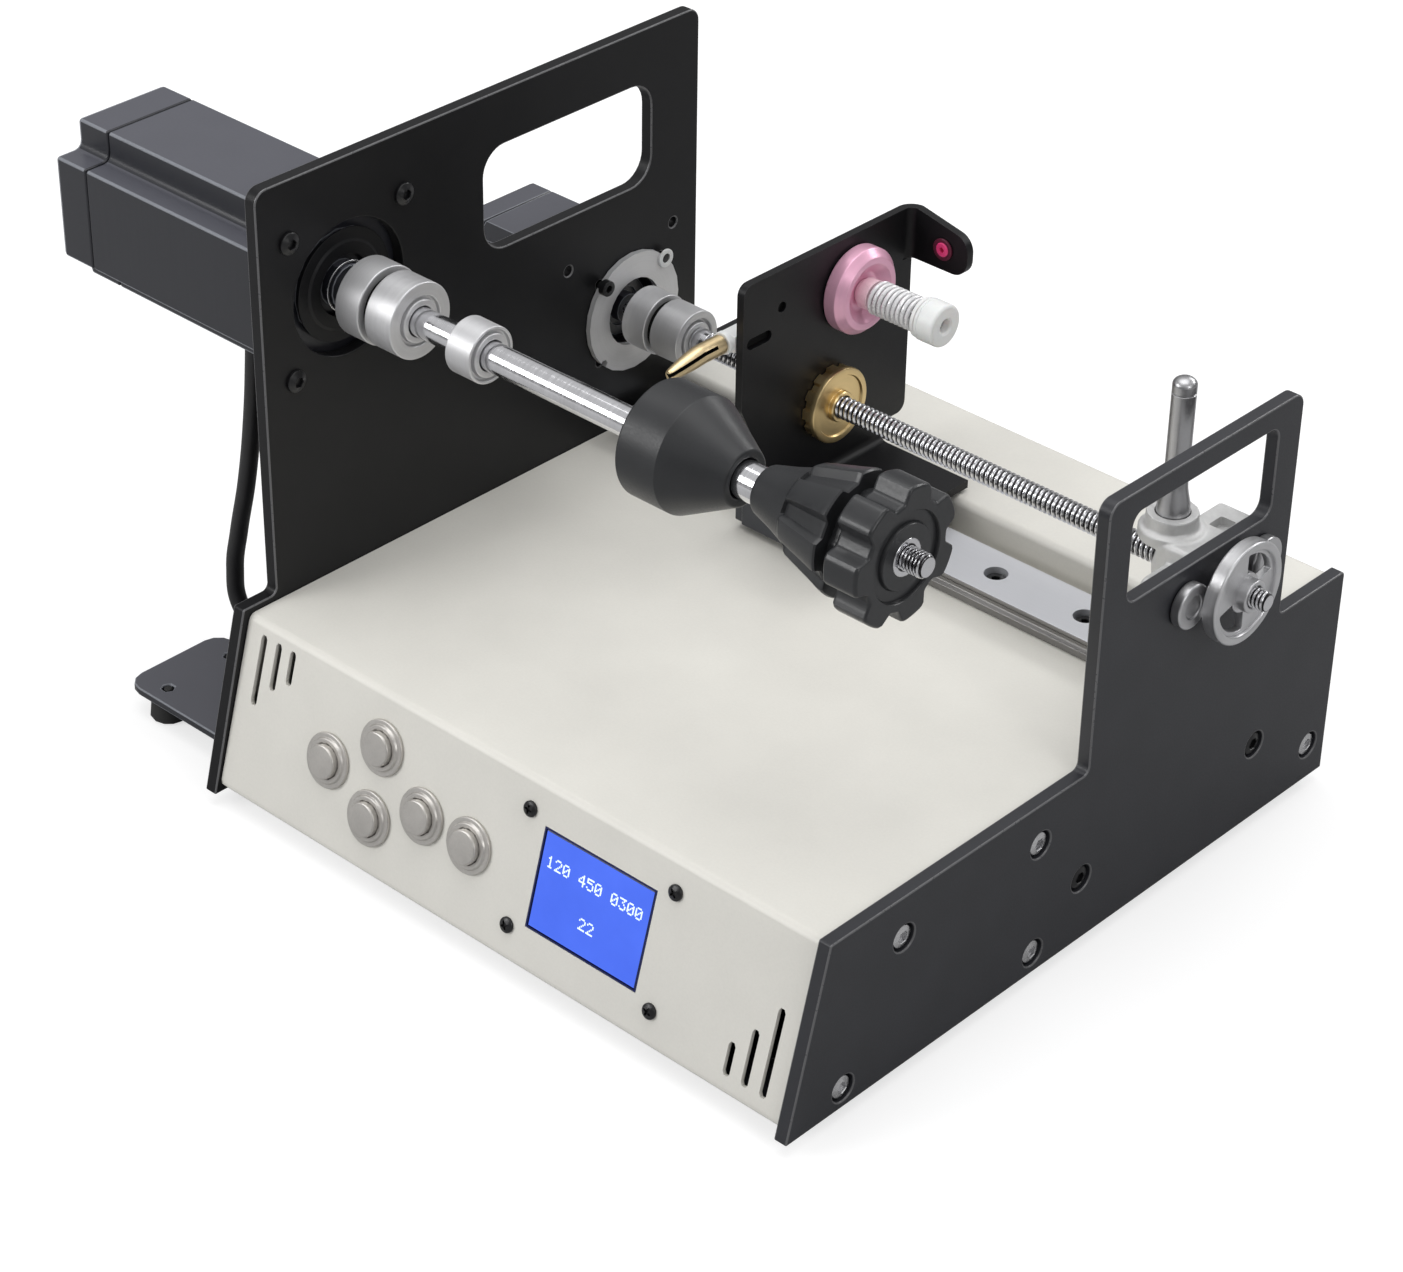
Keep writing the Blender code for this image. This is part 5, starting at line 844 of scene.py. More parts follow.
cap_head = screw_head("cap_head", 0.0039, 0.0012, 0.0021, 0.004, hexagon(0.0018), 0.0012, 0.0008, 0.0005)
small_cap_head = screw_head("small_cap_head", 0.0029, 0.0026, 0.0014, 0.0020, hexagon(0.0015), 0.0018)
plate_head = screw_head("plate_head", 0.0041, 0.0018, 0.0018, 0.0030, hexagon(0.0021), 0.0014, 0.0005,
                        0.0005)
bolt_head = screw_head("outrigger_head", 0.0036, 0.0032, 0.0019, 0.0030, hexagon(0.0019), 0.0020)
rail_head = screw_head("rail_head", 0.0034, 0.0026, 0.0016, 0.0024, hexagon(0.0016), 0.0020)
pan_head = screw_head("pan_head", 0.0027, 0.0010, 0.0013, 0.0020, cross(0.0015, 0.00038), 0.0009, 0.0005,
                      0.0005)
screw_heads = [cap_head, small_cap_head, plate_head, bolt_head, rail_head, pan_head]
print("screw heads:", [head.name for head in screw_heads])

# %% [markdown]
# The side plates are milled from 5 mm plate: straight edges, small fillets, a hand opening,
# and seats for the sunk screws that hold the cover between them. Their outlines are worked
# out from the machine's boxes and the two lines, so they stay in step with its pieces.

# %% Side plates
DECK, REAR_DECK = 0.0713, 0.0846
PLATE_BOTTOM, PLATE_BEND = 0.005, 0.0156
PLATE_REAR = span("base_cover", 1)[1]
SEAT_RADIUS, SEAT_DEPTH, SEAT_HOLE = 0.0049, 0.0027, 0.0022
PLATE_SCREW_SHARES = [(0.181, 0.804), (0.420, 0.804), (0.420, 0.188), (0.087, 0.180),
                      (0.964, 0.275), (0.504, 0.435), (0.841, 0.522)]
DECK_SHARE_HEIGHT = 0.069
PLATE_SCREWS = [(a * PLATE_REAR, b * DECK_SHARE_HEIGHT) for a, b in PLATE_SCREW_SHARES]
MOTOR_HOLE = 0.0280
BOLT_PLACES = [(0.1804, 0.115), (0.2196, 0.115)]


def plate_outline(front, back, top):
    return rounded([(-PLATE_LEAD, PLATE_BOTTOM, 0.0005), (PLATE_BEND, DECK, 0.001), (front, DECK, 0.0025),
                    (front, top, 0.005), (back, top, 0.005), (back, REAR_DECK, 0.0025),
                    (PLATE_REAR, REAR_DECK, 0.0015), (PLATE_REAR, PLATE_BOTTOM, 0.0005)])


def hand_opening(high, size, corner):
    low = (high[0] - size[0], high[1] - size[1])
    return rounded([(a, b, corner) for a, b in box_outline(low, high)])


def square(centre, half):
    return [(centre[0] + a * half, centre[1] + b * half) for a in (-1, 1) for b in (-1, 1)]


left_top, right_top = span("left_side_plate", 2)[1], span("right_side_plate", 2)[1]
left_back, right_back = SCREW[0] + 0.0342, SCREW[0] + 0.0366
cable_ways = [circle(0.0040, (0.0645, 0.0150)), circle(0.0040, (0.1970, 0.0440))]
outrigger_bolts = [(0.02804, 0.0235), (0.04696, 0.0235)]
spindle_motor_square = square(SPINDLE, 0.025)
left_loops = [plate_outline(SPINDLE[0] - 0.0380, left_back, left_top),
              hand_opening((left_back - 0.0237, left_top - 0.0199), (0.0810, 0.0382), 0.010),
              circle(0.0240, SPINDLE, 96), circle(0.0128, SCREW, 64)] + cable_ways
spare_holes = [(y, SCREW[1] + 0.0265) for y in (SCREW[0] - 0.0308, SCREW[0] + 0.0219)]
for hole, places in ((0.0020, spare_holes), (0.0026, spindle_motor_square), (0.0017, square(SCREW, 0.0155)),
                     (0.0022, outrigger_bolts)):
    left_loops += [circle(hole, place, 24) for place in places]
seat_outlines = [(circle(SEAT_RADIUS, place), circle(SEAT_HOLE, place)) for place in PLATE_SCREWS]
left_seats = [(seat, hole, SEAT_DEPTH - SIDE_PLATE) for seat, hole in seat_outlines]
# The left plate takes the darker copy of the plate black, which is painted shade on its inner face.
piece("side_plate_left", slab(left_loops, -SIDE_PLATE, 0, stepped=left_seats), (plate_painted_shade, plate_edge_wear_and_highlight),
      "left_side_plate")
# The faces round the motor hole take the painted-shade finish instead of the lighter edge finish.
for face in bpy.data.objects["side_plate_left"].data.polygons:
    if math.dist((face.center - Vector(BENCH))[1:], SPINDLE) < MOTOR_HOLE:
        face.material_index = 0

right_loops = [plate_outline(SCREW[0] - 0.0627, right_back, right_top),
               hand_opening((right_back - 0.0122, right_top - 0.0080), (0.0749, 0.0325), 0.0045),
               circle(0.0062, SCREW)] + [circle(0.0033, place, 32) for place in BOLT_PLACES]
outer = BASE_WIDTH + SIDE_PLATE
seat_floor = outer - SEAT_DEPTH
right_seats = [(hole, seat, seat_floor) for seat, hole in seat_outlines]
piece("side_plate_right", slab(right_loops, BASE_WIDTH, outer, stepped=right_seats),
      (plate_black, plate_edge_wear_and_highlight), "right_side_plate")

right_places = [(seat_floor, *place) for place in PLATE_SCREWS]
left_places = [(BASE_WIDTH - seat_floor, *place) for place in PLATE_SCREWS]
screws("plate_screws_right", plate_head, right_places[:5], "+X", screw_steel, 5)
screws("plate_screws_dark", plate_head, right_places[5:], "+X", screw_black, 6)
screws("plate_screws_left", plate_head, left_places, "-X", screw_steel, 7)
print("plate screws:", 2 * len(PLATE_SCREWS))

# %% [markdown]
# The cover is one bent sheet of steel: front lip, sloping panel, deck, step and rear deck.
# The machine's own solid has all its bends and cut-outs. Its cut edges only need the small
# round that a thick powder coat gives them.

# %% Base cover, bottom and outrigger
motor_finishes = (slate, slate_top_highlight, slate_edge_highlight)
# The cover's bends and cut edges take the lighter ivory, a painted highlight.
dressed("cover", "base_cover", (ivory, ivory_edge_highlight), 0.0004)
dressed("floor_tray", "bottom_plate", (plate_black, plate_edge_wear_and_highlight), 0.0003)
dressed("back_panel", "rear_panel", (plate_black, plate_edge_wear_and_highlight), 0.0003)
dressed("outrigger", "outrigger_plate", motor_finishes, 0.0005)
screws("outrigger_screws", bolt_head, [(-0.0080, *place) for place in outrigger_bolts], "-X", screw_black,
       11)
print("sheet parts dressed")

# %% [markdown]
# Both motors are square steppers. Cast caps hold a stack of thin stator plates between them,
# and the corners are cut back in a curve. Four screws in the front come through the plate.

# %% Motors
SEAM_BAND = 0.0010
PILOT_RING = 0.0200
dressed("spindle_motor_face", "spindle_motor_front_cap", motor_finishes, 0.0006)
dressed("spindle_motor_stack", "spindle_motor_stator", (laminated, slate_top_highlight, slate_edge_highlight), 0.0008)
dressed("spindle_motor_end", "spindle_motor_rear_cap", motor_finishes, 0.0008)
seams = span("spindle_motor_stator")
# Faces at the seams keep the plain paint, not the painted highlight of the edge finish.
for name in ("spindle_motor_face", "spindle_motor_stack", "spindle_motor_end"):
    for face in bpy.data.objects[name].data.polygons:
        if min(abs(face.center.x - BENCH[0] - seam) for seam in seams) < SEAM_BAND:
            face.material_index = 0
dressed("small_motor", "traverse_motor_body", motor_finishes, 0.0006)
dressed("flange_collar", "traverse_flange_ring", (flange_grey, screw_steel), 0.0003)
screws("spindle_motor_screws", cap_head, [(0, *place) for place in spindle_motor_square], "+X",
       screw_black, 21)
flange_screws = [(0.0023, SCREW[0] - 0.0155, SCREW[1] + 0.0155)]
screws("flange_screw", small_cap_head, flange_screws, "+X", screw_black, 22)
EAR = (SCREW[0] + 0.0155, SCREW[1] + 0.0155)
ear_washer = soft_ring(tube(0.0023, 0.0031, 0.0018, 0.0035), 0.0002, 3)
piece("flange_washer", turned(ear_washer, EAR, sides=40), nylon, body="base")
ear_screw = soft(tube(0.0003, 0.0029, 0, 0.0016), 0.0003)
piece("flange_washer_screw", turned(ear_screw, EAR, sides=32), screw_black, body="base")
pilot_profile = [(-0.0030, 0.0108), (-0.0030, PILOT_RING), (-0.0024, PILOT_RING), (-0.0024, 0.0160),
                 (-0.0019, 0.0150), (-0.0019, 0.0108)]
# The pilot ring takes the painted-shade copy of the plate black.
piece("spindle_pilot", turned(soft_ring(pilot_profile, 0.0002, 3), SPINDLE, sides=96), plate_painted_shade,
      body="base")
seal_ring = soft_ring(tube(-0.0012, -0.0005, 0.0083, 0.0091), 0.00025, 3)
piece("spindle_seal_ring", turned(seal_ring, SPINDLE, sides=64), screw_steel, body="base")
print("motors dressed")

# %% [markdown]
# Each motor's cable is a soft jacketed bundle. It hangs down from the motor, bends under its
# own weight and goes into the base. A tube along a smooth curve is all that it needs. Both
# its ends are held, so it is a fixed piece and no free cord.

# %% Motor cables
CABLE_RADIUS = 0.0032
SPINDLE_CABLE = [(-0.0450, 0.0645, 0.1432), (-0.0460, 0.0645, 0.1300), (-0.0490, 0.0645, 0.1050),
                 (-0.0540, 0.0645, 0.0780), (-0.0600, 0.0645, 0.0550), (-0.0635, 0.0645, 0.0380),
                 (-0.0620, 0.0645, 0.0240), (-0.0520, 0.0645, 0.0165), (-0.0350, 0.0645, 0.0150),
                 (-0.0150, 0.0645, 0.0150), (0.0060, 0.0645, 0.0150)]
TRAVERSE_CABLE = [(-0.0400, 0.2000, 0.0925), (-0.0400, 0.2000, 0.0800), (-0.0400, 0.1995, 0.0660),
                  (-0.0370, 0.1985, 0.0540), (-0.0280, 0.1975, 0.0460), (-0.0150, 0.1970, 0.0440),
                  (0.0060, 0.1970, 0.0440)]

tree, given = new_growth("cable", Radius=CABLE_RADIUS, Spacing=0.0012)
evenly = step(tree, "GeometryNodeResampleCurve", {"Curve": given["Shape"], "Length": given["Spacing"]},
              mode="LENGTH").outputs[0]
ring = step(tree, "GeometryNodeCurvePrimitiveCircle",
            {"Resolution": 24, "Radius": given["Radius"]}).outputs[0]
tube_inputs = {"Curve": evenly, "Profile Curve": ring, "Fill Caps": True}
cable_growth = end_growth(tree, given, step(tree, "GeometryNodeCurveToMesh", tube_inputs).outputs[0])


def smooth_curve(name, places):
    """A curve whose handles are worked out so that it runs smoothly through every place"""
    data = bpy.data.curves.new(name, "CURVE")
    data.dimensions = "3D"
    data.resolution_u = 12
    spline = data.splines.new("BEZIER")
    spline.bezier_points.add(len(places) - 1)
    for point, place in zip(spline.bezier_points, places):
        point.co = place
        point.handle_left_type = point.handle_right_type = "AUTO"
    return data


for name, node, places in (("spindle_cable", "spindle_motor_cable", SPINDLE_CABLE),
                           ("traverse_cable", "traverse_motor_cable", TRAVERSE_CABLE)):
    jacket = grown(name, cable_growth, smooth_curve(name, places), cable_black, Radius=CABLE_RADIUS)
    piece(name, jacket, cable_black, node)
print("cables done")

# %% [markdown]
# The spindle is a chain of turned parts on one line: a coupling with a groove, the shaft, a
# collar with its clamp screw, the matt cone, a chromed sleeve and a threaded stud.

# %% Spindle line
NOSE_GAP, NOSE_WIDTH, FACE_SINK, GAP_DEPTH = 0.0012, 0.0022, 0.0004, 0.0020
SET_SCREW_TURN = math.radians(15)


def set_screw(x, radius, line, name, node):
    """A small socket screw let into the rim of a ring, on the side away from the operator"""
    place = (x, *polar(radius, SET_SCREW_TURN, line))
    head = screw_head(name, 0.0017, 0.0003, 0.0014, 0.0015, hexagon(0.0010), 0.0006, 0, 0.00012)
    data = head.data
    data.transform(Matrix.Translation(place) @ Matrix.Rotation(SET_SCREW_TURN - math.pi / 2, 4, "X"))
    bpy.data.objects.remove(head)
    return piece(name, data, screw_black, body=body_of(node))


def nosed(profile, end, outer, bore):
    """Close a ring's profile with a face, a dark gap and a nose round the bore"""
    nose = bore + NOSE_WIDTH
    return profile + [(end - FACE_SINK, outer), (end - FACE_SINK, nose + NOSE_GAP),
                      (end - GAP_DEPTH, nose + NOSE_GAP), (end - GAP_DEPTH, nose), (end, nose), (end, bore)]


def coupling(name, node, xs, radii, bore, line, finish):
    """Two clamping halves with a groove between them, a near-black ring in it as painted shade, and a nose
    at the shaft
    """
    start, near, far, end = xs
    outer, groove = radii
    front_half = outer - 0.0005
    profile = [(start, bore), (start, outer), (near, outer), (near, groove), (far, groove),
               (far, front_half)]
    piece(name, turned(soft_ring(nosed(profile, end, front_half, bore)), line), finish, node)
    # A near-black ring in the groove is painted shade.
    groove_shade = soft_ring(tube(near + 0.0001, far - 0.0001, groove - 0.0001, groove + 0.0006), 0.0002, 3)
    piece(name + "_cushion", turned(groove_shade, line), hole_painted_shade, body=body_of(node))
    for number, middle_x in enumerate(((start + near) / 2, (far + end) / 2)):
        set_screw(middle_x, outer - 0.0001, line, f"{name}_screw_{number + 1}", node)


coupling("spindle_coupler", "spindle_coupling", (0.0080, 0.0188, 0.0214, 0.0340), (0.0138, 0.0106), 0.0053,
         SPINDLE, spindle_satin)
COLLAR = 0.0098
SHAFT, STUD, SLEEVE = 0.0050, 0.0040, 0.0062
STUD_START, STUD_DEPTH = 0.1768, 0.0007
collar_start, collar_end = span("shaft_collar")
collar_profile = nosed([(collar_start, SHAFT + ROOM), (collar_start, COLLAR)], collar_end, COLLAR,
                       SHAFT + ROOM)
piece("collar", turned(soft_ring(collar_profile), SPINDLE), spindle_satin, "shaft_collar")
set_screw((collar_start + collar_end) / 2, COLLAR - 0.0001, SPINDLE, "collar_screw", "shaft_collar")
shaft_start, stud_end = span("spindle_shaft")
shaft_profile = [(shaft_start, 0), (shaft_start, SHAFT), (STUD_START, SHAFT),
                 (STUD_START, STUD - STUD_DEPTH),
                 (stud_end - 0.0030, STUD - STUD_DEPTH), (stud_end - 0.0030, 0)]
piece("shaft", turned(soft(shaft_profile, 0.0003), SPINDLE), spindle_bright, "spindle_shaft")
sleeve_profile = [(0.160, SHAFT + ROOM), (0.160, SLEEVE), (0.200, SLEEVE), (0.200, STUD + ROOM),
                  (0.1771, STUD + ROOM), (0.1771, SHAFT + ROOM)]
piece("sleeve", turned(soft_ring(sleeve_profile, 0.0003), SPINDLE), spindle_bright, "spacer_sleeve")
print("shaft from", round(shaft_start, 4), "to", round(stud_end, 4))

# %% [markdown]
# The fixed cone is dull and plain: a soft lip, then one taper down to the sleeve. The clamp
# cone and the star knob are glossy mouldings with seven flat lands and round scallops between
# them. One formula gives that outline: a cosine pushed through tanh, which squares it off.

# %% Cones and star knob
LOBES = 7
LOBE_START = math.radians(-130)
LOBE_POINTS = LOBES * 20
LOBE_BIAS = 0.30
KNOB_STEEP = 3.2


def lobed(tip, valley, steep=KNOB_STEEP):
    """An outline with seven lands at the tip radius and scallops down to the valley radius"""
    outline = []
    for i in range(LOBE_POINTS):
        angle = LOBE_START + math.tau * i / LOBE_POINTS
        wave = math.tanh(steep * (math.cos(LOBES * (angle - LOBE_START)) + LOBE_BIAS))
        share = max(0.0, 0.5 + 0.5 * (wave / math.tanh(steep * (1 + LOBE_BIAS))))
        outline.append(polar(valley + (tip - valley) * share, angle, SPINDLE))
    return outline


def rim_sections(low, high, tip, valley, edge=0.0012, steps=5):
    """Lobed sections whose two rims are rounded over"""
    sections = []
    for level, sign in ((low, 1), (high, -1)):
        part = []
        for k in range(steps + 1):
            turn = math.pi / 2 * k / steps
            inset = edge * (1 - math.sin(turn))
            part.append((level + sign * edge * (1 - math.cos(turn)), lobed(tip - inset, valley - inset)))
        sections += part if sign > 0 else part[::-1]
    return sections


def bored(sections, radius, centre, sides=48):
    hole = circle(radius, centre, sides)
    return loft(sections, bore=[(sections[0][0], hole), (sections[-1][0], hole)])


cone_back, cone_waist, cone_tip, CONE = 0.1390, 0.1555, 0.1750, 0.0195
cone_profile = [(cone_back, SLEEVE + ROOM), (cone_back, CONE), (cone_waist, CONE), (cone_tip, 0.0093),
                (cone_tip, SLEEVE + ROOM)]
piece("cone", turned(soft_ring(cone_profile, 0.0010, 5), SPINDLE, sides=128), cone_black, "fixed_cone")

PARTING_SHIFT = 0.0055
CLAMP_LOW, CLAMP_HIGH = span("clamp_cone")
CLAMP_HIGH += PARTING_SHIFT
CLAMP_TIP, CLAMP_VALLEY, CLAMP_STEEP, MATT_SHARE = 0.0210, 0.0183, 5.0, 0.43
clamp_reach = CLAMP_HIGH - CLAMP_LOW
CLAMP_SHARES = [(0, 0.375, 0), (0.015, 0.392, 0), (0.04, 0.405, 0), (0.20, 0.49, 0), (0.34, 0.58, 0),
                (0.42, 0.640, 0), (0.435, 0.705, 0.9), (0.46, 0.735, 1.0), (0.56, 0.79, 1.0),
                (0.76, 0.895, 1.0),
                (0.88, 0.965, 1.0), (0.915, 0.975, 1.0), (0.93, 0.955, 1.0), (0.935, 0.70, 0.3),
                (1.0, 0.70, 0.3)]
clamp_sections = []
for along, out, lobe in CLAMP_SHARES:
    radius = CLAMP_TIP * out
    valley = radius - (CLAMP_TIP - CLAMP_VALLEY) * lobe
    clamp_sections.append((CLAMP_LOW + along * clamp_reach, lobed(radius, valley, CLAMP_STEEP)))
clamp_stop = 0.2083
wide_bore, narrow_bore = circle(SLEEVE + ROOM, SPINDLE, 48), circle(STUD + ROOM, SPINDLE, 48)
clamp = loft(clamp_sections,
             bore=[(CLAMP_LOW, wide_bore), (clamp_stop, wide_bore), (clamp_stop, narrow_bore),
                                   (CLAMP_HIGH, narrow_bore)])
for face in clamp.faces:
    if face.calc_center_median().x < CLAMP_LOW + MATT_SHARE * clamp_reach:
        face.material_index = 1
piece("clamp", clamp, (moulded_black, cone_black), "clamp_cone")

knob_start, knob_end = span("star_knob")
knob_start += PARTING_SHIFT
KNOB_LOW, KNOB_NECK = 0.2200 + PARTING_SHIFT, 0.0110
KNOB_TIP, KNOB_VALLEY = 0.0228, 0.0182
KNOB_DISH = [(0, 0.0151), (-0.0004, 0.0148), (-0.0014, 0.0146), (-0.0014, 0.0112), (-0.0004, 0.0109),
             (0, 0.0106)]
neck = lobed(KNOB_NECK, KNOB_NECK)
knob_sections = [(knob_start, neck), (KNOB_LOW, neck)]
knob_sections += rim_sections(KNOB_LOW, knob_end, KNOB_TIP, KNOB_VALLEY)
knob_sections += [(knob_end + level, lobed(radius, radius)) for level, radius in KNOB_DISH]
piece("knob", bored(knob_sections, STUD + ROOM, SPINDLE), moulded_black, "star_knob")
insert = soft_ring(tube(knob_end - 0.0016, knob_end + 0.0002, STUD + ROOM, 0.0062), 0.0004)
piece("knob_insert", turned(insert, SPINDLE, sides=64), spindle_bright, body=body_of("star_knob"))
print("clamp and knob, lobes:", LOBES)

# %% [markdown]
# A thread is a thin cylinder whose radius follows a wave: how far round plus how far along,
# over the pitch, gives the place in the groove. Geometry Nodes make the cylinder and move its
# points, and the wave fades out at both ends, where a real thread runs out.

# %% Threads
tree, given = new_growth("thread", Radius=0.004, Depth=0.0005, Pitch=0.002, Start=0.0, Length=0.1, Rings=600,
                         Flat=1.6, Line=(0.0, 0.0, 0.0))
barrel = step(tree, "GeometryNodeMeshCylinder",
              {"Vertices": 40, "Side Segments": given["Rings"], "Radius": 1.0,
                                                 "Depth": given["Length"]}, fill_type="NGON")
where = step(tree, "ShaderNodeSeparateXYZ", {0: step(tree, "GeometryNodeInputPosition").outputs[0]}).outputs
angle = reckon(tree, "ARCTAN2", where["Y"], where["X"])
turns = reckon(tree, "DIVIDE", where["Z"], given["Pitch"])
phase = reckon(tree, "MULTIPLY_ADD", angle, -1 / math.tau, turns)
wave = reckon(tree, "PINGPONG", phase, 0.5)
wave = reckon(tree, "MULTIPLY_ADD", wave, 4.0, -1.0)
wave = reckon(tree, "MULTIPLY_ADD", wave, given["Flat"], 0.5)
wave = reckon(tree, "MINIMUM", reckon(tree, "MAXIMUM", wave, 0.0), 1.0)
half = reckon(tree, "MULTIPLY", given["Length"], 0.5)
left = reckon(tree, "SUBTRACT", half, reckon(tree, "ABSOLUTE", where["Z"]))
fade = reckon(tree, "MINIMUM", reckon(tree, "DIVIDE", left, given["Pitch"]), 1.0)
groove = reckon(tree, "MULTIPLY", wave, given["Depth"])
reach = reckon(tree, "SUBTRACT", given["Radius"], groove)
narrow = reckon(tree, "MULTIPLY", reckon(tree, "SUBTRACT", 1.0, fade), given["Depth"])
reach = reckon(tree, "MINIMUM", reach, reckon(tree, "SUBTRACT", given["Radius"], narrow))
flat_place = step(tree, "ShaderNodeCombineXYZ", {"X": where["X"], "Y": where["Y"]}).outputs[0]
scaled = step(tree, "ShaderNodeVectorMath", {0: flat_place, "Scale": reach}, operation="SCALE").outputs[0]
risen = step(tree, "ShaderNodeCombineXYZ", {"Z": where["Z"]}).outputs[0]
there = step(tree, "ShaderNodeVectorMath", {0: scaled, 1: risen}, operation="ADD").outputs[0]
moved = step(tree, "GeometryNodeSetPosition",
             {"Geometry": barrel.outputs["Mesh"], "Position": there}).outputs[0]
centre_x = reckon(tree, "ADD", given["Start"], half)
centre = step(tree, "ShaderNodeCombineXYZ", {"X": centre_x}).outputs[0]
centre = step(tree, "ShaderNodeVectorMath", {0: centre, 1: given["Line"]}, operation="ADD").outputs[0]
laid = step(tree, "GeometryNodeTransform", {"Geometry": moved, "Translation": centre,
                                            "Rotation": (0, math.pi / 2, 0)}).outputs[0]
thread_growth = end_growth(tree, given, laid)


def thread(name, line, start, end, radius, pitch, depth, finish, per_turn=8, flat=1.6):
    """A threaded rod along X between two places, on the line (y, z)"""
    rings = int((end - start) / pitch * per_turn)
    return grown(name, thread_growth, points_mesh(name, [(0, 0, 0)]), finish, Radius=radius, Depth=depth,
                 Pitch=pitch, Start=start, Length=end - start, Rings=rings, Flat=flat, Line=(0, *line))


STUD_PITCH, SCREW_PITCH, TAIL_PITCH = 0.00125, 0.002, 0.0015
stud_steel = threaded_finish("stud_steel", "polished_steel", BRIGHT, (0.20, 0.05), SPINDLE, STUD, STUD_DEPTH)
stud_thread = thread("stud_thread", SPINDLE, STUD_START + 0.0004, stud_end, STUD, STUD_PITCH, STUD_DEPTH,
                     stud_steel)
piece("stud_thread", stud_thread, stud_steel, body="spindle")

# %% [markdown]
# The lead screw has a trapezoid thread of 2 mm pitch from the coupling to its journal, which
# runs in the end block's bearing and carries the handwheel outside the right plate. A short
# plain collar joins it to the coupling.

# %% Lead screw, coupling and handwheel
LEAD, LEAD_DEPTH, SCREW_COLLAR = 0.0040, 0.0009, 0.0048
JOURNAL, TAIL_DEPTH, TAIL_GROOVE = 0.0035, 0.0007, 0.0008
JOURNAL_START, THREAD_START = BASE_WIDTH - 0.0145, 0.0352
coupling("screw_coupler", "traverse_coupling", (0.0065, 0.0172, 0.0196, 0.0330), (0.0112, 0.0086), 0.0043,
         SCREW,
         screw_satin)
lead_start, lead_end = span("lead_screw")
core = LEAD - LEAD_DEPTH - 0.0001
journal_profile = [(lead_start, 0), (lead_start, core), (JOURNAL_START - 0.0012, core),
                   (JOURNAL_START - 0.0012, LEAD - 0.0002), (JOURNAL_START, LEAD - 0.0002),
                   (JOURNAL_START, JOURNAL),
                   (lead_end - 0.0100, JOURNAL), (lead_end - 0.0100, JOURNAL - TAIL_GROOVE),
                   (lead_end - 0.0004, JOURNAL - TAIL_GROOVE), (lead_end - 0.0004, 0)]
journal = mesh_of("journal", turned(soft(journal_profile, 0.0002), SCREW, sides=64))
lead_steel = threaded_finish("lead_steel", "polished_steel", BRIGHT, (0.22, 0.05), SCREW, LEAD, LEAD_DEPTH)
tail_steel = threaded_finish("tail_steel", "polished_steel", BRIGHT, (0.22, 0.05), SCREW, JOURNAL,
                             TAIL_DEPTH)
ribs = thread("ribs", SCREW, THREAD_START, JOURNAL_START - 0.0014, LEAD, SCREW_PITCH, LEAD_DEPTH,
              lead_steel, 8, 0.9)
tail = thread("tail", SCREW, lead_end - 0.0102, lead_end, JOURNAL, TAIL_PITCH, TAIL_DEPTH, tail_steel, 10,
              1.0)
collar_ring = soft_ring(tube(0.0331, 0.0394, core - 0.0002, SCREW_COLLAR), 0.0003)
screw_body = body_of("lead_screw")
piece("leadscrew_collar", turned(collar_ring, SCREW, sides=64), screw_bright, body=screw_body)
piece("leadscrew", journal, screw_bright, "lead_screw")
piece("leadscrew_ribs", ribs, lead_steel, body=screw_body)
piece("leadscrew_tail", tail, tail_steel, body=screw_body)

WHEEL_X = (BASE_WIDTH + 0.0105, BASE_WIDTH + 0.0160)
WEB_X = (BASE_WIDTH + 0.0118, BASE_WIDTH + 0.0147)
HUB_X = (BASE_WIDTH + 0.0055, BASE_WIDTH + 0.0185)
WHEEL, WHEEL_RIM, WHEEL_HUB = 0.0178, 0.0030, 0.0056
WINDOW_INSET, WINDOW_HALF_TURN, WINDOW_CORNER = 0.0013, math.radians(38), 0.0012
WINDOW_TURNS = [math.radians(turn) for turn in (52, 232)]


def kidney(middle_angle, inner, outer, steps=14):
    """A window between two circles about the screw's line, with its corners rounded"""
    low, high = middle_angle - WINDOW_HALF_TURN, middle_angle + WINDOW_HALF_TURN
    arc = [low + (high - low) * k / steps for k in range(steps + 1)]
    outline = [(*polar(outer, angle, SCREW), 0) for angle in arc]
    outline += [(*polar(inner, angle, SCREW), 0) for angle in arc[::-1]]
    for corner in (0, steps, steps + 1, 2 * steps + 1):
        outline[corner] = (*outline[corner][:2], WINDOW_CORNER)
    return rounded(outline, 5)


web_out = WHEEL - WHEEL_RIM
rim = turned(soft_ring(tube(*WHEEL_X, web_out, WHEEL), 0.0009, 5), SCREW)
windows = [kidney(turn, WHEEL_HUB + WINDOW_INSET, web_out - WINDOW_INSET) for turn in WINDOW_TURNS]
web = slab([circle(web_out + 0.0002, SCREW, 96), circle(JOURNAL + 0.0005, SCREW)] + windows, *WEB_X,
           edge=0.0004)
hub = turned(soft_ring(tube(*HUB_X, JOURNAL + ROOM, WHEEL_HUB), 0.0006), SCREW, sides=64)
piece("wheel", together(rim, web, hub), (wheel_satin, wheel_satin), "handwheel")
print("handwheel windows:", len(windows))

# %% [markdown]
# The rail is ground steel with a groove down each side. Its holes are counterbored, so each
# screw sits below the surface and the carriage can pass. The profile is drawn once, pulled
# along the rail and then drilled with a Boolean, and a fine bevel brightens every rim.

# %% Rail and its screws


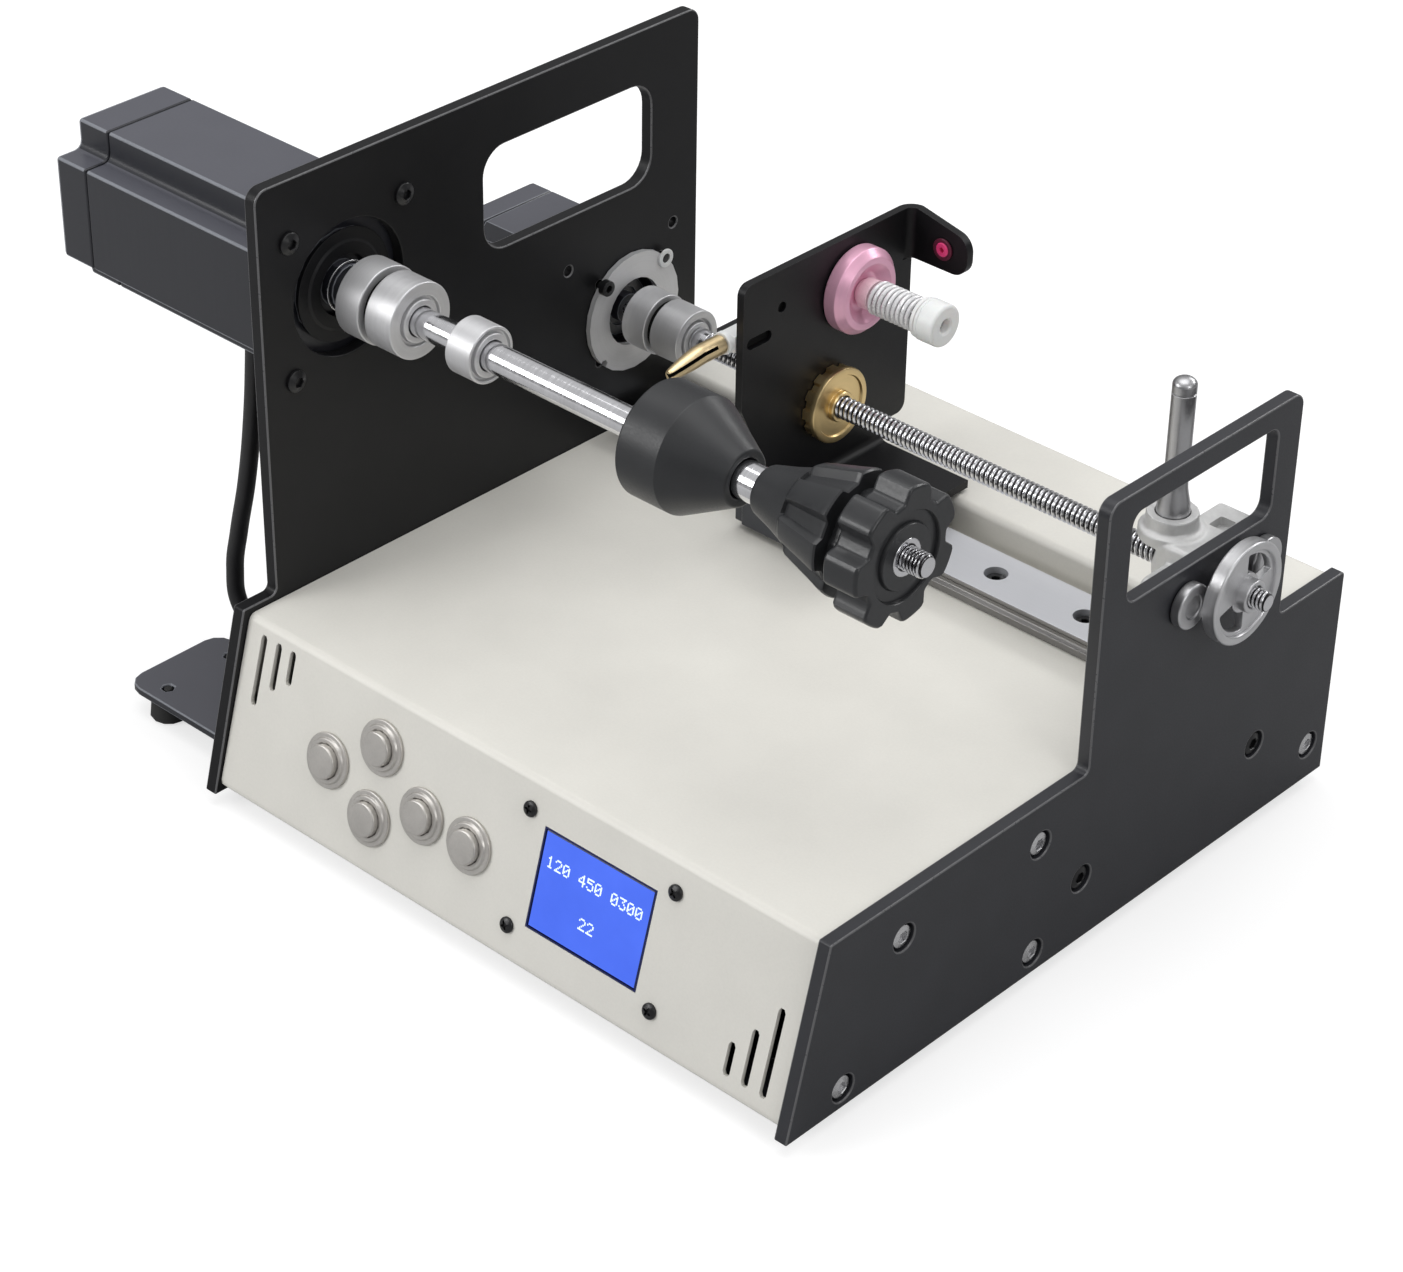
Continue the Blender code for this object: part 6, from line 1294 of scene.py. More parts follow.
def carved(name, shape, cutters, edge, finish):
    """Drill a shape and break its edges, as a plain mesh"""
    holder = held(name, mesh_of(name, shape))
    cutter = held(name + "_cutter", mesh_of(name + "_cutter", together(*cutters)))
    drill = holder.modifiers.new("drill", "BOOLEAN")
    drill.operation = "DIFFERENCE"
    drill.solver = "EXACT"
    drill.object = cutter
    holder.data.materials.append(finish)
    if edge:
        bevelled(holder, edge, 2, 30, 0)
    data = settled(holder)
    bpy.data.objects.remove(cutter)
    return data


RAIL_LOW, RAIL_TOP = span("linear_rail", 2)
RAIL_Y = sum(span("linear_rail", 1)) / 2
rail_start, rail_end = span("linear_rail")
RAIL_HALF, RAIL_GROOVE, RAIL_PITCH, RAIL_MARGIN = 0.0120, 0.0012, 0.038, 0.014
RAIL_SINK, RAIL_SINK_DEPTH, RAIL_HOLE, THROUGH = 0.0042, 0.0045, 0.0020, 0.01
rail_height = RAIL_TOP - RAIL_LOW
half_profile = [(RAIL_HALF, 0, 0.0004), (RAIL_HALF, rail_height / 3, 0.0003),
                (RAIL_HALF - RAIL_GROOVE, rail_height / 3 + RAIL_GROOVE, 0.0006),
                (RAIL_HALF - RAIL_GROOVE, 2 * rail_height / 3, 0.0006),
                (RAIL_HALF, 2 * rail_height / 3 + RAIL_GROOVE, 0.0003), (RAIL_HALF, rail_height, 0.0005)]
rail_outline = [(RAIL_Y + a, RAIL_LOW + b, r) for a, b, r in half_profile]
rail_outline = rounded(rail_outline + [(RAIL_Y - a, RAIL_LOW + b, r) for a, b, r in half_profile[::-1]], 3)
rail_places = [(rail_start + RAIL_MARGIN + i * RAIL_PITCH, RAIL_Y) for i in range(6)]
seat = RAIL_TOP - RAIL_SINK_DEPTH
counterbore = [(RAIL_LOW - THROUGH, 0), (RAIL_LOW - THROUGH, RAIL_HOLE), (seat, RAIL_HOLE),
               (seat, RAIL_SINK),
               (RAIL_TOP + THROUGH, RAIL_SINK), (RAIL_TOP + THROUGH, 0)]
drills = [turned(counterbore, place, "Z", 48) for place in rail_places]
rail_shape = loft([(rail_start, rail_outline), (rail_end, rail_outline)])
rail = carved("rail", rail_shape, drills, 0.0003, rail_ground)
rail.materials.append(rail_side)
for face in rail.polygons:
    if abs(face.normal.y) > 0.4 and abs(face.center.y - RAIL_Y) > RAIL_HALF - RAIL_GROOVE - 0.0004:
        face.material_index = 1
piece("rail", rail, (rail_ground, rail_side), "linear_rail")
screws("rail_screws", rail_head, [(*place, seat) for place in rail_places], "+Z", screw_black, 31)
print("rail holes:", len(rail_places))

# %% [markdown]
# The end block is a casting with a stepped boss on top. Its corners and the roots of the boss
# flow into each other, so the block and the boss are joined, remeshed in half-millimetre
# steps and smoothed. Machined holes are cut afterwards, because they stay sharp.

# %% End block, bearing, bolts and post
BLOCK_FACE, BLOCK_THICK, BLOCK_HALF = BASE_WIDTH - 0.0003, 0.0132, 0.0245
block_low, block_top = SCREW[1] - 0.0160, SCREW[1] + 0.0115
block_near, block_far = SCREW[0] - BLOCK_HALF, SCREW[0] + BLOCK_HALF
LUG_THICK, LUG_TOP, LUG_JOIN, LUG_LAP = 0.0090, 0.1195, SCREW[0] - 0.0105, 0.002
POST_PLACE = (BASE_WIDTH - 0.0157, SCREW[0])
BOSS_FOOT, BOSS_STEP, BOSS_CROWN = [SCREW[1] + rise for rise in (0.0085, 0.0122, 0.0175)]
BOSS_RADII = (0.0108, 0.0086)
POST, POST_FLARE, POST_FOOT = 0.0040, 0.0056, SCREW[1] + 0.0078
MELT, MELT_ROUNDS = 0.0005, 5
BEARING_WAY, BEARING_SEAT, BEARING_DEPTH = 0.0046, 0.0083, 0.0053
POCKET_LONG, POCKET_WIDE, POCKET_DEEP = 0.0070, 0.0060, 0.0030
lug_outline = rounded([(block_near, block_low, 0.006), (block_near, LUG_TOP, 0.003),
                       (LUG_JOIN + LUG_LAP, LUG_TOP, 0), (LUG_JOIN + LUG_LAP, block_low, 0)])
block_outline = rounded([(LUG_JOIN, block_low, 0), (LUG_JOIN, block_top, 0.002),
                         (block_far, block_top, 0.002),
                         (block_far, block_low, 0.006)])
bearing_boss = [(BLOCK_FACE - 0.0165, 0), (BLOCK_FACE - 0.0165, 0.0082), (BLOCK_FACE - 0.0100, 0.0088),
                (BLOCK_FACE - 0.0100, 0)]
boss_profile = [(BOSS_FOOT, 0), (BOSS_FOOT, BOSS_RADII[0]), (BOSS_STEP, BOSS_RADII[0]),
                (BOSS_STEP + 0.0006, BOSS_RADII[1]), (BOSS_CROWN, BOSS_RADII[1]), (BOSS_CROWN, 0)]
casting = together(loft([(BLOCK_FACE - BLOCK_THICK, block_outline), (BLOCK_FACE, block_outline)]),
                   loft([(BLOCK_FACE - LUG_THICK, lug_outline), (BLOCK_FACE, lug_outline)]),
                   turned(bearing_boss, SCREW), turned(boss_profile, POST_PLACE, "Z"))
holder = held("casting", mesh_of("casting", casting))
melt = holder.modifiers.new("melt", "REMESH")
melt.mode = "VOXEL"
melt.voxel_size = MELT
ease = holder.modifiers.new("ease", "SMOOTH")
ease.factor = 0.5
ease.iterations = MELT_ROUNDS
casting = bmesh.new()
casting.from_mesh(settled(holder))
way = [(BLOCK_FACE - 0.03, 0), (BLOCK_FACE - 0.03, BEARING_WAY), (BLOCK_FACE - BEARING_DEPTH, BEARING_WAY),
       (BLOCK_FACE - BEARING_DEPTH, BEARING_SEAT), (BLOCK_FACE + THROUGH, BEARING_SEAT),
       (BLOCK_FACE + THROUGH, 0)]
pocket_x, pocket_y = BLOCK_FACE - 0.0018, SCREW[0] + BOSS_RADII[1] + 0.0018 + 0.0060
pocket_corners = box_outline((pocket_x - POCKET_WIDE, pocket_y - POCKET_LONG), (pocket_x, pocket_y))
pocket = rounded([(*corner, 0.0008) for corner in pocket_corners], 4)
post_seat = tube(POST_FOOT - ROOM, BOSS_CROWN + THROUGH, 0, POST_FLARE + ROOM)
cutters = [turned(way, SCREW, sides=48), turned(post_seat, POST_PLACE, "Z", 48),
           loft([(block_top - POCKET_DEEP, pocket), (block_top + THROUGH, pocket)], "Z")]
bolt_way = tube(BLOCK_FACE - 0.0085, BLOCK_FACE + THROUGH, 0, 0.0033)
cutters += [turned(bolt_way, place, sides=32) for place in BOLT_PLACES]
piece("pillow_block", carved("pillow_block", casting, cutters, 0, cast), cast, "end_block")
keep("end_bearing", screw_bright)

BOLT, BOLT_HEAD, BOLT_DISH, BOLT_SINK = 0.0030, 0.0078, 0.0042, 0.0006
bolt_seat = outer + 0.0003
bolt_crown = bolt_seat + 0.0038
bolt_profile = [(BLOCK_FACE - 0.008, 0), (BLOCK_FACE - 0.008, BOLT), (bolt_seat, BOLT),
                (bolt_seat, BOLT_HEAD),
                (bolt_crown, BOLT_HEAD), (bolt_crown, BOLT_DISH),
                (bolt_crown - BOLT_SINK, BOLT_DISH - 0.0003),
                (bolt_crown - BOLT_SINK, 0)]
for number, place in enumerate(BOLT_PLACES, 1):
    bolt_finish = turned_finish(f"bolt_{number}", "polished_steel", (0.56, 0.56, 0.57), (0.36, 0.05), place)
    piece(f"bolt_{number}", turned(soft(bolt_profile, 0.0007, 4), place, sides=64), bolt_finish,
          f"end_block_bolt_{number}")

POST_TAPER, POST_DOME, DOME_STEPS, SEAM_HALF = 0.0105, 0.0026, 9, 0.0003
post_top = span("guide_post", 2)[1]
post_seam = post_top - 0.0056
post_profile = [(POST_FOOT, 0), (POST_FOOT, POST_FLARE), (BOSS_CROWN, POST_FLARE)]
for k in range(1, 7):
    share = k / 6
    ease_in = share * share * (3 - 2 * share)
    post_profile.append((BOSS_CROWN + POST_TAPER * share, POST_FLARE + (POST - POST_FLARE) * ease_in))
post_profile += [(post_seam, POST), (post_seam + SEAM_HALF, POST - 0.0004),
                 (post_seam + 2 * SEAM_HALF, POST)]
for k in range(DOME_STEPS):
    turn = math.pi / 2 * k / DOME_STEPS
    post_profile.append((post_top - POST_DOME + POST_DOME * math.sin(turn), POST * math.cos(turn)))
piece("post", turned(post_profile + [(post_top, 0)], POST_PLACE, "Z", 64), post_satin, "guide_post")
print("end block done, post top at", round(post_top, 4))

# %% [markdown]
# The bracket is one 3 mm sheet, folded twice: a foot over the carriage and a horn at its
# back. Its middle surface is drawn flat, with true bends, then Solidify gives the thickness
# and a bevel the soft edges. The relief cut under the horn lets the corner bend cleanly.

# %% Carriage and bracket
CARRIAGE_X, SHEET, FOLD = 0.091, 0.0030, 0.0030
CARRIAGE_TOP = 0.0835
BEND_STEPS = 8


def ring_edges(bm, ring):
    return [bm.edges.new(pair) for pair in zip(ring, ring[1:] + ring[:1])]


def filled(bm, loops, level, axis):
    edges = []
    for loop in loops:
        edges += ring_edges(bm, ring_of(bm, loop, level, axis))
    bmesh.ops.triangle_fill(bm, use_beauty=True, edges=edges)


def bend(bm, ends, pivot, radius, turn):
    rows = []
    for k in range(BEND_STEPS + 1):
        a, b = polar(radius, math.pi + turn * k / BEND_STEPS, pivot)
        rows.append([bm.verts.new(end(a, b)) for end in ends])
    for (p, q), (r, t) in zip(rows, rows[1:]):
        bm.faces.new((p, q, t, r))


wall, floor = CARRIAGE_X + SHEET / 2, CARRIAGE_TOP + SHEET / 2
radius = FOLD + SHEET / 2
pivot, sill = wall + radius, floor + radius
near, far = SCREW[0] - 0.0290, SCREW[0] + 0.0290
top, front, rear = SCREW[1] + 0.0595, SCREW[0] - 0.0440, SCREW[0] + 0.0430 - SHEET / 2
crease, horn = rear - radius, SCREW[1] + 0.0405
upright = rounded([(near, sill, 0), (SCREW[0] - 0.0350, SCREW[1] - 0.0055, 0.004),
                   (front, SCREW[1] + 0.0130, 0.004), (front, top, 0.004), (crease, top, 0),
                   (crease, horn, 0),
                   (crease, horn - 0.0006, 0), (rear, horn - 0.0006, 0), (rear, sill + 0.004, 0.004),
                   (far, sill + 0.004, 0), (far, sill, 0)], 6)
slide = SCREW[1] + 0.0373
slide_ends = [(SCREW[0] - 0.0400, slide), (SCREW[0] - 0.0320, slide)]
wire_hole = (0.1750, 0.1595)
holes = [circle(0.0057, SCREW, 32), circle(0.0023, TENSION, 24), circle(0.0020, wire_hole, 24),
         slot(*slide_ends, 0.0021, 8)]
sheet = bmesh.new()
filled(sheet, [upright] + holes, wall, "X")
bend(sheet, [lambda a, b: (a, near, b), lambda a, b: (a, far, b)], (pivot, sill), radius, math.pi / 2)
filled(sheet, [box_outline((pivot, near), (CARRIAGE_X + 0.0430, far))], floor, "Z")
bend(sheet, [lambda a, b: (a, b, horn), lambda a, b: (a, b, top)], (pivot, crease), radius, -math.pi / 2)
ARM_END, ARM_CORNER = CARRIAGE_X + 0.0285, 0.0064
arm = rounded([(pivot, horn, 0), (ARM_END, horn, ARM_CORNER), (ARM_END, SCREW[1] + 0.0548, ARM_CORNER),
               (pivot, top, 0)], 10)
EYELET = (CARRIAGE_X + 0.0180, SCREW[1] + 0.0485)
filled(sheet, [arm, circle(0.0030, EYELET, 32)], rear, "Y")
bmesh.ops.remove_doubles(sheet, verts=sheet.verts, dist=0.000001)
bmesh.ops.recalc_face_normals(sheet, faces=sheet.faces)
holder = held("bracket", mesh_of("bracket", sheet))
thicken = holder.modifiers.new("thicken", "SOLIDIFY")
thicken.thickness = SHEET
thicken.offset = 0
thicken.use_even_offset = True
# The bracket takes the painted-shade copy of the plate black, with the lighter edge finish on its rims.
coat(holder.data, (plate_painted_shade, plate_edge_wear_and_highlight))
bevelled(holder, 0.0006, 3, 50, 1)
piece("bracket", settled(holder), (plate_painted_shade, plate_edge_wear_and_highlight), "carriage_bracket")
dressed("carriage", "carriage_block", (carriage_grey, plate_edge_wear_and_highlight), 0.0004)
print("bracket and carriage done")

# %% [markdown]
# The nut is turned brass. A notched ring behind a plain lip takes a hook spanner. The face is
# sunk between the lip and the collar round the screw.

# %% Nut
BRACKET_FACE = CARRIAGE_X + SHEET
NUT, NUT_LAND, NUT_VALLEY, NOTCHES, NOTCH_POINTS = 0.0138, 0.0134, 0.0121, 12, 12
SPIGOT, NUT_COLLAR, NUT_SINK = 0.0054, 0.0056, 0.0007
NUT_POINTS = NOTCHES * NOTCH_POINTS


def notched(land, valley):
    outline = []
    for i in range(NUT_POINTS):
        share = (i % NOTCH_POINTS) / NOTCH_POINTS
        outline.append(polar(valley if 0.30 < share < 0.72 else land, math.tau * i / NUT_POINTS, SCREW))
    return outline


def nut_rounds(*rounds):
    return [(level, circle(out, SCREW, NUT_POINTS)) for level, out in rounds]


low = BRACKET_FACE + 0.0003
high = low + 0.0055
lip = high - 0.0022
notches = notched(NUT_LAND, NUT_VALLEY)
nut_sections = nut_rounds((CARRIAGE_X - 0.0060, SPIGOT - 0.0004), (CARRIAGE_X - 0.0056, SPIGOT),
                          (low, SPIGOT))
nut_sections += [(low, notches), (lip, notches)]
nut_sections += nut_rounds((lip, NUT - 0.0003), (lip + 0.0003, NUT), (high - 0.0006, NUT),
                           (high - 0.0002, NUT - 0.0002), (high, NUT - 0.0006), (high, 0.0114),
                           (high - NUT_SINK, 0.0110), (high - NUT_SINK, NUT_COLLAR + 0.0001),
                           (high - 0.0006, NUT_COLLAR), (high + 0.0008, NUT_COLLAR),
                           (high + 0.0012, NUT_COLLAR - 0.0004))
piece("brass_nut", bored(nut_sections, LEAD + ROOM, SCREW, NUT_POINTS), nut_brass, "traverse_nut")
print("nut notches:", NOTCHES)

# %% [markdown]
# The wire guide is a brass nozzle that tapers to one side, with a slit from which the wire
# leaves; the slit's walls are painted shade. It stands in a nylon bush that slides along the
# bracket's slot. The slot and the wire hole have a near-black slab sunk in them, which is
# painted shade. The eyelet is a red ring with a darker seat on each side.

# %% Wire guide and eyelet
GUIDE = (CARRIAGE_X - 0.0043, slide)
GUIDE_WIDE, GUIDE_NARROW, GUIDE_DROP, GUIDE_SIDES = 0.0034, 0.0019, 0.0020, 40
guide_seat = front - 0.0025
guide_root = guide_seat - 0.0003
guide_tip = guide_root - 0.0250
waist = guide_root - (guide_root - guide_tip) * 0.42


def guide_round(out, drop=0):
    return circle(out, (GUIDE[0], GUIDE[1] - drop), GUIDE_SIDES)


nozzle = [(guide_tip, guide_round(0.0014, GUIDE_DROP))]
for k in range(13):
    share = k / 12
    level = guide_tip + 0.0004 + (waist - guide_tip) * share
    out = GUIDE_NARROW + (GUIDE_WIDE - GUIDE_NARROW) * math.sin(share * math.pi / 2) ** 0.9
    nozzle.append((level, guide_round(out, GUIDE_DROP * (1 - share))))
nozzle += [(guide_root - 0.0004, guide_round(GUIDE_WIDE)), (guide_root, guide_round(GUIDE_WIDE - 0.0004))]
SLIT, SLIT_TURN, SLIT_START, SLIT_OUT = 0.0006, math.radians(28), -0.0002, 0.02
slit_line, slit_face = polar(1.0, SLIT_TURN), polar(1.0, SLIT_TURN + math.pi / 2)


def slit_section(drop):
    """The slit's outline, from the guide's line out through its upper right side"""
    corners = []
    for out, across in ((SLIT_START, -SLIT), (SLIT_OUT, -SLIT), (SLIT_OUT, SLIT), (SLIT_START, SLIT)):
        corners.append((GUIDE[0] + slit_line[0] * out + slit_face[0] * across,
                        GUIDE[1] - drop + slit_line[1] * out + slit_face[1] * across))
    return corners


slit_box = loft([(guide_tip - 0.01, slit_section(GUIDE_DROP)), (guide_tip, slit_section(GUIDE_DROP)),
                 (waist, slit_section(0)), (guide_root - 0.0045, slit_section(0))], "Y")
tip = carved("tip", loft(nozzle, "Y"), [slit_box], 0.00012, tip_brass)
# The faces of the slit's walls take the near-black finish: painted shade in the slit.
tip.materials.append(hole_painted_shade)
for face in tip.polygons:
    drop = GUIDE_DROP * min(1, max(0, (waist - face.center.y) / (waist - guide_tip)))
    off = Vector((face.center.x - GUIDE[0], face.center.z - GUIDE[1] + drop))
    along, across = off.dot(Vector(slit_line)), off.dot(Vector(slit_face))
    if along > -0.0003 and abs(across) < SLIT + 0.00005 and off.length < GUIDE_WIDE - 0.0001:
        face.material_index = 1
piece("brass_tip", tip, (tip_brass, hole_painted_shade), "wire_guide_tip")
BUSH, BUSH_WIDE, SHANK_HALF = 0.0040, 0.0022, 0.0030
bush_profile = soft_ring(tube(guide_seat, guide_seat + BUSH_WIDE, 0, BUSH), 0.0004)
bush_high = span("guide_bush", 1)[1]
shank_outline = box_outline((CARRIAGE_X - 0.0066, slide - SHANK_HALF),
                            (CARRIAGE_X - 0.0003, slide + SHANK_HALF))
shank_block = loft([(guide_seat + BUSH_WIDE - 0.0002, shank_outline), (bush_high, shank_outline)], "Y")
piece("tip_bush", together(turned(bush_profile, GUIDE, "Y", 48), shank_block), nylon, "guide_bush")

# Near-black slabs in the slot and the wire hole: painted shade.
SHADE_SINK = 0.0012
slot_shades = [slot(*slide_ends, 0.0019, 8), circle(0.0018, wire_hole, 32)]
for number, outline in enumerate(slot_shades, 1):
    slot_shade = slab([outline], CARRIAGE_X + 0.0003, CARRIAGE_X + SHEET - SHADE_SINK)
    piece(f"bracket_shield_{number}", slot_shade, (hole_painted_shade, hole_painted_shade), body="carriage")

eyelet_red = finish("eyelet_red", "ruby", (0.78, 0.05, 0.20), (0.22, 0.05), 0.08, 200, 900, coat_weight=0.4)
eyelet_dark = finish("eyelet_seat", "ruby", (0.10, 0.01, 0.03), (0.34, 0.05), 0.08, 200, 900)
eyelet_back = SCREW[0] + 0.0430
eyelet_face = eyelet_back - SHEET
EYE_POINTS = 40
EYE_RISES = [(0.0012, 0.0010), (0.0012, 0.0023), (0.0009, 0.0026), (0.0003, 0.0026), (0.0003, 0.0024)]
eye_profile = [(eyelet_face - rise, out) for rise, out in EYE_RISES]
eye_profile += [(eyelet_back + rise, out) for rise, out in EYE_RISES[::-1]]
piece("eyelet", turned(eye_profile, EYELET, "Y", EYE_POINTS), eyelet_red, "wire_eyelet")
for name, near_y, far_y in (("eyelet_front_seat", eyelet_face - 0.0009, eyelet_face - 0.0001),
                            ("eyelet_back_seat", eyelet_back + 0.0001, eyelet_back + 0.0009)):
    seat_profile = soft_ring(tube(near_y, far_y, 0.0027, 0.0040), 0.0002, 3)
    piece(name, turned(seat_profile, EYELET, "Y", EYE_POINTS), eyelet_dark, body="carriage")
print("guide and eyelet done")

# %% [markdown]
# The tensioner is a stack on one post: the rose disc that the wire goes round, a pale hub, a
# coil spring, a washer and a knob. The spring is a tube along a spiral, made by nodes. It
# rests on the carriage at one end and on the washer at the other.

# %% Wire tensioner
DISC, HUB, WASHER, KNOB, SHANK = 0.0155, 0.0055, 0.0072, 0.0076, 0.0020
DISC_LOW = BRACKET_FACE + 0.0003
disc_high, disc_floor = DISC_LOW + 0.0080, DISC_LOW + 0.0040
HUB_LOW, HUB_LENGTH, HUB_STEP = disc_floor + 0.0003, 0.0061, 0.0018
SPRING_LOW, SPRING_LENGTH = HUB_LOW + HUB_LENGTH + 0.0003, 0.0199
WASHER_LOW, WASHER_THICK = SPRING_LOW + SPRING_LENGTH + 0.0003, 0.0015
KNOB_START = WASHER_LOW + WASHER_THICK + 0.0003
knob_top = KNOB_START + 0.0083
disc_profile = [(DISC_LOW, SHANK + ROOM, 0.0001), (DISC_LOW, DISC - 0.0006, 0.0003),
                (DISC_LOW + 0.0006, DISC, 0.0003), (disc_high - 0.0028, DISC, 0.0008),
                (disc_high, DISC - 0.0026, 0.0008), (disc_high, 0.0108, 0.0008),
                (disc_floor + 0.0004, 0.0068, 0.0020), (disc_floor, SHANK + ROOM, 0.0001)]
piece("rose_disc", turned(rounded(disc_profile, 4), TENSION, sides=128), rose, "tension_disc")

hub_pale = finish("pale_hub", "white_nylon", (0.86, 0.62, 0.68), (0.32, 0.05), 0.05, 150, 900,
                  coat_weight=0.3)
hub_profile = [(HUB_LOW, SHANK), (HUB_LOW, HUB - 0.0012), (HUB_LOW + HUB_STEP, HUB - 0.0012),
               (HUB_LOW + HUB_STEP, HUB), (HUB_LOW + HUB_LENGTH, HUB), (HUB_LOW + HUB_LENGTH, SHANK)]
post_low, post_high = span("tension_post")
back_hexagon = [(a + TENSION[0], b + TENSION[1]) for a, b in hexagon(0.0042)]
back_nut = loft([(CARRIAGE_X - 0.0034, back_hexagon), (CARRIAGE_X - 0.0003, back_hexagon)])
post_shank = turned(soft(tube(post_low, post_high - 0.0014, 0, SHANK), 0.0003), TENSION, sides=48)
piece("tension_shank", together(post_shank, back_nut), screw_steel, "tension_post")
piece("tension_hub", turned(soft_ring(hub_profile, 0.0003), TENSION, sides=64), hub_pale, body="carriage")

tree, given = new_growth("spring", Turns=9.0, Radius=0.0054, Wire=0.0005, Length=0.02, Place=(0.0, 0.0, 0.0))
spiral_inputs = {"Resolution": 28, "Rotations": given["Turns"], "Start Radius": given["Radius"],
                 "End Radius": given["Radius"], "Height": given["Length"]}
spiral = step(tree, "GeometryNodeCurveSpiral", spiral_inputs).outputs[0]
round_wire = step(tree, "GeometryNodeCurvePrimitiveCircle", {"Resolution": 10, "Radius": given["Wire"]})
coil_inputs = {"Curve": spiral, "Profile Curve": round_wire.outputs[0], "Fill Caps": True}
coil = step(tree, "GeometryNodeCurveToMesh", coil_inputs).outputs[0]
laid = step(tree, "GeometryNodeTransform", {"Geometry": coil, "Translation": given["Place"],
                                            "Rotation": (0, math.pi / 2, 0)}).outputs[0]
spring_growth = end_growth(tree, given, laid)
WIRE, COILS, COIL_RADIUS = 0.00078, 9.0, 0.0054
spring_white = finish("spring_white", "white_nylon", (0.80, 0.80, 0.81), (0.30, 0.05), 0.04, 150, 900,
                      metallic=0.25)
coil_mesh = grown("spring", spring_growth, points_mesh("spring", [(0, 0, 0)]), spring_white, Turns=COILS,
                  Wire=WIRE, Radius=COIL_RADIUS, Length=SPRING_LENGTH - 2 * WIRE,
                  Place=(SPRING_LOW + WIRE, *TENSION))
spring = free_piece("spring", coil_mesh, spring_white)
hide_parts("tension_spring")
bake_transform(spring)

washer_profile = soft_ring(tube(WASHER_LOW, WASHER_LOW + WASHER_THICK, SHANK + ROOM, WASHER), 0.0003)
piece("washer", turned(washer_profile, TENSION, sides=64), nylon, "spring_washer")
knob_profile = [(KNOB_START, SHANK + ROOM, 0.0001), (KNOB_START, KNOB, 0.0005),
                (KNOB_START + 0.0012, KNOB, 0.0002), (KNOB_START + 0.0015, KNOB - 0.0004, 0.0002),
                (KNOB_START + 0.0018, KNOB, 0.0002), (knob_top, KNOB, 0.0012), (knob_top, 0.0032, 0.0004),
                (knob_top - 0.0006, 0.0026, 0.0003), (knob_top - 0.0030, SHANK + ROOM, 0.0001)]
piece("knob_white", turned(rounded(knob_profile, 4), TENSION, sides=96), nylon, "tension_knob")
print("tensioner stack from", round(DISC_LOW, 4), "to", round(knob_top, 4))

# %% [markdown]
# The panel leans back, so its parts are made lying flat and then carried onto it by one
# matrix. Each button has a stepped bezel and a cap with a soft rim. The bezels stand a
# twentieth of a millimetre round the switch bodies' own, to be perfectly round.

# %% Front panel buttons
COVER_BOTTOM = 0.0065
PANEL_SETBACK, PANEL_RISE = 0.018, 0.0625
PANEL_TILT = math.atan2(PANEL_RISE, PANEL_SETBACK)
PANEL_LENGTH = math.hypot(PANEL_SETBACK, PANEL_RISE)
PANEL = Matrix.Translation((0, 0, COVER_BOTTOM)) @ Matrix.Rotation(PANEL_TILT, 4, "X")
FACING["panel"] = (PANEL_TILT, 0, 0)
BUTTON_SHARES = [(0.1855, 0.492), (0.2733, 0.715), (0.2733, 0.323), (0.3608, 0.492), (0.4470, 0.484)]


def panel_place(shares):
    return (shares[0] * BASE_WIDTH, shares[1] * PANEL_LENGTH)


def on_panel(shape):
    shape.transform(PANEL)
    return shape


BEZEL, BEZEL_STEP, BEZEL_BORE, CAP, CAP_FLAT = 0.00955, 0.0080, 0.00625, 0.0059, 0.0030
cap_low, cap_high = -0.0027, 0.0043
bezel_profile = [(0.0001, BEZEL_BORE, 0.0001), (0.0001, BEZEL, 0.0002), (0.00125, BEZEL, 0.0004),
                 (0.00125, BEZEL_STEP, 0.00015), (0.00205, BEZEL_STEP - 0.0004, 0.0004),
                 (0.00205, BEZEL_BORE, 0.0002)]
cap_profile = [(cap_low, 0, 0), (cap_low, CAP, 0.0003), (cap_high - 0.0002, CAP, 0.0006),
               (cap_high, CAP_FLAT, 0.001), (cap_high, 0, 0)]
dressed("switches", "button_switches", button_satin, 0.0002)
for number, shares in enumerate(BUTTON_SHARES, 1):
    place = panel_place(shares)
    bezel = on_panel(turned(rounded(bezel_profile, 4), place, "Z", 72))
    piece(f"bezel_{number}", bezel, button_satin, body="base")
    cap = on_panel(turned(rounded(cap_profile, 5), place, "Z", 72))
    piece(f"cap_{number}", cap, button_satin, f"button_cap_{number}")
print("buttons:", len(BUTTON_SHARES))

# %% [markdown]
# The display is a blue backlit window with a dark frame line round it, which is painted shade.
# The numbers are drawn with square dots, five by seven for each figure, as such a module
# draws them. Each lit dot is a point, and nodes put a thin square on it.

# %% Display


def lit_finish(name, cloud, tones, colour, gloss, **sockets):
    """A surface with a slightly uneven glow, and an uneven gloss if that has two numbers"""
    made, tree = blank_finish(name, "blue_glass")
    where = step(tree, "ShaderNodeTexCoord").outputs["Object"]
    lit = step(tree, "ShaderNodeValToRGB", {"Fac": between(tree, speckle(tree, where, cloud), 0.0, 1.0)})
    for stop, tone in zip(lit.color_ramp.elements, tones):
        stop.color = (*tone, 1)
    shine = between(tree, speckle(tree, where, 300), *gloss) if len(gloss) == 2 else gloss[0]
    inputs = {"Base Color": (*colour, 1), "Roughness": shine, "Emission Color": lit.outputs[0]}
    shader = step(tree, "ShaderNodeBsdfPrincipled", {**inputs, **socket_names(sockets)})
    step(tree, "ShaderNodeOutputMaterial", {"Surface": shader.outputs[0]})
    return made


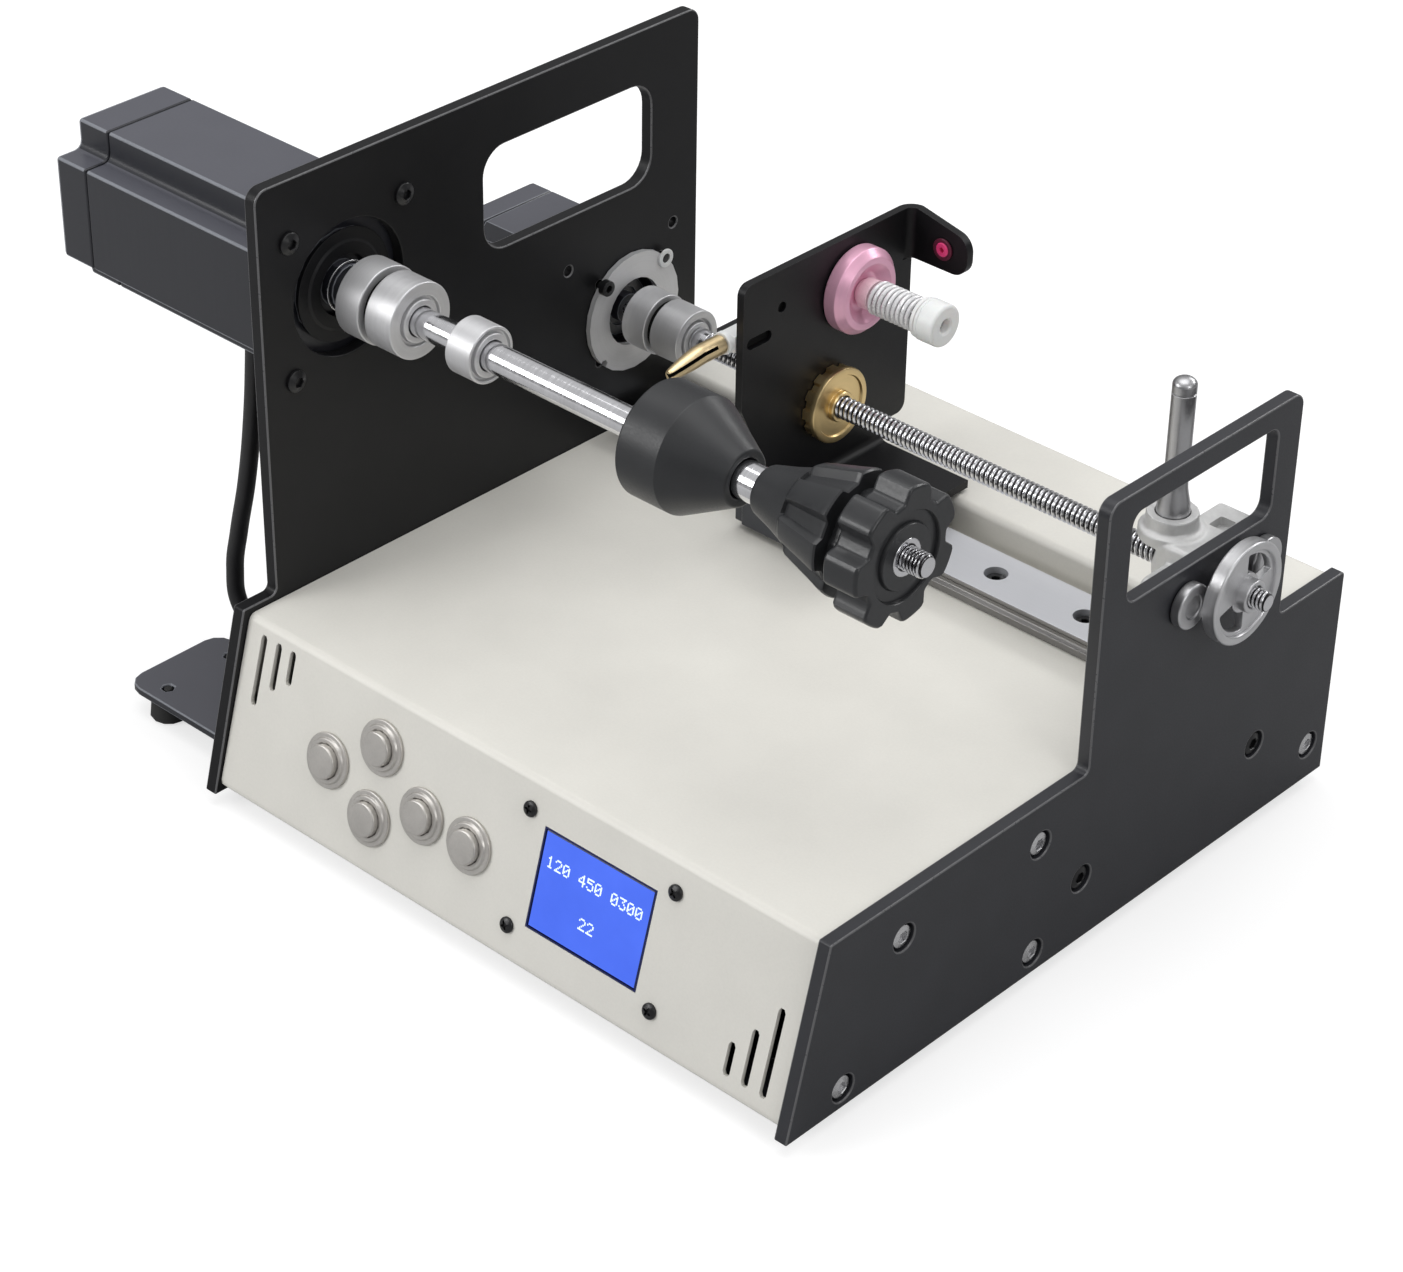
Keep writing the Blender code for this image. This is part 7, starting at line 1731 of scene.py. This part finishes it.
def window_outline(half):
    """The display's outline on the panel, from half its width and height"""
    low, high = [c - h for c, h in zip(DISPLAY, half)], [c + h for c, h in zip(DISPLAY, half)]
    return rounded([(a, b, 0.0004) for a, b in box_outline(low, high)], 4)


lens_blue = lit_finish("lit_blue_glass", 45, [(0.055, 0.140, 0.82), (0.075, 0.175, 0.94)],
                       (0.01, 0.04, 0.30),
                       (0.10, 0.16), emission_strength=0.78, coat_weight=0.3)
lit_white = lit_finish("lit_figures", 300, [(0.62, 0.74, 0.98), (0.76, 0.85, 1.0)], (0.5, 0.6, 0.8), (0.4,),
                       emission_strength=0.85)
# The dark navy rim of the lens and the frame line round it are painted shade.
lens_rim_painted_shade = finish("lens_rim_painted_shade", "blue_glass", (0.006, 0.012, 0.09), (0.20, 0.04), 0.08, 90, 900)
DISPLAY = panel_place((0.655, 0.522))
WINDOW_HALF, FRAME_LINE = (0.02425, 0.01775), 0.0007
lens_low, lens_high = -0.0015, -0.0002
lens_half = [half - FRAME_LINE for half in WINDOW_HALF]
lens = slab([window_outline(lens_half)], lens_low, lens_high, "Z", 0.0005)
piece("display_window", on_panel(lens), (lens_blue, lens_rim_painted_shade), "display_lens")
frame_halves = [part - 0.0001 for part in WINDOW_HALF], [part + 0.00005 for part in lens_half]
frame_shade_ring = slab([window_outline(half) for half in frame_halves], lens_low, -0.0001, "Z", 0)
piece("display_frame", on_panel(frame_shade_ring), (lens_rim_painted_shade, lens_rim_painted_shade), body="base")

FIGURES = {
    "0": "01110 10001 10011 10101 11001 10001 01110", "1": "00100 01100 00100 00100 00100 00100 01110",
    "2": "01110 10001 00001 00010 00100 01000 11111", "3": "11111 00010 00100 00010 00001 10001 01110",
    "4": "00010 00110 01010 10010 11111 00010 00010", "5": "11111 10000 11110 00001 00001 10001 01110",
    "6": "00110 01000 10000 11110 10001 10001 01110", "7": "11111 00001 00010 00100 01000 01000 01000",
    "8": "01110 10001 10001 01110 10001 10001 01110", "9": "01110 10001 10001 01111 00001 00010 01100",
}
DOT, DOT_SHARE, DOT_THICK, FIGURE_STEP = 0.00058, 0.88, 0.0001, 6
LINES = [("120 450 0300", 0.0072), ("22", -0.0066)]


def dots_of(line, rise):
    """The lit dots of one centred line of figures, on the panel"""
    places = []
    wide = len(line) * FIGURE_STEP - 1
    for number, figure in enumerate(line):
        for row, bits in enumerate(FIGURES.get(figure, "").split()):
            for column, bit in enumerate(bits):
                if bit == "1":
                    across = (number * FIGURE_STEP + column - wide / 2) * DOT
                    up = rise + (3 - row) * DOT
                    places.append((DISPLAY[0] + across, DISPLAY[1] + up, lens_high + 0.00006))
    return places


tree, given = new_growth("dots", Size=0.0004, Thick=0.0001)
side = step(tree, "ShaderNodeCombineXYZ",
            {"X": given["Size"], "Y": given["Size"], "Z": given["Thick"]}).outputs[0]
dot = step(tree, "GeometryNodeMeshCube", {"Size": side}).outputs["Mesh"]
dotted = step(tree, "GeometryNodeInstanceOnPoints", {"Points": given["Shape"], "Instance": dot}).outputs[0]
dot_growth = end_growth(tree, given, dotted)
lit_places = [place for line, rise in LINES for place in dots_of(line, rise)]
figures = grown("figures", dot_growth, points_mesh("figures", lit_places), lit_white, Size=DOT * DOT_SHARE,
                Thick=DOT_THICK)
figures.transform(PANEL)
piece("display_figures", figures, lit_white, body="base")

display_corners = [(DISPLAY[0] + a * 0.03125, DISPLAY[1] + b * 0.0205) for a in (-1, 1) for b in (-1, 1)]
display_places = [PANEL @ Vector((*place, 0.0001)) for place in display_corners]
screws("display_screws", pan_head, display_places, "panel", screw_black, 41)
print("lit dots:", len(lit_places))

# %% [markdown]
# The back has a mains inlet with its switch, and a few pieces lie inside where only an open
# view shows them. Their machine shapes are right, so they get finishes and softer edges.

# %% Back, feet and inside
dressed("inlet", "power_inlet", carriage_grey, 0.0003)
dressed("rocker", "switch_rocker", moulded_black, 0.0004)
for number in range(1, 7):
    dressed(f"foot_{number}", f"rubber_foot_{number}", rubber_black, 0.0006, 50)
for node, paint in (("display_module", carriage_grey), ("control_board", board_green),
                    ("power_supply", machined),
                    ("spindle_motor_rotor", screw_steel), ("traverse_motor_rotor", screw_steel)):
    keep(node, paint)

# %% [markdown]
# Last, every piece of the machine must be replaced or carry a finish of this script.

# %% Check and finish
bare = [name for name, node in frame["nodes"].items()
        if not node.hide_render and "slot" not in (node.active_material or {})]
print("pieces without a finish:", bare)
for head in screw_heads:
    bpy.data.objects.remove(head)
